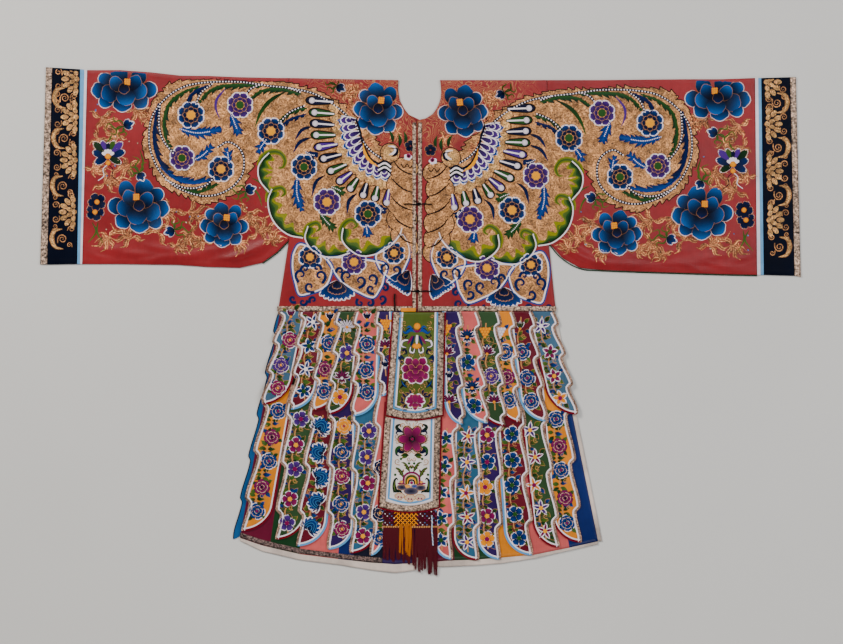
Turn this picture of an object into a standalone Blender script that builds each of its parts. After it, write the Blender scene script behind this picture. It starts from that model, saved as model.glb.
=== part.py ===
"""A reversible stage robe of embroidered satin, laid flat on its back with the sleeves spread.

The robe has a body folded over the shoulders, tube sleeves with navy cuffs, a front that opens
down the centre, and a skirt of two tiers of scalloped streamers either side of a hanging centre
panel with a net and tassels. The origin is on the surface it lies on, under the middle of the
robe. +X runs to the robe's right side in view, +Y to the shoulders and +Z up through the layers.
Every size and place below is in millimetres; MM turns it into metres.
"""
import math
from typing import NamedTuple

import bmesh
import bpy

MM = 0.001
COLLECTION_NAME = "reversible_theater_costume"

# Walls and layers
CLOTH = 1.3
BRAID = 1.0
SEAM = 0.3
BACK_LAYER = 0.0
FRONT_LAYER = CLOTH + SEAM
TRIM_LAYER = FRONT_LAYER + CLOTH + SEAM
FOLD_RADIUS = 1.8
FLAT_TOP = FRONT_LAYER + CLOTH

# Streamer tiers: each streamer leans up over the next one out, and the upper tier rises over the lower
SHINGLE_RISE = CLOTH + SEAM
UPPER_TIER_TOP = 26.4
LOWER_TIER_TOP = -150.0
TIER_RISE = 3.8
TIER_RISE_START = -50.0
TIER_RISE_END = -112.0
TIER_RISE_STEPS = 5
UPPER_LEFT_SCALLOP = 69.0
UPPER_RIGHT_SCALLOP = 72.0
LOWER_LEFT_SCALLOP = 114.0
LOWER_RIGHT_SCALLOP = 115.0
SIDE_SCALLOP = 100.0
SIDE_STREAMER_TOP = 23.0
SCALLOP_DEPTH = 12.0
SIDE_SCALLOP_DEPTH = 7.0
SCALLOP_CREST = 0.86
SCALLOP_LEVELS = (0.0, 0.22, 0.45, 0.68, SCALLOP_CREST)
LEVEL_GAP = 1.5
TIP_LEVELS = (0.0, 0.25, 0.5, 0.7, 0.85, 0.95, 1.0)
OUTERMOST_OVERLAP = 8.0
TIP_LENGTH = 60.0
TIP_BLUNT = 1.6

# Centre panels, net and tassels, in the stack
UPPER_PANEL_LIFT = 2.8
LOWER_PANEL_LAYER = 6.6
NET_LAYER = 6.2
PANEL_EDGE = 4.0
QUARTERS = (0.0, 0.25, 0.5, 0.75, 1.0)
PANEL_BRAID_WIDTH = 14.0

# Waist and skirt
BODY_END = 28.2
SKIRT_TOP = 27.9
WAIST_BRAID_TOP = 39.0
WAIST_BRAID_END = 27.0


class Station(NamedTuple):
    """One line across a sleeve, from its fold at the top to its lower edge."""
    top_x: float
    top_y: float
    low_x: float
    low_y: float


SLEEVE_LEFT = (
    Station(-800, 606, -812, 140),
    Station(-721, 606, -726, 140),
    Station(-649, 601, -654, 139),
    Station(-577, 593, -582, 138),
    Station(-505, 592, -510, 133),
    Station(-433, 589, -433, 131),
    Station(-380, 588, -380, 143),
    Station(-344, 587, -344, 169),
    Station(-316, 587, -316, 198),
)
SLEEVE_RIGHT = (
    Station(304, 582, 308, 191),
    Station(340, 582, 340, 155),
    Station(378, 582, 383, 131),
    Station(431, 582, 431, 126),
    Station(527, 583, 527, 122),
    Station(623, 584, 623, 119),
    Station(719, 584, 719, 116),
    Station(803, 587, 808, 114),
)
CUFF_LEFT_LINES = (
    Station(-899, 613, -913, 139),
    Station(-884, 612, -896, 139),
    Station(-817, 608, -824, 140),
    SLEEVE_LEFT[0],
)
CUFF_RIGHT_LINES = (
    SLEEVE_RIGHT[-1],
    Station(818, 587, 824, 114),
    Station(887, 589, 898, 112),
    Station(901, 589, 913, 109),
)


class Crease(NamedTuple):
    """A soft ridge in the sleeve's upper layer: its middle, run, direction, height and breadth."""
    x: float
    y: float
    length: float
    angle: float
    height: float
    breadth: float


CREASES_LEFT = (
    Crease(-400, 178, 120, 24, 3.4, 9),
    Crease(-440, 158, 150, 12, 2.6, 8),
    Crease(-365, 190, 90, 44, 2.8, 8),
    Crease(-560, 160, 170, 3, 2.0, 9),
    Crease(-690, 165, 160, -4, 1.6, 9),
)
CREASES_RIGHT = (
    Crease(372, 168, 130, -38, 3.6, 10),
    Crease(415, 150, 140, -18, 3.0, 9),
    Crease(500, 140, 170, -5, 2.4, 9),
    Crease(640, 142, 190, 2, 1.8, 9),
    Crease(345, 205, 90, -52, 2.4, 8),
)
CREASE_ROWS = (15, 24, 34, 45, 57, 72, 100, 170, 280)
CREASE_REACH = 0.62
PIPING_RADIUS = 1.4
PIPING_STOP = 5.0


class BodyRow(NamedTuple):
    """A level of the body: height at the side, the edges at centre front and centre back, height there."""
    side_y: float
    front_x: float
    back_x: float
    centre_y: float


BODY_LEFT_ROWS = (
    BodyRow(587, -53, -53, 582),
    BodyRow(553, -54, -54, 558),
    BodyRow(532, -50, -50, 534),
    BodyRow(515, -42, -42, 517),
    BodyRow(500, -32, -32, 503),
    BodyRow(488, -20, -20, 491),
    BodyRow(482, -9.4, -0.2, 486),
    BodyRow(390, -9.4, -0.2, 390),
    BodyRow(198, -9.4, -0.2, 198),
    BodyRow(126, -9.4, -0.2, 126),
    BodyRow(BODY_END, -9.4, -0.2, BODY_END),
)
BODY_RIGHT_ROWS = (
    BodyRow(582, 47, 47, 582),
    BodyRow(555, 50, 50, 556),
    BodyRow(532, 48, 48, 534),
    BodyRow(515, 40, 40, 515),
    BodyRow(500, 29, 29, 500),
    BodyRow(488, 13, 13, 490),
    BodyRow(482, -6.2, 0.2, 486),
    BodyRow(390, -6.2, 0.2, 390),
    BodyRow(191, -6.2, 0.2, 191),
    BodyRow(131, -6.2, 0.2, 131),
    BodyRow(BODY_END, -6.2, 0.2, BODY_END),
)
SIDE_LEFT = ((-316, 587), (-316, 198), (-342, BODY_END))
SIDE_RIGHT = ((304, 582), (308, 191), (325, BODY_END))


class Strip(NamedTuple):
    """A straight strip of trim: its edges, what it is made of and the height it lies at."""
    name: str
    left: float
    right: float
    top: float
    foot: float
    finish: str
    layer: float


OVER_BRAID = TRIM_LAYER + BRAID + SEAM
TRIM_STRIPS = (
    Strip("front_braid_left", -19.2, -10.8, 480, WAIST_BRAID_END, "metal_braid", TRIM_LAYER),
    Strip("front_braid_right", -6.0, 3.6, 480, WAIST_BRAID_END, "metal_braid", TRIM_LAYER),
    Strip("waist_braid_left", -344, -20, WAIST_BRAID_TOP, WAIST_BRAID_END, "metal_braid", TRIM_LAYER),
    Strip("waist_braid_right", 4.4, 326, WAIST_BRAID_TOP, WAIST_BRAID_END, "metal_braid", TRIM_LAYER),
    Strip("waist_tab", -47, -11, 35, 25.4, "orange", OVER_BRAID),
)



class Tie(NamedTuple):
    """A cord tied across the front opening: its height and the place of its knot."""
    name: str
    y: float
    knot_x: float


# A tie's two ends and the points where it steps up on to the braids, across
TIES = (Tie("tie_chest", 284, -4), Tie("tie_belly", 75, -6))
TIE_LEFT = (-40, -26, -20.5)
TIE_RIGHT = (7, 13, 28)
TIE_RADIUS = 0.9
WAIST_TIE_X = -62
WAIST_TIE_TOP = 69
WAIST_KNOT_Y = 55
KNOT_HALF = 5
KNOT_RISE = 1.2
KNOT_SWELL = 2.2


class HemPoint(NamedTuple):
    """A point along the hem: across, the panel's lower edge, and the hem band's lower edge."""
    x: float
    panel_y: float
    band_y: float


HEM_LEFT = (
    HemPoint(-433, -517, -524),
    HemPoint(-380, -535, -549),
    HemPoint(-289, -556, -570),
    HemPoint(-193, -568, -582),
    HemPoint(-121, -576, -594),
    HemPoint(-61, -580, -601),
    HemPoint(-13, -577, -595),
)
HEM_RIGHT = (
    HemPoint(20, -575, -587),
    HemPoint(71, -571, -586),
    HemPoint(133, -569, -583),
    HemPoint(196, -564, -578),
    HemPoint(275, -557, -566),
    HemPoint(354, -541, -548),
    HemPoint(426, -525, -532),
)
HEM_BACK = (
    (-417, -515), (-289, -546), (-193, -560), (-97, -566),
    (4, -564), (133, -556), (275, -544), (424, -512),
)
SKIRT_LEFT_TOP = (-337, -8.6)
SKIRT_RIGHT_TOP = (1.2, 314)
SKIRT_BACK_TOP = (-311, 318)
SIDE_BAND_WIDTH = 9.6
HEM_BRAID_WIDTH = 12.0
HEM_BRAID_RISE = 1.4
HEM_BRAID_END = -92.0


class Streamer(NamedTuple):
    """A streamer: colour, its scalloped edge at the top, its tip, its breadth, and its first notch."""
    colour: str
    edge_top: float
    tip_x: float
    tip_y: float
    width: float
    first_notch: float


# Streamers run from the centre out to the side
UPPER_LEFT = (
    Streamer("purple", -106, -95, -176, 38, -13),
    Streamer("pink", -156, -163, -224, 60, -13),
    Streamer("green", -199, -223, -220, 56, -11),
    Streamer("yellow", -242, -258, -210, 56, -4),
    Streamer("crimson", -285, -312, -208, 57, 6),
    Streamer("grey_blue", -334, -379, -196, 60, 13),
)
UPPER_RIGHT = (
    Streamer("purple", 96, 102, -244, 43, -17),
    Streamer("pink", 137, 162, -241, 56, -18),
    Streamer("green", 186, 203, -248, 60, -13),
    Streamer("yellow", 222, 239, -239, 52, -18),
    Streamer("crimson", 268, 301, -236, 56, -18),
    Streamer("grey_blue", 318, 376, -220, 62, -13),
)
LOWER_LEFT = (
    Streamer("pink", -104, -120, -558, 34, -141),
    Streamer("teal", -157, -168, -553, 62, -136),
    Streamer("purple", -215, -222, -544, 61, -125),
    Streamer("crimson", -256, -296, -536, 66, -124),
    Streamer("green", -312, -347, -520, 66, -121),
    Streamer("yellow", -366, -428, -500, 65, -93),
)
LOWER_RIGHT = (
    Streamer("pink", 93, 75, -568, 48, -152),
    Streamer("teal", 143, 138, -570, 62, -153),
    Streamer("purple", 193, 190, -568, 56, -152),
    Streamer("crimson", 240, 268, -558, 63, -143),
    Streamer("green", 291, 333, -539, 57, -135),
    Streamer("yellow", 349, 385, -527, 62, -111),
)
SIDE_STREAMER = Streamer("blue", -342, -450, -520, 30, -33)


class Panel(NamedTuple):
    """A centre panel: its two edges at the top and at the foot, and the sag of its lower edge."""
    top_y: float
    left_top: float
    right_top: float
    foot_y: float
    left_foot: float
    right_foot: float
    sag: float


PANEL_UPPER = Panel(24.6, -68, 61, -225, -86, 56, 10)
PANEL_LOWER = Panel(-190, -86, 52.5, -446, -103, 47, 11)
NET_LEFT = -90.0
NET_RIGHT = 40.0
NET_FOOT = -492.0
NET_DROP = 2.0

# Tassels
HEADING_DEPTH = 5.0
STRAND_WIDTH = 1.3
STRAND_SPACE = 0.7
STRAND_WANDER = 0.3
MAROON_LEFT = (-90, -16)
MAROON_RIGHT = (-12, 40)
YELLOW = (-50, -24)
LONG_STRANDS_TO = 19.0
LEFT_ENDS = (-570.0, -585.0)
RIGHT_ENDS = (-566.0, -611.0)
YELLOW_END = -563.0
END_OVER_STREAMER = 6.3
END_OVER_HEM = 4.4
END_ON_FLOOR = 1.7

# Finishes: base colour, roughness, metallic
FINISHES = {
    "red": ((0.42, 0.035, 0.045), 0.55, 0.0),
    "navy": ((0.012, 0.018, 0.075), 0.55, 0.0),
    "stripes": ((0.35, 0.50, 0.68), 0.6, 0.0),
    "metal_braid": ((0.34, 0.27, 0.21), 0.42, 0.75),
    "green_piping": ((0.02, 0.10, 0.05), 0.6, 0.0),
    "black_cord": ((0.01, 0.01, 0.012), 0.6, 0.0),
    "white_cotton": ((0.72, 0.66, 0.62), 0.8, 0.0),
    "gores": ((0.05, 0.10, 0.30), 0.55, 0.0),
    "plain_red": ((0.36, 0.03, 0.04), 0.6, 0.0),
    "purple": ((0.050, 0.018, 0.13), 0.5, 0.0),
    "pink": ((0.80, 0.24, 0.24), 0.5, 0.0),
    "green": ((0.06, 0.13, 0.035), 0.5, 0.0),
    "yellow": ((0.80, 0.36, 0.02), 0.5, 0.0),
    "crimson": ((0.25, 0.008, 0.035), 0.5, 0.0),
    "grey_blue": ((0.10, 0.24, 0.36), 0.5, 0.0),
    "teal": ((0.04, 0.20, 0.32), 0.5, 0.0),
    "blue": ((0.012, 0.075, 0.34), 0.5, 0.0),
    "panel_green": ((0.15, 0.23, 0.06), 0.5, 0.0),
    "panel_white": ((0.80, 0.76, 0.73), 0.55, 0.0),
    "orange": ((0.75, 0.33, 0.03), 0.5, 0.0),
    "maroon_silk": ((0.14, 0.008, 0.025), 0.6, 0.0),
    "yellow_silk": ((0.62, 0.30, 0.02), 0.6, 0.0),
}


def clear_scene():
    for old in list(bpy.data.objects):
        bpy.data.objects.remove(old, do_unlink=True)


def make_material(node_name, finish):
    """Each piece has its own material, in its cloth's colour."""
    colour, roughness, metallic = FINISHES[finish]
    material = bpy.data.materials.new(node_name + "_finish")
    material.use_nodes = True
    shader = material.node_tree.nodes["Principled BSDF"]
    shader.inputs["Base Color"].default_value = (*colour, 1.0)
    shader.inputs["Roughness"].default_value = roughness
    shader.inputs["Metallic"].default_value = metallic
    return material


def add_object(name, data, finish):
    piece = bpy.data.objects.new(name, data)
    data.materials.append(make_material(name, finish))
    garment.objects.link(piece)
    return piece


def sheet(name, rows, finish, wall=CLOTH, ring=False):
    """A cloth wall under a grid of points on its outer side.

    Rows run down the cloth and each row runs to the right; a ring closes the last row on the first.
    """
    shape = bmesh.new()
    grid = [[shape.verts.new((x * MM, y * MM, z * MM)) for x, y, z in row] for row in rows]
    pairs = list(zip(grid, grid[1:]))
    if ring:
        pairs.append((grid[-1], grid[0]))
    for upper, lower in pairs:
        for k in range(len(upper) - 1):
            shape.faces.new((upper[k], lower[k], lower[k + 1], upper[k + 1]))
    mesh = bpy.data.meshes.new(name)
    shape.to_mesh(mesh)
    shape.free()
    piece = add_object(name, mesh, finish)
    solidify = piece.modifiers.new("wall", "SOLIDIFY")
    solidify.thickness = wall * MM
    solidify.offset = -1.0
    solidify.use_even_offset = True
    return piece


def cord(name, points, radius, finish, swell=None):
    """A round cord through its points; swell gives each point's own share of the radius."""
    curve = bpy.data.curves.new(name, "CURVE")
    curve.dimensions = "3D"
    curve.bevel_depth = radius * MM
    curve.bevel_resolution = 1
    curve.use_fill_caps = True
    spline = curve.splines.new("POLY")
    spline.points.add(len(points) - 1)
    for k, (x, y, z) in enumerate(points):
        spline.points[k].co = (x * MM, y * MM, z * MM, 1.0)
        spline.points[k].radius = swell[k] if swell else 1.0
    return add_object(name, curve, finish)


def mix(a, b, share):
    return a + (b - a) * share


def smooth(share):
    share = min(1.0, max(0.0, share))
    return share * share * (3.0 - 2.0 * share)


def line_x(points, y):
    """Where a line of (x, y) points, listed from the top down, passes a height."""
    for (x0, y0), (x1, y1) in zip(points, points[1:]):
        if y >= y1:
            return mix(x0, x1, (y0 - y) / (y0 - y1))
    return points[-1][0]


def curve_y(points, x):
    """The height of a line of (x, y) points, listed from left to right, at a place across."""
    for (x0, y0), (x1, y1) in zip(points, points[1:]):
        if x <= x1:
            return mix(y0, y1, (x - x0) / (x1 - x0))
    return points[-1][1]


def fold_arc(start, end, steps):
    """Angles round a fold, in radians, without its two ends."""
    return [math.radians(mix(start, end, k / steps)) for k in range(1, steps)]


def crease_height(creases, x, y):
    """How far the sleeve's creases lift its upper layer at a point."""
    lift = 0.0
    for crease in creases:
        turn = math.radians(crease.angle)
        dx = x - crease.x
        dy = y - crease.y
        along = dx * math.cos(turn) + dy * math.sin(turn)
        across = dy * math.cos(turn) - dx * math.sin(turn)
        end_fade = smooth(1.0 - abs(along) / (CREASE_REACH * crease.length))
        lift += crease.height * end_fade * math.exp(-((across / crease.breadth) ** 2))
    return lift


# Sleeves, cuffs and body

def tube_ring(station, inset, creases, rows):
    """The outer side of a laid tube along one station: underside, top fold, upper side, lower fold."""
    span = math.hypot(station.top_x - station.low_x, station.top_y - station.low_y)
    along_x = (station.top_x - station.low_x) / span
    along_y = (station.top_y - station.low_y) / span

    def place(distance, z):
        return (station.low_x + along_x * distance + inset, station.low_y + along_y * distance, z)

    low = FOLD_RADIUS
    high = span - FOLD_RADIUS
    ring = [place(low, 0.0), place(high, 0.0)]
    for angle in fold_arc(-90, 90, 4):
        ring.append(place(high + FOLD_RADIUS * math.cos(angle), FOLD_RADIUS * (1.0 + math.sin(angle))))
    ring.append(place(high, 2.0 * FOLD_RADIUS))
    ring.append(place(span - rows[0], FLAT_TOP))
    for distance in reversed(rows):
        x, y, flat = place(distance, FLAT_TOP)
        ring.append((x, y, flat + crease_height(creases, x, y)))
    ring.append(place(low, 2.0 * FOLD_RADIUS))
    for angle in fold_arc(90, 270, 4):
        ring.append(place(low + FOLD_RADIUS * math.cos(angle), FOLD_RADIUS * (1.0 + math.sin(angle))))
    return ring


def laid_tube(name, stations, finish, creases=(), rows=(15,)):
    """A flat tube of cloth through its stations, with a seam's gap left at each end."""
    insets = [0.0] * len(stations)
    insets[0] = SEAM / 2
    insets[-1] = -SEAM / 2
    rings = [tube_ring(station, inset, creases, rows) for station, inset in zip(stations, insets)]
    rows_round = [list(points) for points in zip(*rings)]
    return sheet(name, rows_round, finish, ring=True)


def body_half(name, table, side, hand):
    """Half of the body: back, fold over the shoulder and front in one length of satin."""
    def row_points(row, edge_x, z):
        side_x = line_x(side, row.side_y) - hand * SEAM
        points = []
        for share in (0.0, 0.5, 1.0):
            points.append((mix(side_x, edge_x, share), mix(row.side_y, row.centre_y, share), z))
        return points if hand < 0 else points[::-1]

    def shifted(row, down):
        return row._replace(side_y=row.side_y - down, centre_y=row.centre_y - down)

    shoulder = table[0]
    path = [row_points(row, row.back_x, 0.0) for row in reversed(table[1:])]
    path.append(row_points(shifted(shoulder, FOLD_RADIUS), shoulder.back_x, 0.0))
    for angle in fold_arc(-90, 90, 4):
        level = shifted(shoulder, FOLD_RADIUS * (1.0 - math.cos(angle)))
        path.append(row_points(level, shoulder.front_x, FOLD_RADIUS * (1.0 + math.sin(angle))))
    path.append(row_points(shifted(shoulder, FOLD_RADIUS), shoulder.front_x, 2.0 * FOLD_RADIUS))
    path.append(row_points(shifted(shoulder, CREASE_ROWS[0]), shoulder.front_x, FLAT_TOP))
    path += [row_points(row, row.front_x, FLAT_TOP) for row in table[1:]]
    return sheet(name, path, "red")


def lower_edge(stations, offset):
    """Points that run below the sleeve's lower edge, offset from it, from left to right."""
    places = [(s.low_x, s.low_y) for s in stations]
    normals = []
    for (x0, y0), (x1, y1) in zip(places, places[1:]):
        span = math.hypot(x1 - x0, y1 - y0)
        normals.append(((y1 - y0) / span, -(x1 - x0) / span))
    points = []
    for k, (x, y) in enumerate(places):
        before = normals[max(0, k - 1)]
        after = normals[min(k, len(normals) - 1)]
        middle_x = before[0] + after[0]
        middle_y = before[1] + after[1]
        reach = offset / (0.5 * (middle_x ** 2 + middle_y ** 2))
        points.append((x + middle_x * reach, y + middle_y * reach))
    return points


def make_sleeves():
    laid_tube("sleeve_left", SLEEVE_LEFT, "red", CREASES_LEFT, CREASE_ROWS)
    laid_tube("sleeve_right", SLEEVE_RIGHT, "red", CREASES_RIGHT, CREASE_ROWS)
    laid_tube("cuff_braid_left", CUFF_LEFT_LINES[0:2], "metal_braid")
    laid_tube("cuff_left", CUFF_LEFT_LINES[1:3], "navy")
    laid_tube("cuff_stripe_left", CUFF_LEFT_LINES[2:4], "stripes")
    laid_tube("cuff_stripe_right", CUFF_RIGHT_LINES[0:2], "stripes")
    laid_tube("cuff_right", CUFF_RIGHT_LINES[1:3], "navy")
    laid_tube("cuff_braid_right", CUFF_RIGHT_LINES[2:4], "metal_braid")


def make_piping():
    radius = PIPING_RADIUS
    offset = radius + SEAM
    for name, stations in (("piping_left", SLEEVE_LEFT[6:]), ("piping_right", SLEEVE_RIGHT)):
        route = [(x, y, radius + SEAM) for x, y in lower_edge(stations, offset)]
        if name == "piping_left":
            route[-1] = (route[-1][0] - PIPING_STOP, route[-1][1] - PIPING_STOP, route[-1][2])
        else:
            route[0] = (route[0][0] + PIPING_STOP, route[0][1] - PIPING_STOP, route[0][2])
        cord(name, route, radius, "green_piping")


def make_body():
    body_half("body_left", BODY_LEFT_ROWS, SIDE_LEFT, -1)
    body_half("body_right", BODY_RIGHT_ROWS, SIDE_RIGHT, 1)


def strip(name, left, right, finish, layer, wall):
    """A strip between two edges, each a list of (x, y) points that run down it."""
    rows = []
    for (x0, y0), (x1, y1) in zip(left, right):
        rows.append([(x0, y0, layer + wall), (x1, y1, layer + wall)])
    return sheet(name, rows, finish, wall)


def make_front_trim():
    """Braid down each front edge, braid over the waist seam, the tab and the tied cords."""
    for item in TRIM_STRIPS:
        left = [(item.left, item.top), (item.left, item.foot)]
        right = [(item.right, item.top), (item.right, item.foot)]
        strip(item.name, left, right, item.finish, item.layer, BRAID)
    low = FLAT_TOP + SEAM + TIE_RADIUS
    high = OVER_BRAID + TIE_RADIUS
    left_end, left_low, left_high = TIE_LEFT
    right_high, right_low, right_end = TIE_RIGHT
    for name, y, knot_x in TIES:
        route = [(left_end, y + 1, low), (left_low, y, low), (left_high, y, high)]
        route += [(knot_x + step * KNOT_HALF, y, high + KNOT_RISE) for step in (-1, 0, 1)]
        route += [(right_high, y, high), (right_low, y - 1, low), (right_end, y - 3, low)]
        cord(name, route, TIE_RADIUS, "black_cord", (1, 1, 1, 1.1, KNOT_SWELL, 1.1, 1, 1, 1))
    route = [(WAIST_TIE_X, WAIST_TIE_TOP, low)]
    for step in (-1, 0, 1):
        route.append((WAIST_TIE_X, WAIST_KNOT_Y - step * KNOT_HALF, low + KNOT_RISE))
    route += [(WAIST_TIE_X, WAIST_BRAID_TOP + 3, high), (WAIST_TIE_X, WAIST_BRAID_END + 0.5, high)]
    cord("tie_waist", route, TIE_RADIUS, "black_cord", (1, 1.1, KNOT_SWELL, 1.1, 1, 1))


# Skirt

def skirt_panel(name, top, hem, layer, finish):
    """A flared panel from the waist to a curved hem."""
    first = hem[0][0]
    spread = hem[-1][0] - first
    top_row = [(mix(top[0], top[1], (x - first) / spread), SKIRT_TOP) for x, _ in hem]
    rows = []
    for share in (0.0, 0.5, 1.0):
        rows.append([
            (mix(tx, hx, share), mix(ty, hy, share), layer + CLOTH)
            for (tx, ty), (hx, hy) in zip(top_row, hem)
        ])
    return sheet(name, rows, finish)


def make_skirt():
    skirt_panel("skirt_back", SKIRT_BACK_TOP, HEM_BACK, BACK_LAYER, "plain_red")
    skirt_panel("skirt_left", SKIRT_LEFT_TOP, [(p.x, p.panel_y) for p in HEM_LEFT], FRONT_LAYER, "gores")
    skirt_panel("skirt_right", SKIRT_RIGHT_TOP, [(p.x, p.panel_y) for p in HEM_RIGHT], FRONT_LAYER, "gores")
    for name, hem in (("hem_band_left", HEM_LEFT), ("hem_band_right", HEM_RIGHT)):
        top = [(p.x, p.panel_y - SEAM, FLAT_TOP) for p in hem]
        foot = [(p.x, p.band_y, FLAT_TOP) for p in hem]
        sheet(name, [top, foot], "white_cotton")
    end = HEM_RIGHT[-1]
    inner = ((SKIRT_RIGHT_TOP[1] + SEAM, SKIRT_TOP), (end.x + SEAM, end.panel_y))
    outer = [(x + SIDE_BAND_WIDTH, y) for x, y in inner]
    strip("side_band_right", inner, outer, "white_cotton", FRONT_LAYER, CLOTH)
    hem_line = [(p.x, p.panel_y) for p in HEM_LEFT]
    across = [p.x for p in HEM_LEFT if p.x < HEM_BRAID_END] + [HEM_BRAID_END]
    braid_top = TRIM_LAYER + BRAID
    foot = [(x, curve_y(hem_line, x) + HEM_BRAID_RISE, braid_top) for x in across]
    top = [(x, y + HEM_BRAID_WIDTH, z) for x, y, z in foot]
    sheet("hem_braid_left", [top, foot], "metal_braid", BRAID)


# Streamers

def tier_lift(y):
    """How far the upper tier has risen over the lower one at a height on the skirt, in straight steps."""
    down = min(max((TIER_RISE_START - y) / (TIER_RISE_START - TIER_RISE_END), 0.0), 1.0)
    step = min(int(down * TIER_RISE_STEPS), TIER_RISE_STEPS - 1)
    before = smooth(step / TIER_RISE_STEPS)
    after = smooth((step + 1) / TIER_RISE_STEPS)
    return TIER_RISE * mix(before, after, down * TIER_RISE_STEPS - step)


def rise_levels():
    """The heights where the rise of the upper tier changes its slope."""
    return [mix(TIER_RISE_START, TIER_RISE_END, k / TIER_RISE_STEPS) for k in range(TIER_RISE_STEPS + 1)]


def scallop(y, first_notch, period):
    """The scalloped edge, from -0.5 in a notch to 0.5 at a crest: a slow swell and a quick return."""
    phase = ((first_notch - y) / period) % 1.0
    if phase < SCALLOP_CREST:
        return -0.5 * math.cos(math.pi * phase / SCALLOP_CREST)
    return 0.5 * math.cos(math.pi * (phase - SCALLOP_CREST) / (1.0 - SCALLOP_CREST))


def streamer_levels(row, top_y, period, bends):
    """Heights to shape a streamer at: its bends, each notch, swell and crest, then closer towards the tip."""
    round_start = row.tip_y + TIP_LENGTH
    levels = [top_y, *bends, round_start]
    notch = row.first_notch + period
    while notch > round_start:
        for phase in SCALLOP_LEVELS:
            y = notch - phase * period
            clear = min(abs(y - level) for level in levels)
            if round_start < y < top_y and clear > LEVEL_GAP:
                levels.append(y)
        notch -= period
    tip = [round_start - TIP_LENGTH * q for q in TIP_LEVELS[1:]]
    return sorted(levels, reverse=True) + tip


def streamer(name, row, outer_row, hand, top_y, period, depth, lift, layer):
    """A streamer: straight inner edge that rounds into the tip, scalloped outer edge, leaning up outwards."""
    def edge_line(item, y):
        return mix(item.edge_top, item.tip_x, (top_y - y) / (top_y - item.tip_y))

    def inner_line(item, y):
        return edge_line(item, y) - hand * item.width

    rows = []
    round_start = row.tip_y + TIP_LENGTH
    bends = rise_levels() if lift is tier_lift else ()
    for y in streamer_levels(row, top_y, period, bends):
        root = inner_line(row, y)
        if outer_row:
            pitch = hand * (inner_line(outer_row, y) - root)
        else:
            pitch = row.width - OUTERMOST_OVERLAP
        tip_share = max(0.0, (round_start - y) / TIP_LENGTH)
        swell = 1.0 - tip_share ** 4
        outer_x = edge_line(row, y) + hand * depth * scallop(y, row.first_notch, period) * swell
        breadth = max(TIP_BLUNT, row.width * math.sqrt(max(0.0, 1.0 - tip_share ** 2)))
        inner_x = edge_line(row, y) - hand * breadth
        points = []
        for x in (inner_x, outer_x):
            lean = SHINGLE_RISE * hand * (x - root) / pitch if lift is not None else 0.0
            level = layer + CLOTH + lean + (lift(y) if lift else 0.0)
            points.append((x, y, level))
        rows.append(points if hand > 0 else points[::-1])
    return sheet(name, rows, row.colour)


def no_lift(_y):
    return 0.0


def make_streamers():
    tiers = (
        ("streamer_upper_left", UPPER_LEFT, -1, UPPER_TIER_TOP, UPPER_LEFT_SCALLOP, tier_lift),
        ("streamer_upper_right", UPPER_RIGHT, 1, UPPER_TIER_TOP, UPPER_RIGHT_SCALLOP, tier_lift),
        ("streamer_lower_left", LOWER_LEFT, -1, LOWER_TIER_TOP, LOWER_LEFT_SCALLOP, no_lift),
        ("streamer_lower_right", LOWER_RIGHT, 1, LOWER_TIER_TOP, LOWER_RIGHT_SCALLOP, no_lift),
    )
    for base, table, hand, top_y, period, lift in tiers:
        for k, row in enumerate(table):
            outer_row = table[k + 1] if k + 1 < len(table) else None
            streamer(f"{base}_{k + 1}", row, outer_row, hand, top_y, period, SCALLOP_DEPTH, lift, TRIM_LAYER)
    streamer("side_streamer_left", SIDE_STREAMER, None, -1, SIDE_STREAMER_TOP, SIDE_SCALLOP,
             SIDE_SCALLOP_DEPTH, None, BACK_LAYER)


# Centre panels, net and tassels

def panel_levels(panel):
    """Heights along a panel: its top, where the tier under it rises, and above its foot."""
    bends = [y for y in rise_levels() if panel.foot_y < y < panel.top_y]
    return [panel.top_y, *bends, panel.foot_y + 20]


def panel_edge(panel, share_across, y):
    down = (panel.top_y - y) / (panel.top_y - panel.foot_y)
    left = mix(panel.left_top, panel.left_foot, down)
    right = mix(panel.right_top, panel.right_foot, down)
    return mix(left, right, share_across)


def foot_height(panel, share_across, inset=0.0):
    """The panel's lower edge hangs in a shallow curve."""
    return panel.foot_y + inset - panel.sag * math.sin(math.pi * share_across)


def centre_panel(name, panel, layer_at, finish):
    """The satin of a centre panel, and the braid round its sides and foot."""
    rows = []
    for y in panel_levels(panel):
        rows.append([(panel_edge(panel, s, y), y, layer_at(y) + CLOTH) for s in QUARTERS])
    foot = []
    for s in QUARTERS:
        y = foot_height(panel, s)
        foot.append((panel_edge(panel, s, panel.foot_y), y, layer_at(y) + CLOTH))
    rows.append(foot)
    sheet("centre_panel_" + name, rows, finish)

    top_side = CLOTH + SEAM + BRAID
    far = PANEL_EDGE + PANEL_BRAID_WIDTH
    route = []
    for y in panel_levels(panel):
        left = panel_edge(panel, 0.0, y)
        level = layer_at(y) + top_side
        route.append([(left + PANEL_EDGE, y, level), (left + far, y, level)])
    for s in QUARTERS:
        outer_x = mix(panel.left_foot + PANEL_EDGE, panel.right_foot - PANEL_EDGE, s)
        inner_x = mix(panel.left_foot + far, panel.right_foot - far, s)
        outer_y = foot_height(panel, s, PANEL_EDGE)
        inner_y = foot_height(panel, s, far)
        level = layer_at(outer_y) + top_side
        route.append([(outer_x, outer_y, level), (inner_x, inner_y, level)])
    for y in reversed(panel_levels(panel)):
        right = panel_edge(panel, 1.0, y)
        level = layer_at(y) + top_side
        route.append([(right - PANEL_EDGE, y, level), (right - far, y, level)])
    sheet("centre_braid_" + name, route, "metal_braid", BRAID)


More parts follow.
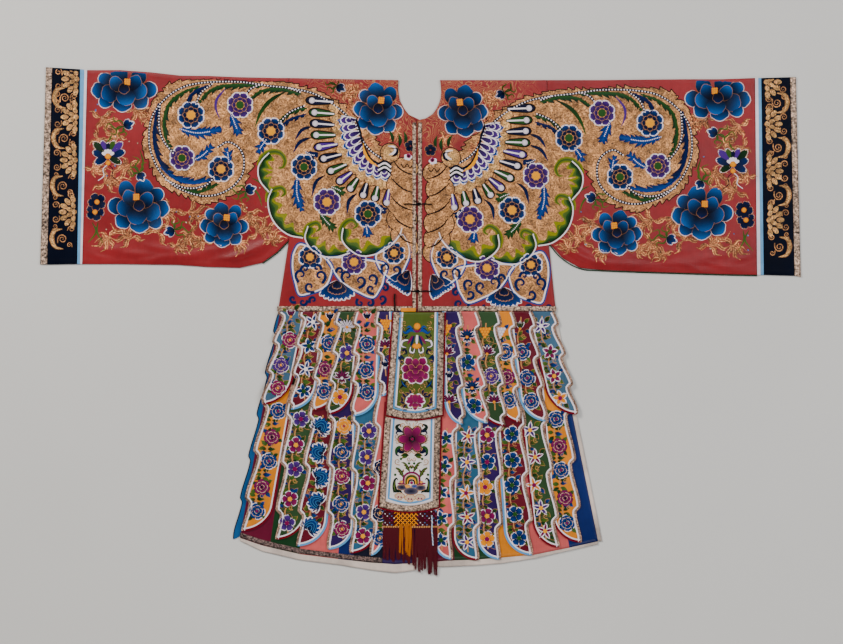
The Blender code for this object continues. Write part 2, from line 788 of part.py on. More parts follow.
def make_net():
    """The knotted net below the lower panel, its top cut to the panel's curve."""
    top = []
    foot = []
    for s in QUARTERS:
        x = mix(NET_LEFT, NET_RIGHT, s)
        across = (x - PANEL_LOWER.left_foot) / (PANEL_LOWER.right_foot - PANEL_LOWER.left_foot)
        top.append((x, foot_height(PANEL_LOWER, across) - NET_DROP, NET_LAYER + CLOTH))
        foot.append((x, NET_FOOT, NET_LAYER + CLOTH))
    sheet("tassel_net", [top, foot], "maroon_silk")


def fringe(name, left_x, right_x, top_y, layer, finish, end_of):
    """Strands that hang from a narrow heading, fused to it at their roots.

    The heading's lower side is divided into cells, and every second cell is drawn out into a strand.
    end_of gives a strand's last place (y, z) from its place across.
    """
    count = int((right_x - left_x) / (STRAND_WIDTH + STRAND_SPACE))
    pitch = (right_x - left_x - STRAND_WIDTH) / (count - 1)
    shape = bmesh.new()
    xs = []
    for k in range(count):
        xs += [left_x + pitch * k, left_x + pitch * k + STRAND_WIDTH]
    foot_y = top_y - HEADING_DEPTH
    low = [shape.verts.new((x * MM, foot_y * MM, layer * MM)) for x in xs]
    high = [shape.verts.new((x * MM, foot_y * MM, (layer + CLOTH) * MM)) for x in xs]
    cells = []
    for k in range(len(xs) - 1):
        cells.append(shape.faces.new((low[k], low[k + 1], high[k + 1], high[k])))
    raised = bmesh.ops.extrude_face_region(shape, geom=cells, use_keep_orig=True)
    top_verts = [item for item in raised["geom"] if isinstance(item, bmesh.types.BMVert)]
    bmesh.ops.translate(shape, verts=top_verts, vec=(0.0, HEADING_DEPTH * MM, 0.0))
    bmesh.ops.recalc_face_normals(shape, faces=shape.faces)
    roots = [f for f in shape.faces
             if f.normal.y < -0.9 and f.calc_center_median().y < (foot_y + 1) * MM
             and f.calc_area() > 0.9 * STRAND_WIDTH * CLOTH * MM * MM]
    for face in roots:
        place = face.calc_center_median()
        end_y, end_z = end_of(place.x / MM)
        middle_z = layer + CLOTH / 2
        wander = STRAND_WANDER * math.sin(place.x / MM * 1.9)
        for share, shift in ((0.5, 0.5 * wander), (1.0, wander)):
            drawn = bmesh.ops.extrude_discrete_faces(shape, faces=[face])
            face = drawn["faces"][0]
            target_y = mix(foot_y, end_y, share)
            target_z = mix(middle_z, end_z, share ** 1.4)
            target_x = place.x / MM + shift
            centre = face.calc_center_median()
            step = (target_x * MM - centre.x, target_y * MM - centre.y, target_z * MM - centre.z)
            bmesh.ops.translate(shape, verts=list(face.verts), vec=step)
    mesh = bpy.data.meshes.new(name)
    shape.to_mesh(mesh)
    shape.free()
    return add_object(name, mesh, finish)


def make_tassels():
    """Two lengths of maroon fringe under the net, and two yellow locks over them."""
    heading = NET_FOOT - SEAM

    def left_end(x):
        clear_of_streamer = smooth((x + 80.0) / 12.0)
        length_share = smooth((x - MAROON_LEFT[0]) / 30.0)
        return (mix(LEFT_ENDS[0], LEFT_ENDS[1], length_share) + 3.0 * math.sin(x * 0.8),
                mix(END_OVER_STREAMER, END_OVER_HEM, clear_of_streamer))

    def right_end(x):
        long_share = smooth((LONG_STRANDS_TO - x) / 4.0)
        return (mix(RIGHT_ENDS[0], RIGHT_ENDS[1], long_share) + 2.0 * math.sin(x * 1.1),
                mix(END_OVER_STREAMER, END_ON_FLOOR, long_share))

    def yellow_end(x):
        return YELLOW_END + 2.0 * math.sin(x), NET_LAYER + 2.0

    fringe("tassel_left", *MAROON_LEFT, heading, NET_LAYER, "maroon_silk", left_end)
    fringe("tassel_right", *MAROON_RIGHT, heading, NET_LAYER, "maroon_silk", right_end)
    over = NET_LAYER + CLOTH + SEAM
    fringe("tassel_yellow", *YELLOW, heading + HEADING_DEPTH, over, "yellow_silk", yellow_end)


clear_scene()
garment = bpy.data.collections.new(COLLECTION_NAME)
bpy.context.scene.collection.children.link(garment)
make_body()
make_sleeves()
make_piping()
make_front_trim()
make_skirt()
make_streamers()
centre_panel("upper", PANEL_UPPER, lambda y: TRIM_LAYER + UPPER_PANEL_LIFT + tier_lift(y), "panel_green")
centre_panel("lower", PANEL_LOWER, lambda y: LOWER_PANEL_LAYER, "panel_white")
make_net()
make_tassels()
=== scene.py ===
"""The dressed look of a reversible stage robe of embroidered satin, laid flat with its sleeves spread.

Sizes are in millimetres and MM turns them into metres. Places on the robe are counted in drafting
squares of 2.4 mm, from the top left corner of the sheet that the robe was drawn out on; the tables
give them as (across, down), and only the left half of a pattern that the right half repeats.
"""
import math
from typing import NamedTuple

import bmesh
import bpy
import numpy as np
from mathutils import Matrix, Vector
from mathutils.geometry import delaunay_2d_cdt


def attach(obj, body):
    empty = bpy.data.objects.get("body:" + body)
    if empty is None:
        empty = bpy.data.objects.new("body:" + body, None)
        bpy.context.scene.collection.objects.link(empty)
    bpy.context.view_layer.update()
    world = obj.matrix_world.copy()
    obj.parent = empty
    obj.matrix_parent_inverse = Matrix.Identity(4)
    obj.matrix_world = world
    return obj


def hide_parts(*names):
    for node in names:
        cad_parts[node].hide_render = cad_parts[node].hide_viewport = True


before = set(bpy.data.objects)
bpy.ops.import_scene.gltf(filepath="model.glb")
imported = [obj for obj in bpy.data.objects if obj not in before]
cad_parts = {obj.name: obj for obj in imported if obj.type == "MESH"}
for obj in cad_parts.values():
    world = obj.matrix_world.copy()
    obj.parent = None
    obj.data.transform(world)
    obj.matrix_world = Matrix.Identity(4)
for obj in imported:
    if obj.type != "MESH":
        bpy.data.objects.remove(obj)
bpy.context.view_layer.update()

MM = 0.001
SQUARE = 2.4
SHEET_CENTRE = (420.5, 322.5)

# Walls and heights of the layers, the same as the solids'
CLOTH = 1.3
BRAID = 1.0
SEAM = 0.3
BACK_LAYER = 0.0
FRONT_LAYER = CLOTH + SEAM
TRIM_LAYER = FRONT_LAYER + CLOTH + SEAM
FLAT_TOP = FRONT_LAYER + CLOTH
FOLD_RADIUS = 1.8
SHINGLE_RISE = CLOTH + SEAM
OVER_BRAID = TRIM_LAYER + BRAID + SEAM
THIN = 1.0


# Camera

CAMERA_LENS = 100.0
CAMERA_SENSOR = 36.0
CAMERA_PLACE = (0.0024, 0.0012, 5.623)


def make_camera():
    bpy.ops.object.camera_add(location=CAMERA_PLACE, rotation=(0.0, 0.0, 0.0))
    camera = bpy.context.object
    camera.name = "camera"
    camera.data.lens = CAMERA_LENS
    camera.data.sensor_width = CAMERA_SENSOR
    camera.data.clip_end = 50.0
    bpy.context.scene.camera = camera


make_camera()


# Dyes, as they look in daylight, 0 to 255

DYE_DEPTH = 1.3
DYE_BRIGHTNESS = 1.06


def dye(red, green, blue):
    """A daylight colour as the light it gives back, deepened since soft light washes the dark dyes out."""
    shares = [value / 255.0 for value in (red, green, blue)]
    light = [s / 12.92 if s <= 0.04045 else ((s + 0.055) / 1.055) ** 2.4 for s in shares]
    return tuple(DYE_BRIGHTNESS * value ** DYE_DEPTH for value in light)


WHITE = dye(236, 226, 230)
PALE = dye(196, 184, 196)
CREAM = dye(214, 190, 168)
GOLD = dye(198, 150, 104)
GOLD_PALE = dye(224, 182, 124)
GOLD_DARK = dye(140, 98, 56)
INK = dye(34, 20, 22)
NAVY = dye(16, 26, 66)
NAVY_DEEP = dye(12, 18, 44)
BLUE = dye(16, 84, 154)
BLUE_RIM = dye(0, 112, 178)
BLUE_PALE = dye(78, 146, 196)
BLUE_DEEP = dye(0, 42, 98)
PURPLE = dye(92, 52, 140)
PURPLE_PALE = dye(106, 62, 152)
PURPLE_DEEP = dye(52, 24, 84)
GREEN = dye(52, 96, 44)
GREEN_DEEP = dye(20, 46, 30)
LEAF = dye(106, 124, 54)
LIME = dye(150, 148, 44)
YELLOW = dye(238, 170, 0)
AMBER = dye(216, 132, 0)
MAGENTA = dye(138, 10, 92)
MAGENTA_PALE = dye(158, 26, 110)
WINE = dye(92, 6, 60)
CRIMSON = dye(132, 16, 44)
SKY = dye(110, 166, 206)
TAN = dye(198, 150, 100)
MAROON_DYE = dye(96, 0, 34)


# Measures and small sums

def mix(a, b, share):
    return a + (b - a) * share


def smooth(share):
    share = np.clip(share, 0.0, 1.0)
    return share * share * (3.0 - 2.0 * share)


def blend(first, second, share):
    """Two dyes mixed, point by point."""
    share = np.asarray(share, dtype=float)[..., None]
    return np.asarray(first) * (1.0 - share) + np.asarray(second) * share


def run_lengths(points, axis=0):
    """How far along a line, or along one way of a grid, each of its points lies."""
    steps = np.linalg.norm(np.diff(points, axis=axis), axis=-1)
    return np.concatenate([np.zeros_like(np.take(steps, [0], axis)), np.cumsum(steps, axis)], axis)


def length_of(line):
    return float(np.linalg.norm(np.diff(line, axis=0), axis=1).sum())


def on_robe(places):
    """Drafting squares as millimetres on the robe."""
    places = np.asarray(places, dtype=float)
    across = (places[:, 0] - SHEET_CENTRE[0]) * SQUARE
    up = (SHEET_CENTRE[1] - places[:, 1]) * SQUARE
    return np.stack([across, up], axis=1)


RIGHT_DROP_INNER = 4.0
RIGHT_DROP_OUTER = 8.0
RIGHT_DROP_REACH = 130.0


def to_right(places):
    """A place of the left half as it lies on the right half, which hangs a little lower."""
    places = np.asarray(places, dtype=float)
    outward = np.abs(places[:, 0] - SHEET_CENTRE[0])
    drop = mix(RIGHT_DROP_INNER, RIGHT_DROP_OUTER, smooth(outward / RIGHT_DROP_REACH))
    return np.stack([2.0 * SHEET_CENTRE[0] - places[:, 0], places[:, 1] + drop], axis=1)


# Folds and creases of the laid cloth

class Crease(NamedTuple):
    """A soft ridge or trough: its middle, run, direction, height and breadth."""
    x: float
    y: float
    length: float
    angle: float
    height: float
    breadth: float


CREASES = (
    Crease(-400, 178, 120, 24, 3.4, 9), Crease(-440, 158, 150, 12, 2.6, 8),
    Crease(-365, 190, 90, 44, 2.8, 8), Crease(-560, 160, 170, 3, 2.0, 9),
    Crease(-690, 165, 160, -4, 1.6, 9), Crease(-418, 196, 110, 30, -1.2, 8),
    Crease(-500, 176, 120, 10, 1.6, 7), Crease(-470, 186, 90, 18, -1.0, 7),
    Crease(-620, 178, 120, -6, 1.5, 8), Crease(-585, 186, 90, 2, -1.0, 8),
    Crease(-745, 176, 110, 5, 1.4, 8), Crease(-352, 214, 70, 52, 1.8, 7),
    Crease(-770, 158, 70, -18, 1.5, 7), Crease(-650, 150, 90, 8, 1.6, 6),
    Crease(372, 168, 130, -38, 3.6, 10), Crease(415, 150, 140, -18, 3.0, 9),
    Crease(500, 140, 170, -5, 2.4, 9), Crease(640, 142, 190, 2, 1.8, 9),
    Crease(345, 205, 90, -52, 2.4, 8), Crease(392, 180, 110, -30, -1.2, 8),
    Crease(452, 162, 110, -12, 1.8, 7), Crease(560, 158, 130, -2, 1.6, 8),
    Crease(530, 168, 100, -8, -1.0, 8), Crease(700, 158, 130, 6, 1.8, 8),
    Crease(600, 170, 110, 3, 1.4, 7), Crease(730, 134, 110, -6, 1.5, 7),
    Crease(765, 152, 70, 18, 1.4, 7), Crease(670, 128, 90, -10, 1.4, 6),
)
CREASE_REACH = 0.62


def crease_lift(x, y):
    """How far the creases lift the sleeves' upper layer."""
    lift = np.zeros_like(x)
    for crease in CREASES:
        turn = math.radians(crease.angle)
        dx = x - crease.x
        dy = y - crease.y
        along = dx * math.cos(turn) + dy * math.sin(turn)
        across = dy * math.cos(turn) - dx * math.sin(turn) - 0.05 * along * np.sin(along / 26.0)
        end_fade = smooth(1.0 - np.abs(along) / (CREASE_REACH * crease.length))
        lift = lift + crease.height * end_fade * np.exp(-((across / crease.breadth) ** 2))
    return lift


def slack(x, y):
    """The slight rise and fall of cloth laid flat, never the same twice."""
    wave = 0.16 * np.sin(x / 31.0 + 1.3 * np.sin(y / 57.0))
    wave = wave + 0.14 * np.sin(y / 23.0 + 1.1 * np.sin(x / 49.0) + 0.7)
    return wave + 0.10 * np.sin((x + 1.7 * y) / 41.0)


def front_z(x, y):
    """The outer side of the body's and sleeves' upper layer."""
    return FLAT_TOP + slack(x, y) + crease_lift(x, y)


# Sheets of cloth

def finish_mesh(piece, pattern_map, bake_map):
    """Smooth faces, a map along and across the threads, and a flat map that shares out the cloth."""
    mesh = piece.data
    count = len(mesh.loops)
    corner = np.empty(count, dtype=np.int32)
    mesh.loops.foreach_get("vertex_index", corner)
    if pattern_map is not None:
        mesh.uv_layers.new(name="Thread").data.foreach_set("uv", pattern_map[corner].ravel())
    if bake_map is not None:
        mesh.uv_layers.new(name="OFBake").data.foreach_set("uv", bake_map[corner].ravel())
    mesh.shade_smooth()


def share_out(piece):
    """A flat map of a laid sheet: what faces up on one half of it, what faces down on the other."""
    mesh = piece.data
    points = np.empty(len(mesh.vertices) * 3)
    mesh.vertices.foreach_get("co", points)
    points = points.reshape(-1, 3)
    low = points.min(axis=0)
    span = np.maximum(points.max(axis=0) - low, 1e-4)
    tall = span[1] > span[0]
    corner = np.empty(len(mesh.loops), dtype=np.int32)
    mesh.loops.foreach_get("vertex_index", corner)
    normals = np.empty(len(mesh.polygons) * 3)
    mesh.polygons.foreach_get("normal", normals)
    totals = np.empty(len(mesh.polygons), dtype=np.int32)
    mesh.polygons.foreach_get("loop_total", totals)
    down = np.repeat(normals.reshape(-1, 3)[:, 2] < 0.0, totals)
    flat = (points[corner][:, :2] - low[:2]) / span[:2]
    flat = 0.01 + 0.98 * flat
    half = flat[:, 0 if tall else 1] * 0.5 + 0.5 * down
    if tall:
        flat[:, 0] = half
    else:
        flat[:, 1] = half
    mesh.uv_layers.new(name="OFBake").data.foreach_set("uv", flat.ravel())


def add_piece(name, mesh, finishes, slot_name, replaced=()):
    piece = bpy.data.objects.new(name, mesh)
    bpy.context.scene.collection.objects.link(piece)
    for material in finishes:
        mesh.materials.append(material)
    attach(piece, "root")
    if replaced:
        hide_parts(*replaced)
    return piece


def apply_modifiers(piece):
    bpy.ops.object.select_all(action="DESELECT")
    piece.select_set(True)
    bpy.context.view_layer.objects.active = piece
    for modifier in list(piece.modifiers):
        bpy.ops.object.modifier_apply(modifier=modifier.name)


def lay_cloth(name, grid, finishes, slot_name, replaced=(), wall=THIN, ring=False, gores=None):
    """A thin wall of cloth under a grid of points on its outer side.

    Rows run down the cloth and each row runs to the right; a ring closes the last row on the first.
    gores gives the finish of each column of faces.
    """
    grid = np.asarray(grid, dtype=float)
    rows, columns = grid.shape[:2]
    number = np.arange(rows * columns).reshape(rows, columns)
    if ring:
        number = np.vstack([number, number[:1]])
    faces = np.stack([number[:-1, :-1], number[1:, :-1], number[1:, 1:], number[:-1, 1:]], axis=-1)
    mesh = bpy.data.meshes.new(name)
    mesh.from_pydata((grid.reshape(-1, 3) * MM).tolist(), [], faces.reshape(-1, 4).tolist())
    thread = np.stack([run_lengths(grid, 1), run_lengths(grid, 0)], axis=-1).reshape(-1, 2)
    piece = add_piece(name, mesh, finishes, slot_name, replaced)
    if gores is not None:
        mesh.polygons.foreach_set("material_index", np.tile(gores, len(number) - 1))
    finish_mesh(piece, thread / 10.0, None)
    solidify = piece.modifiers.new("wall", "SOLIDIFY")
    solidify.thickness = wall * MM
    solidify.offset = -1.0
    solidify.use_even_offset = False
    apply_modifiers(piece)
    share_out(piece)
    return piece


# Finishes

class Shade:
    """A finish or a shared effect while its nodes are put together."""

    def __init__(self, tree):
        self.tree = tree

    def add(self, kind, values=None, **settings):
        node = self.tree.nodes.new(kind)
        for key, value in settings.items():
            setattr(node, key, value)
        for key, value in (values or {}).items():
            self.feed(node.inputs[key], value)
        return node

    def feed(self, socket, value):
        if isinstance(value, bpy.types.NodeSocket):
            self.tree.links.new(value, socket)
        else:
            socket.default_value = value

    def sum(self, operation, first, second=0.0, third=0.0):
        node = self.add("ShaderNodeMath", operation=operation)
        for socket, value in zip(node.inputs, (first, second, third)):
            self.feed(socket, value)
        return node.outputs[0]

    def ramp(self, value, low, high, from_low=0.0, from_high=1.0):
        node = self.add("ShaderNodeMapRange", {
            "Value": value, "From Min": from_low, "From Max": from_high, "To Min": low, "To Max": high,
        })
        return node.outputs["Result"]

    def tint(self, colour, share):
        """A colour made lighter or darker by a share that changes over the surface."""
        node = self.add("ShaderNodeVectorMath", operation="SCALE")
        self.feed(node.inputs["Vector"], colour)
        self.feed(node.inputs["Scale"], share)
        return node.outputs["Vector"]

    def mixed(self, share, first, second):
        node = self.add("ShaderNodeMix", data_type="RGBA")
        self.feed(node.inputs[0], share)
        self.feed(node.inputs[6], first)
        self.feed(node.inputs[7], second)
        return node.outputs[2]


def opaque(colour):
    return (*colour, 1.0)


COLOUR_SOCKET = "NodeSocketColor"
VALUE_SOCKET = "NodeSocketFloat"
MID_GREY = (0.5, 0.5, 0.5, 1.0)


def shared_effect(name, *inputs):
    """An empty shared effect that takes a colour and the inputs given, and its two end nodes."""
    group = bpy.data.node_groups.new(name, "ShaderNodeTree")
    for label, kind, value in (("Colour", COLOUR_SOCKET, MID_GREY), *inputs):
        socket = group.interface.new_socket(label, in_out="INPUT", socket_type=kind)
        socket.default_value = value
    for label, kind in (("Colour", COLOUR_SOCKET), ("Roughness", VALUE_SOCKET), ("Height", VALUE_SOCKET)):
        group.interface.new_socket(label, in_out="OUTPUT", socket_type=kind)
    shade = Shade(group)
    return group, shade, shade.add("NodeGroupInput").outputs, shade.add("NodeGroupOutput").inputs


def make_satin_effect():
    """Satin: long floats of thread that catch the light in streaks, painted into the colour as sheen, and
    slow changes of tone.
    """
    group, shade, given, result = shared_effect(
        "satin ground", ("Streaks", VALUE_SOCKET, 0.10), ("Patchy Tone And Shade", VALUE_SOCKET, 0.15),
        ("Base Roughness", VALUE_SOCKET, 0.42),
    )
    place = shade.add("ShaderNodeTexCoord").outputs["Object"]
    stretched = shade.add("ShaderNodeMapping", {"Vector": place, "Scale": (900.0, 26.0, 60.0)})
    floats = shade.add("ShaderNodeTexNoise", {"Vector": stretched.outputs[0], "Scale": 1.0, "Detail": 2.0})
    slow = shade.add("ShaderNodeTexNoise", {"Vector": place, "Scale": 9.0, "Detail": 4.0})
    soil = shade.add("ShaderNodeTexNoise", {"Vector": place, "Scale": 70.0, "Detail": 3.0})
    thread = shade.add("ShaderNodeTexWave", {"Vector": place, "Scale": 330.0, "Distortion": 1.5})
    # Painted sheen: streaks of lighter and darker colour where the satin's floats would catch the light.
    sheen_streak = shade.ramp(floats.outputs["Fac"], -0.5, 0.5, 0.3, 0.7)
    tone = shade.sum("MULTIPLY_ADD", sheen_streak, given["Streaks"], 1.0)
    # Slow patches of lighter and darker tone. On the white cotton they are made strong and stand for painted
    # shade of its folds.
    patchy = shade.ramp(slow.outputs["Fac"], -1.0, 1.0, 0.32, 0.68)
    tone = shade.sum("MULTIPLY_ADD", patchy, given["Patchy Tone And Shade"], tone)
    dusty = shade.ramp(soil.outputs["Fac"], -0.05, 0.05, 0.35, 0.65)
    tone = shade.sum("ADD", tone, dusty)
    shade.feed(result["Colour"], shade.tint(given["Colour"], tone))
    rough = shade.sum("MULTIPLY_ADD", patchy, 0.07, given["Base Roughness"])
    shade.feed(result["Roughness"], rough)
    height = shade.sum("MULTIPLY_ADD", thread.outputs["Fac"], 0.5, floats.outputs["Fac"])
    shade.feed(result["Height"], height)
    return group


def make_stitch_effect():
    """Silk laid in long and short stitches side by side across the shape, with painted glints where the
    stitches catch the light and painted shade on their ridges.
    """
    group, shade, given, result = shared_effect("silk stitches", ("Stitch", VALUE_SOCKET, 0.7))
    run = shade.add("ShaderNodeUVMap", uv_map="Thread")
    split = shade.add("ShaderNodeSeparateXYZ", {"Vector": run.outputs[0]})
    along = shade.sum("DIVIDE", shade.sum("MULTIPLY", split.outputs["X"], 62.8), given["Stitch"])
    ridge = shade.sum("SINE", along)
    grain = shade.add("ShaderNodeMapping", {"Vector": run.outputs[0], "Scale": (26.0, 1.6, 1.0)})
    stitch_glints = shade.add("ShaderNodeTexNoise", {"Vector": grain.outputs[0], "Scale": 1.0, "Detail": 2.0})
    # Painted glints: the noise lightens and darkens the silk's colour where stitches would catch the light,
    # and the ridges add a little painted shade.
    tone = shade.ramp(stitch_glints.outputs["Fac"], 0.72, 1.28, 0.25, 0.75)
    tone = shade.sum("MULTIPLY_ADD", ridge, 0.06, tone)
    shade.feed(result["Colour"], shade.tint(given["Colour"], tone))
    shade.feed(result["Roughness"], shade.ramp(stitch_glints.outputs["Fac"], 0.52, 0.34, 0.25, 0.75))
    shade.feed(result["Height"], shade.sum("MULTIPLY_ADD", ridge, 0.5, stitch_glints.outputs["Fac"]))
    return group


def make_couching_effect():
    """Gold thread couched in small whorls, each catching the light its own way: painted light and shade from
    whorl to whorl, in large blotches and on the rings of thread, and fine painted glints.
    """
    group, shade, given, result = shared_effect("couched gold", ("Whorls", VALUE_SOCKET, 85.0))
    place = shade.add("ShaderNodeTexCoord").outputs["Object"]
    warp = shade.add("ShaderNodeTexNoise", {"Vector": place, "Scale": 60.0, "Detail": 1.0})
    bent = shade.add("ShaderNodeVectorMath", operation="MULTIPLY_ADD")
    shade.feed(bent.inputs[0], warp.outputs["Color"])
    bent.inputs[1].default_value = (0.012, 0.012, 0.0)
    shade.feed(bent.inputs[2], place)
    whorl = shade.add("ShaderNodeTexVoronoi", {"Vector": bent.outputs[0], "Scale": given["Whorls"]})
    rings = shade.sum("SINE", shade.sum("MULTIPLY", whorl.outputs["Distance"], 55.0))
    hue = shade.add("ShaderNodeSeparateXYZ", {"Vector": whorl.outputs["Color"]})
    # A brighter and darker tone from whorl to whorl: painted light and shade.
    facet = shade.ramp(hue.outputs["X"], 0.50, 1.08)
    # Large light and dark blotches: painted light and shade of the crinkled couching.
    wear_and_shade = shade.add("ShaderNodeTexNoise", {"Vector": place, "Scale": 34.0, "Detail": 3.0})
    painted_light_and_shade = shade.ramp(wear_and_shade.outputs["Fac"], 0.62, 1.38, 0.32, 0.68)
    # Fine bright and dark specks: painted glints of the metal thread.
    fine = shade.add("ShaderNodeTexNoise", {"Vector": bent.outputs[0], "Scale": 290.0, "Detail": 3.0})
    painted_sparkle = shade.ramp(fine.outputs["Fac"], 0.22, 1.96, 0.32, 0.68)
    tone = shade.sum("MULTIPLY", shade.sum("MULTIPLY", facet, painted_light_and_shade), painted_sparkle)
    # The rings of thread lighten and darken the colour a little: painted shade of their relief.
    tone = shade.sum("MULTIPLY_ADD", rings, 0.07, tone)
    shade.feed(result["Colour"], shade.tint(given["Colour"], tone))
    shade.feed(result["Roughness"], shade.ramp(hue.outputs["Y"], 0.30, 0.52))
    shade.feed(result["Height"], shade.sum("MULTIPLY_ADD", rings, 0.5, fine.outputs["Fac"]))
    return group


def make_braid_effect():
    """Flat metal strip woven in chevrons, worn through in places, with painted glints and painted shade along
    its weave.
    """
    dark = (0.1, 0.08, 0.06, 1.0)
    group, shade, given, result = shared_effect("woven braid", ("Tarnish", COLOUR_SOCKET, dark))
    run = shade.add("ShaderNodeUVMap", uv_map="Thread")
    split = shade.add("ShaderNodeSeparateXYZ", {"Vector": run.outputs[0]})
    across = shade.sum("PINGPONG", split.outputs["X"], 0.21)
    outward = shade.sum("MULTIPLY", across, 20.0)
    onward = shade.sum("MULTIPLY", split.outputs["Y"], 20.0)
    slant = shade.sum("ADD", outward, onward)
    chevron = shade.sum("SINE", slant)
    counter = shade.sum("SINE", shade.sum("MULTIPLY", split.outputs["X"], 34.0))
    weave = shade.sum("MULTIPLY", chevron, counter)
    place = shade.add("ShaderNodeTexCoord").outputs["Object"]
    wear_and_shade = shade.add("ShaderNodeTexNoise", {"Vector": place, "Scale": 190.0, "Detail": 2.0})
    glint = shade.add("ShaderNodeTexNoise", {"Vector": place, "Scale": 240.0, "Detail": 2.0})
    loss = shade.ramp(wear_and_shade.outputs["Fac"], 0.0, 1.0, 0.40, 0.70)
    colour = shade.mixed(loss, given["Colour"], given["Tarnish"])
    # Painted glints: bright and dark specks in the metal's colour. The weave lightens and darkens it a little
    # as painted shade of its relief.
    tone = shade.ramp(glint.outputs["Fac"], 0.30, 1.8, 0.34, 0.68)
    tone = shade.sum("MULTIPLY_ADD", weave, 0.12, tone)
    shade.feed(result["Colour"], shade.tint(colour, tone))
    shade.feed(result["Roughness"], shade.ramp(wear_and_shade.outputs["Fac"], 0.30, 0.55, 0.4, 0.65))
    shade.feed(result["Height"], weave)
    return group


SATIN_EFFECT = make_satin_effect()
STITCH_EFFECT = make_stitch_effect()
COUCHING_EFFECT = make_couching_effect()
BRAID_EFFECT = make_braid_effect()


def start_finish(name):
    material = bpy.data.materials.new(name)
    material.use_nodes = True
    shade = Shade(material.node_tree)
    return material, shade, material.node_tree.nodes["Principled BSDF"].inputs


def dress(shade, shader, effect, values, relief, distance):
    """An effect's colour, roughness and relief on a finish."""
    node = shade.add("ShaderNodeGroup", node_tree=effect)
    for key, value in values.items():
        shade.feed(node.inputs[key], value)
    shade.feed(shader["Base Color"], node.outputs["Colour"])
    shade.feed(shader["Roughness"], node.outputs["Roughness"])
    bump = shade.add("ShaderNodeBump", {"Strength": relief, "Distance": distance * MM})
    shade.feed(bump.inputs["Height"], node.outputs["Height"])
    shade.feed(shader["Normal"], bump.outputs["Normal"])
    return node


def satin(name, colour, sheen_streaks=0.12, patchy_tone_and_shade=0.16, rough=0.40, sheen=0.03, shine=0.25):
    material, shade, shader = start_finish(name)
    values = {"Colour": opaque(colour), "Streaks": sheen_streaks, "Patchy Tone And Shade": patchy_tone_and_shade, "Base Roughness": rough}
    dress(shade, shader, SATIN_EFFECT, values, 0.35, 0.5)
    shader["Sheen Weight"].default_value = sheen
    shader["Sheen Roughness"].default_value = 0.4
    shader["Specular IOR Level"].default_value = shine
    return material


def red_damask():
    """Red satin with fine gold thread couched over it in meanders near the neck and shoulders."""
    material, shade, shader = start_finish("red damask satin")
    values = {"Colour": opaque(dye(152, 42, 48)), "Streaks": 0.12, "Patchy Tone And Shade": 0.16, "Base Roughness": 0.4}
    node = dress(shade, shader, SATIN_EFFECT, values, 0.4, 0.5)
    place = shade.add("ShaderNodeTexCoord").outputs["Object"]
    split = shade.add("ShaderNodeSeparateXYZ", {"Vector": place})
    meanders = {"Vector": place, "Scale": 34.0, "Detail": 0.6, "Distortion": 0.7}
    field = shade.add("ShaderNodeTexNoise", meanders)
    wave = shade.sum("FRACT", shade.sum("MULTIPLY", field.outputs["Fac"], 15.0))
    line = shade.ramp(shade.sum("ABSOLUTE", shade.sum("SUBTRACT", wave, 0.5)), 1.0, 0.0, 0.10, 0.2)
    drift = shade.sum("MULTIPLY", shade.sum("SUBTRACT", field.outputs["Fac"], 0.5), 0.12)
    outward = shade.sum("ADD", shade.sum("ABSOLUTE", split.outputs["X"]), drift)
    near = shade.ramp(outward, 1.0, 0.0, 0.20, 0.30)
    high = shade.ramp(shade.sum("ADD", split.outputs["Y"], drift), 0.0, 1.0, 0.40, 0.46)
    share = shade.sum("MULTIPLY", shade.sum("MULTIPLY", line, near), high)
    share = shade.sum("MULTIPLY", share, 0.6)
    shade.feed(shader["Base Color"], shade.mixed(share, node.outputs["Colour"], opaque(TAN)))
    shader["Specular IOR Level"].default_value = 0.3
    return material


def silk():
    """Embroidery silk, dyed as the thread says."""
    material, shade, shader = start_finish("embroidery silk")
    thread = shade.add("ShaderNodeAttribute", attribute_name="Dye")
    dress(shade, shader, STITCH_EFFECT, {"Colour": thread.outputs["Color"], "Stitch": 0.8}, 0.5, 0.4)
    shader["Specular IOR Level"].default_value = 0.08
    return material


def gold(name, whorls):
    """Couched gold thread, in whorls of which there are so many to a metre."""
    material, shade, shader = start_finish(name)
    thread = shade.add("ShaderNodeAttribute", attribute_name="Dye")
    values = {"Colour": thread.outputs["Color"], "Whorls": whorls}
    dress(shade, shader, COUCHING_EFFECT, values, 0.6, 0.5)
    shader["Metallic"].default_value = 0.35
    shader["Specular IOR Level"].default_value = 0.3
    return material


def braid(name, colour, tarnish):
    material, shade, shader = start_finish(name)
    values = {"Colour": opaque(colour), "Tarnish": opaque(tarnish)}
    dress(shade, shader, BRAID_EFFECT, values, 0.6, 0.5)
    shader["Metallic"].default_value = 0.6
    return material


def strands(name, colour):
    """Twisted silk, dyed one colour, for cords, piping and tassels."""
    material, shade, shader = start_finish(name)
    dress(shade, shader, STITCH_EFFECT, {"Colour": opaque(colour), "Stitch": 1.5}, 0.5, 0.4)
    shader["Specular IOR Level"].default_value = 0.12
    return material


RED = red_damask()
PLAIN_RED = satin("plain red satin", dye(138, 32, 40))
NAVY_SATIN = satin("navy satin", dye(6, 20, 44), 0.2, 0.25, 0.45, 0.0, 0.06)
STRIPE_BLUE = satin("light blue satin", dye(120, 170, 206))
STRIPE_WHITE = satin("white satin", dye(226, 216, 222))
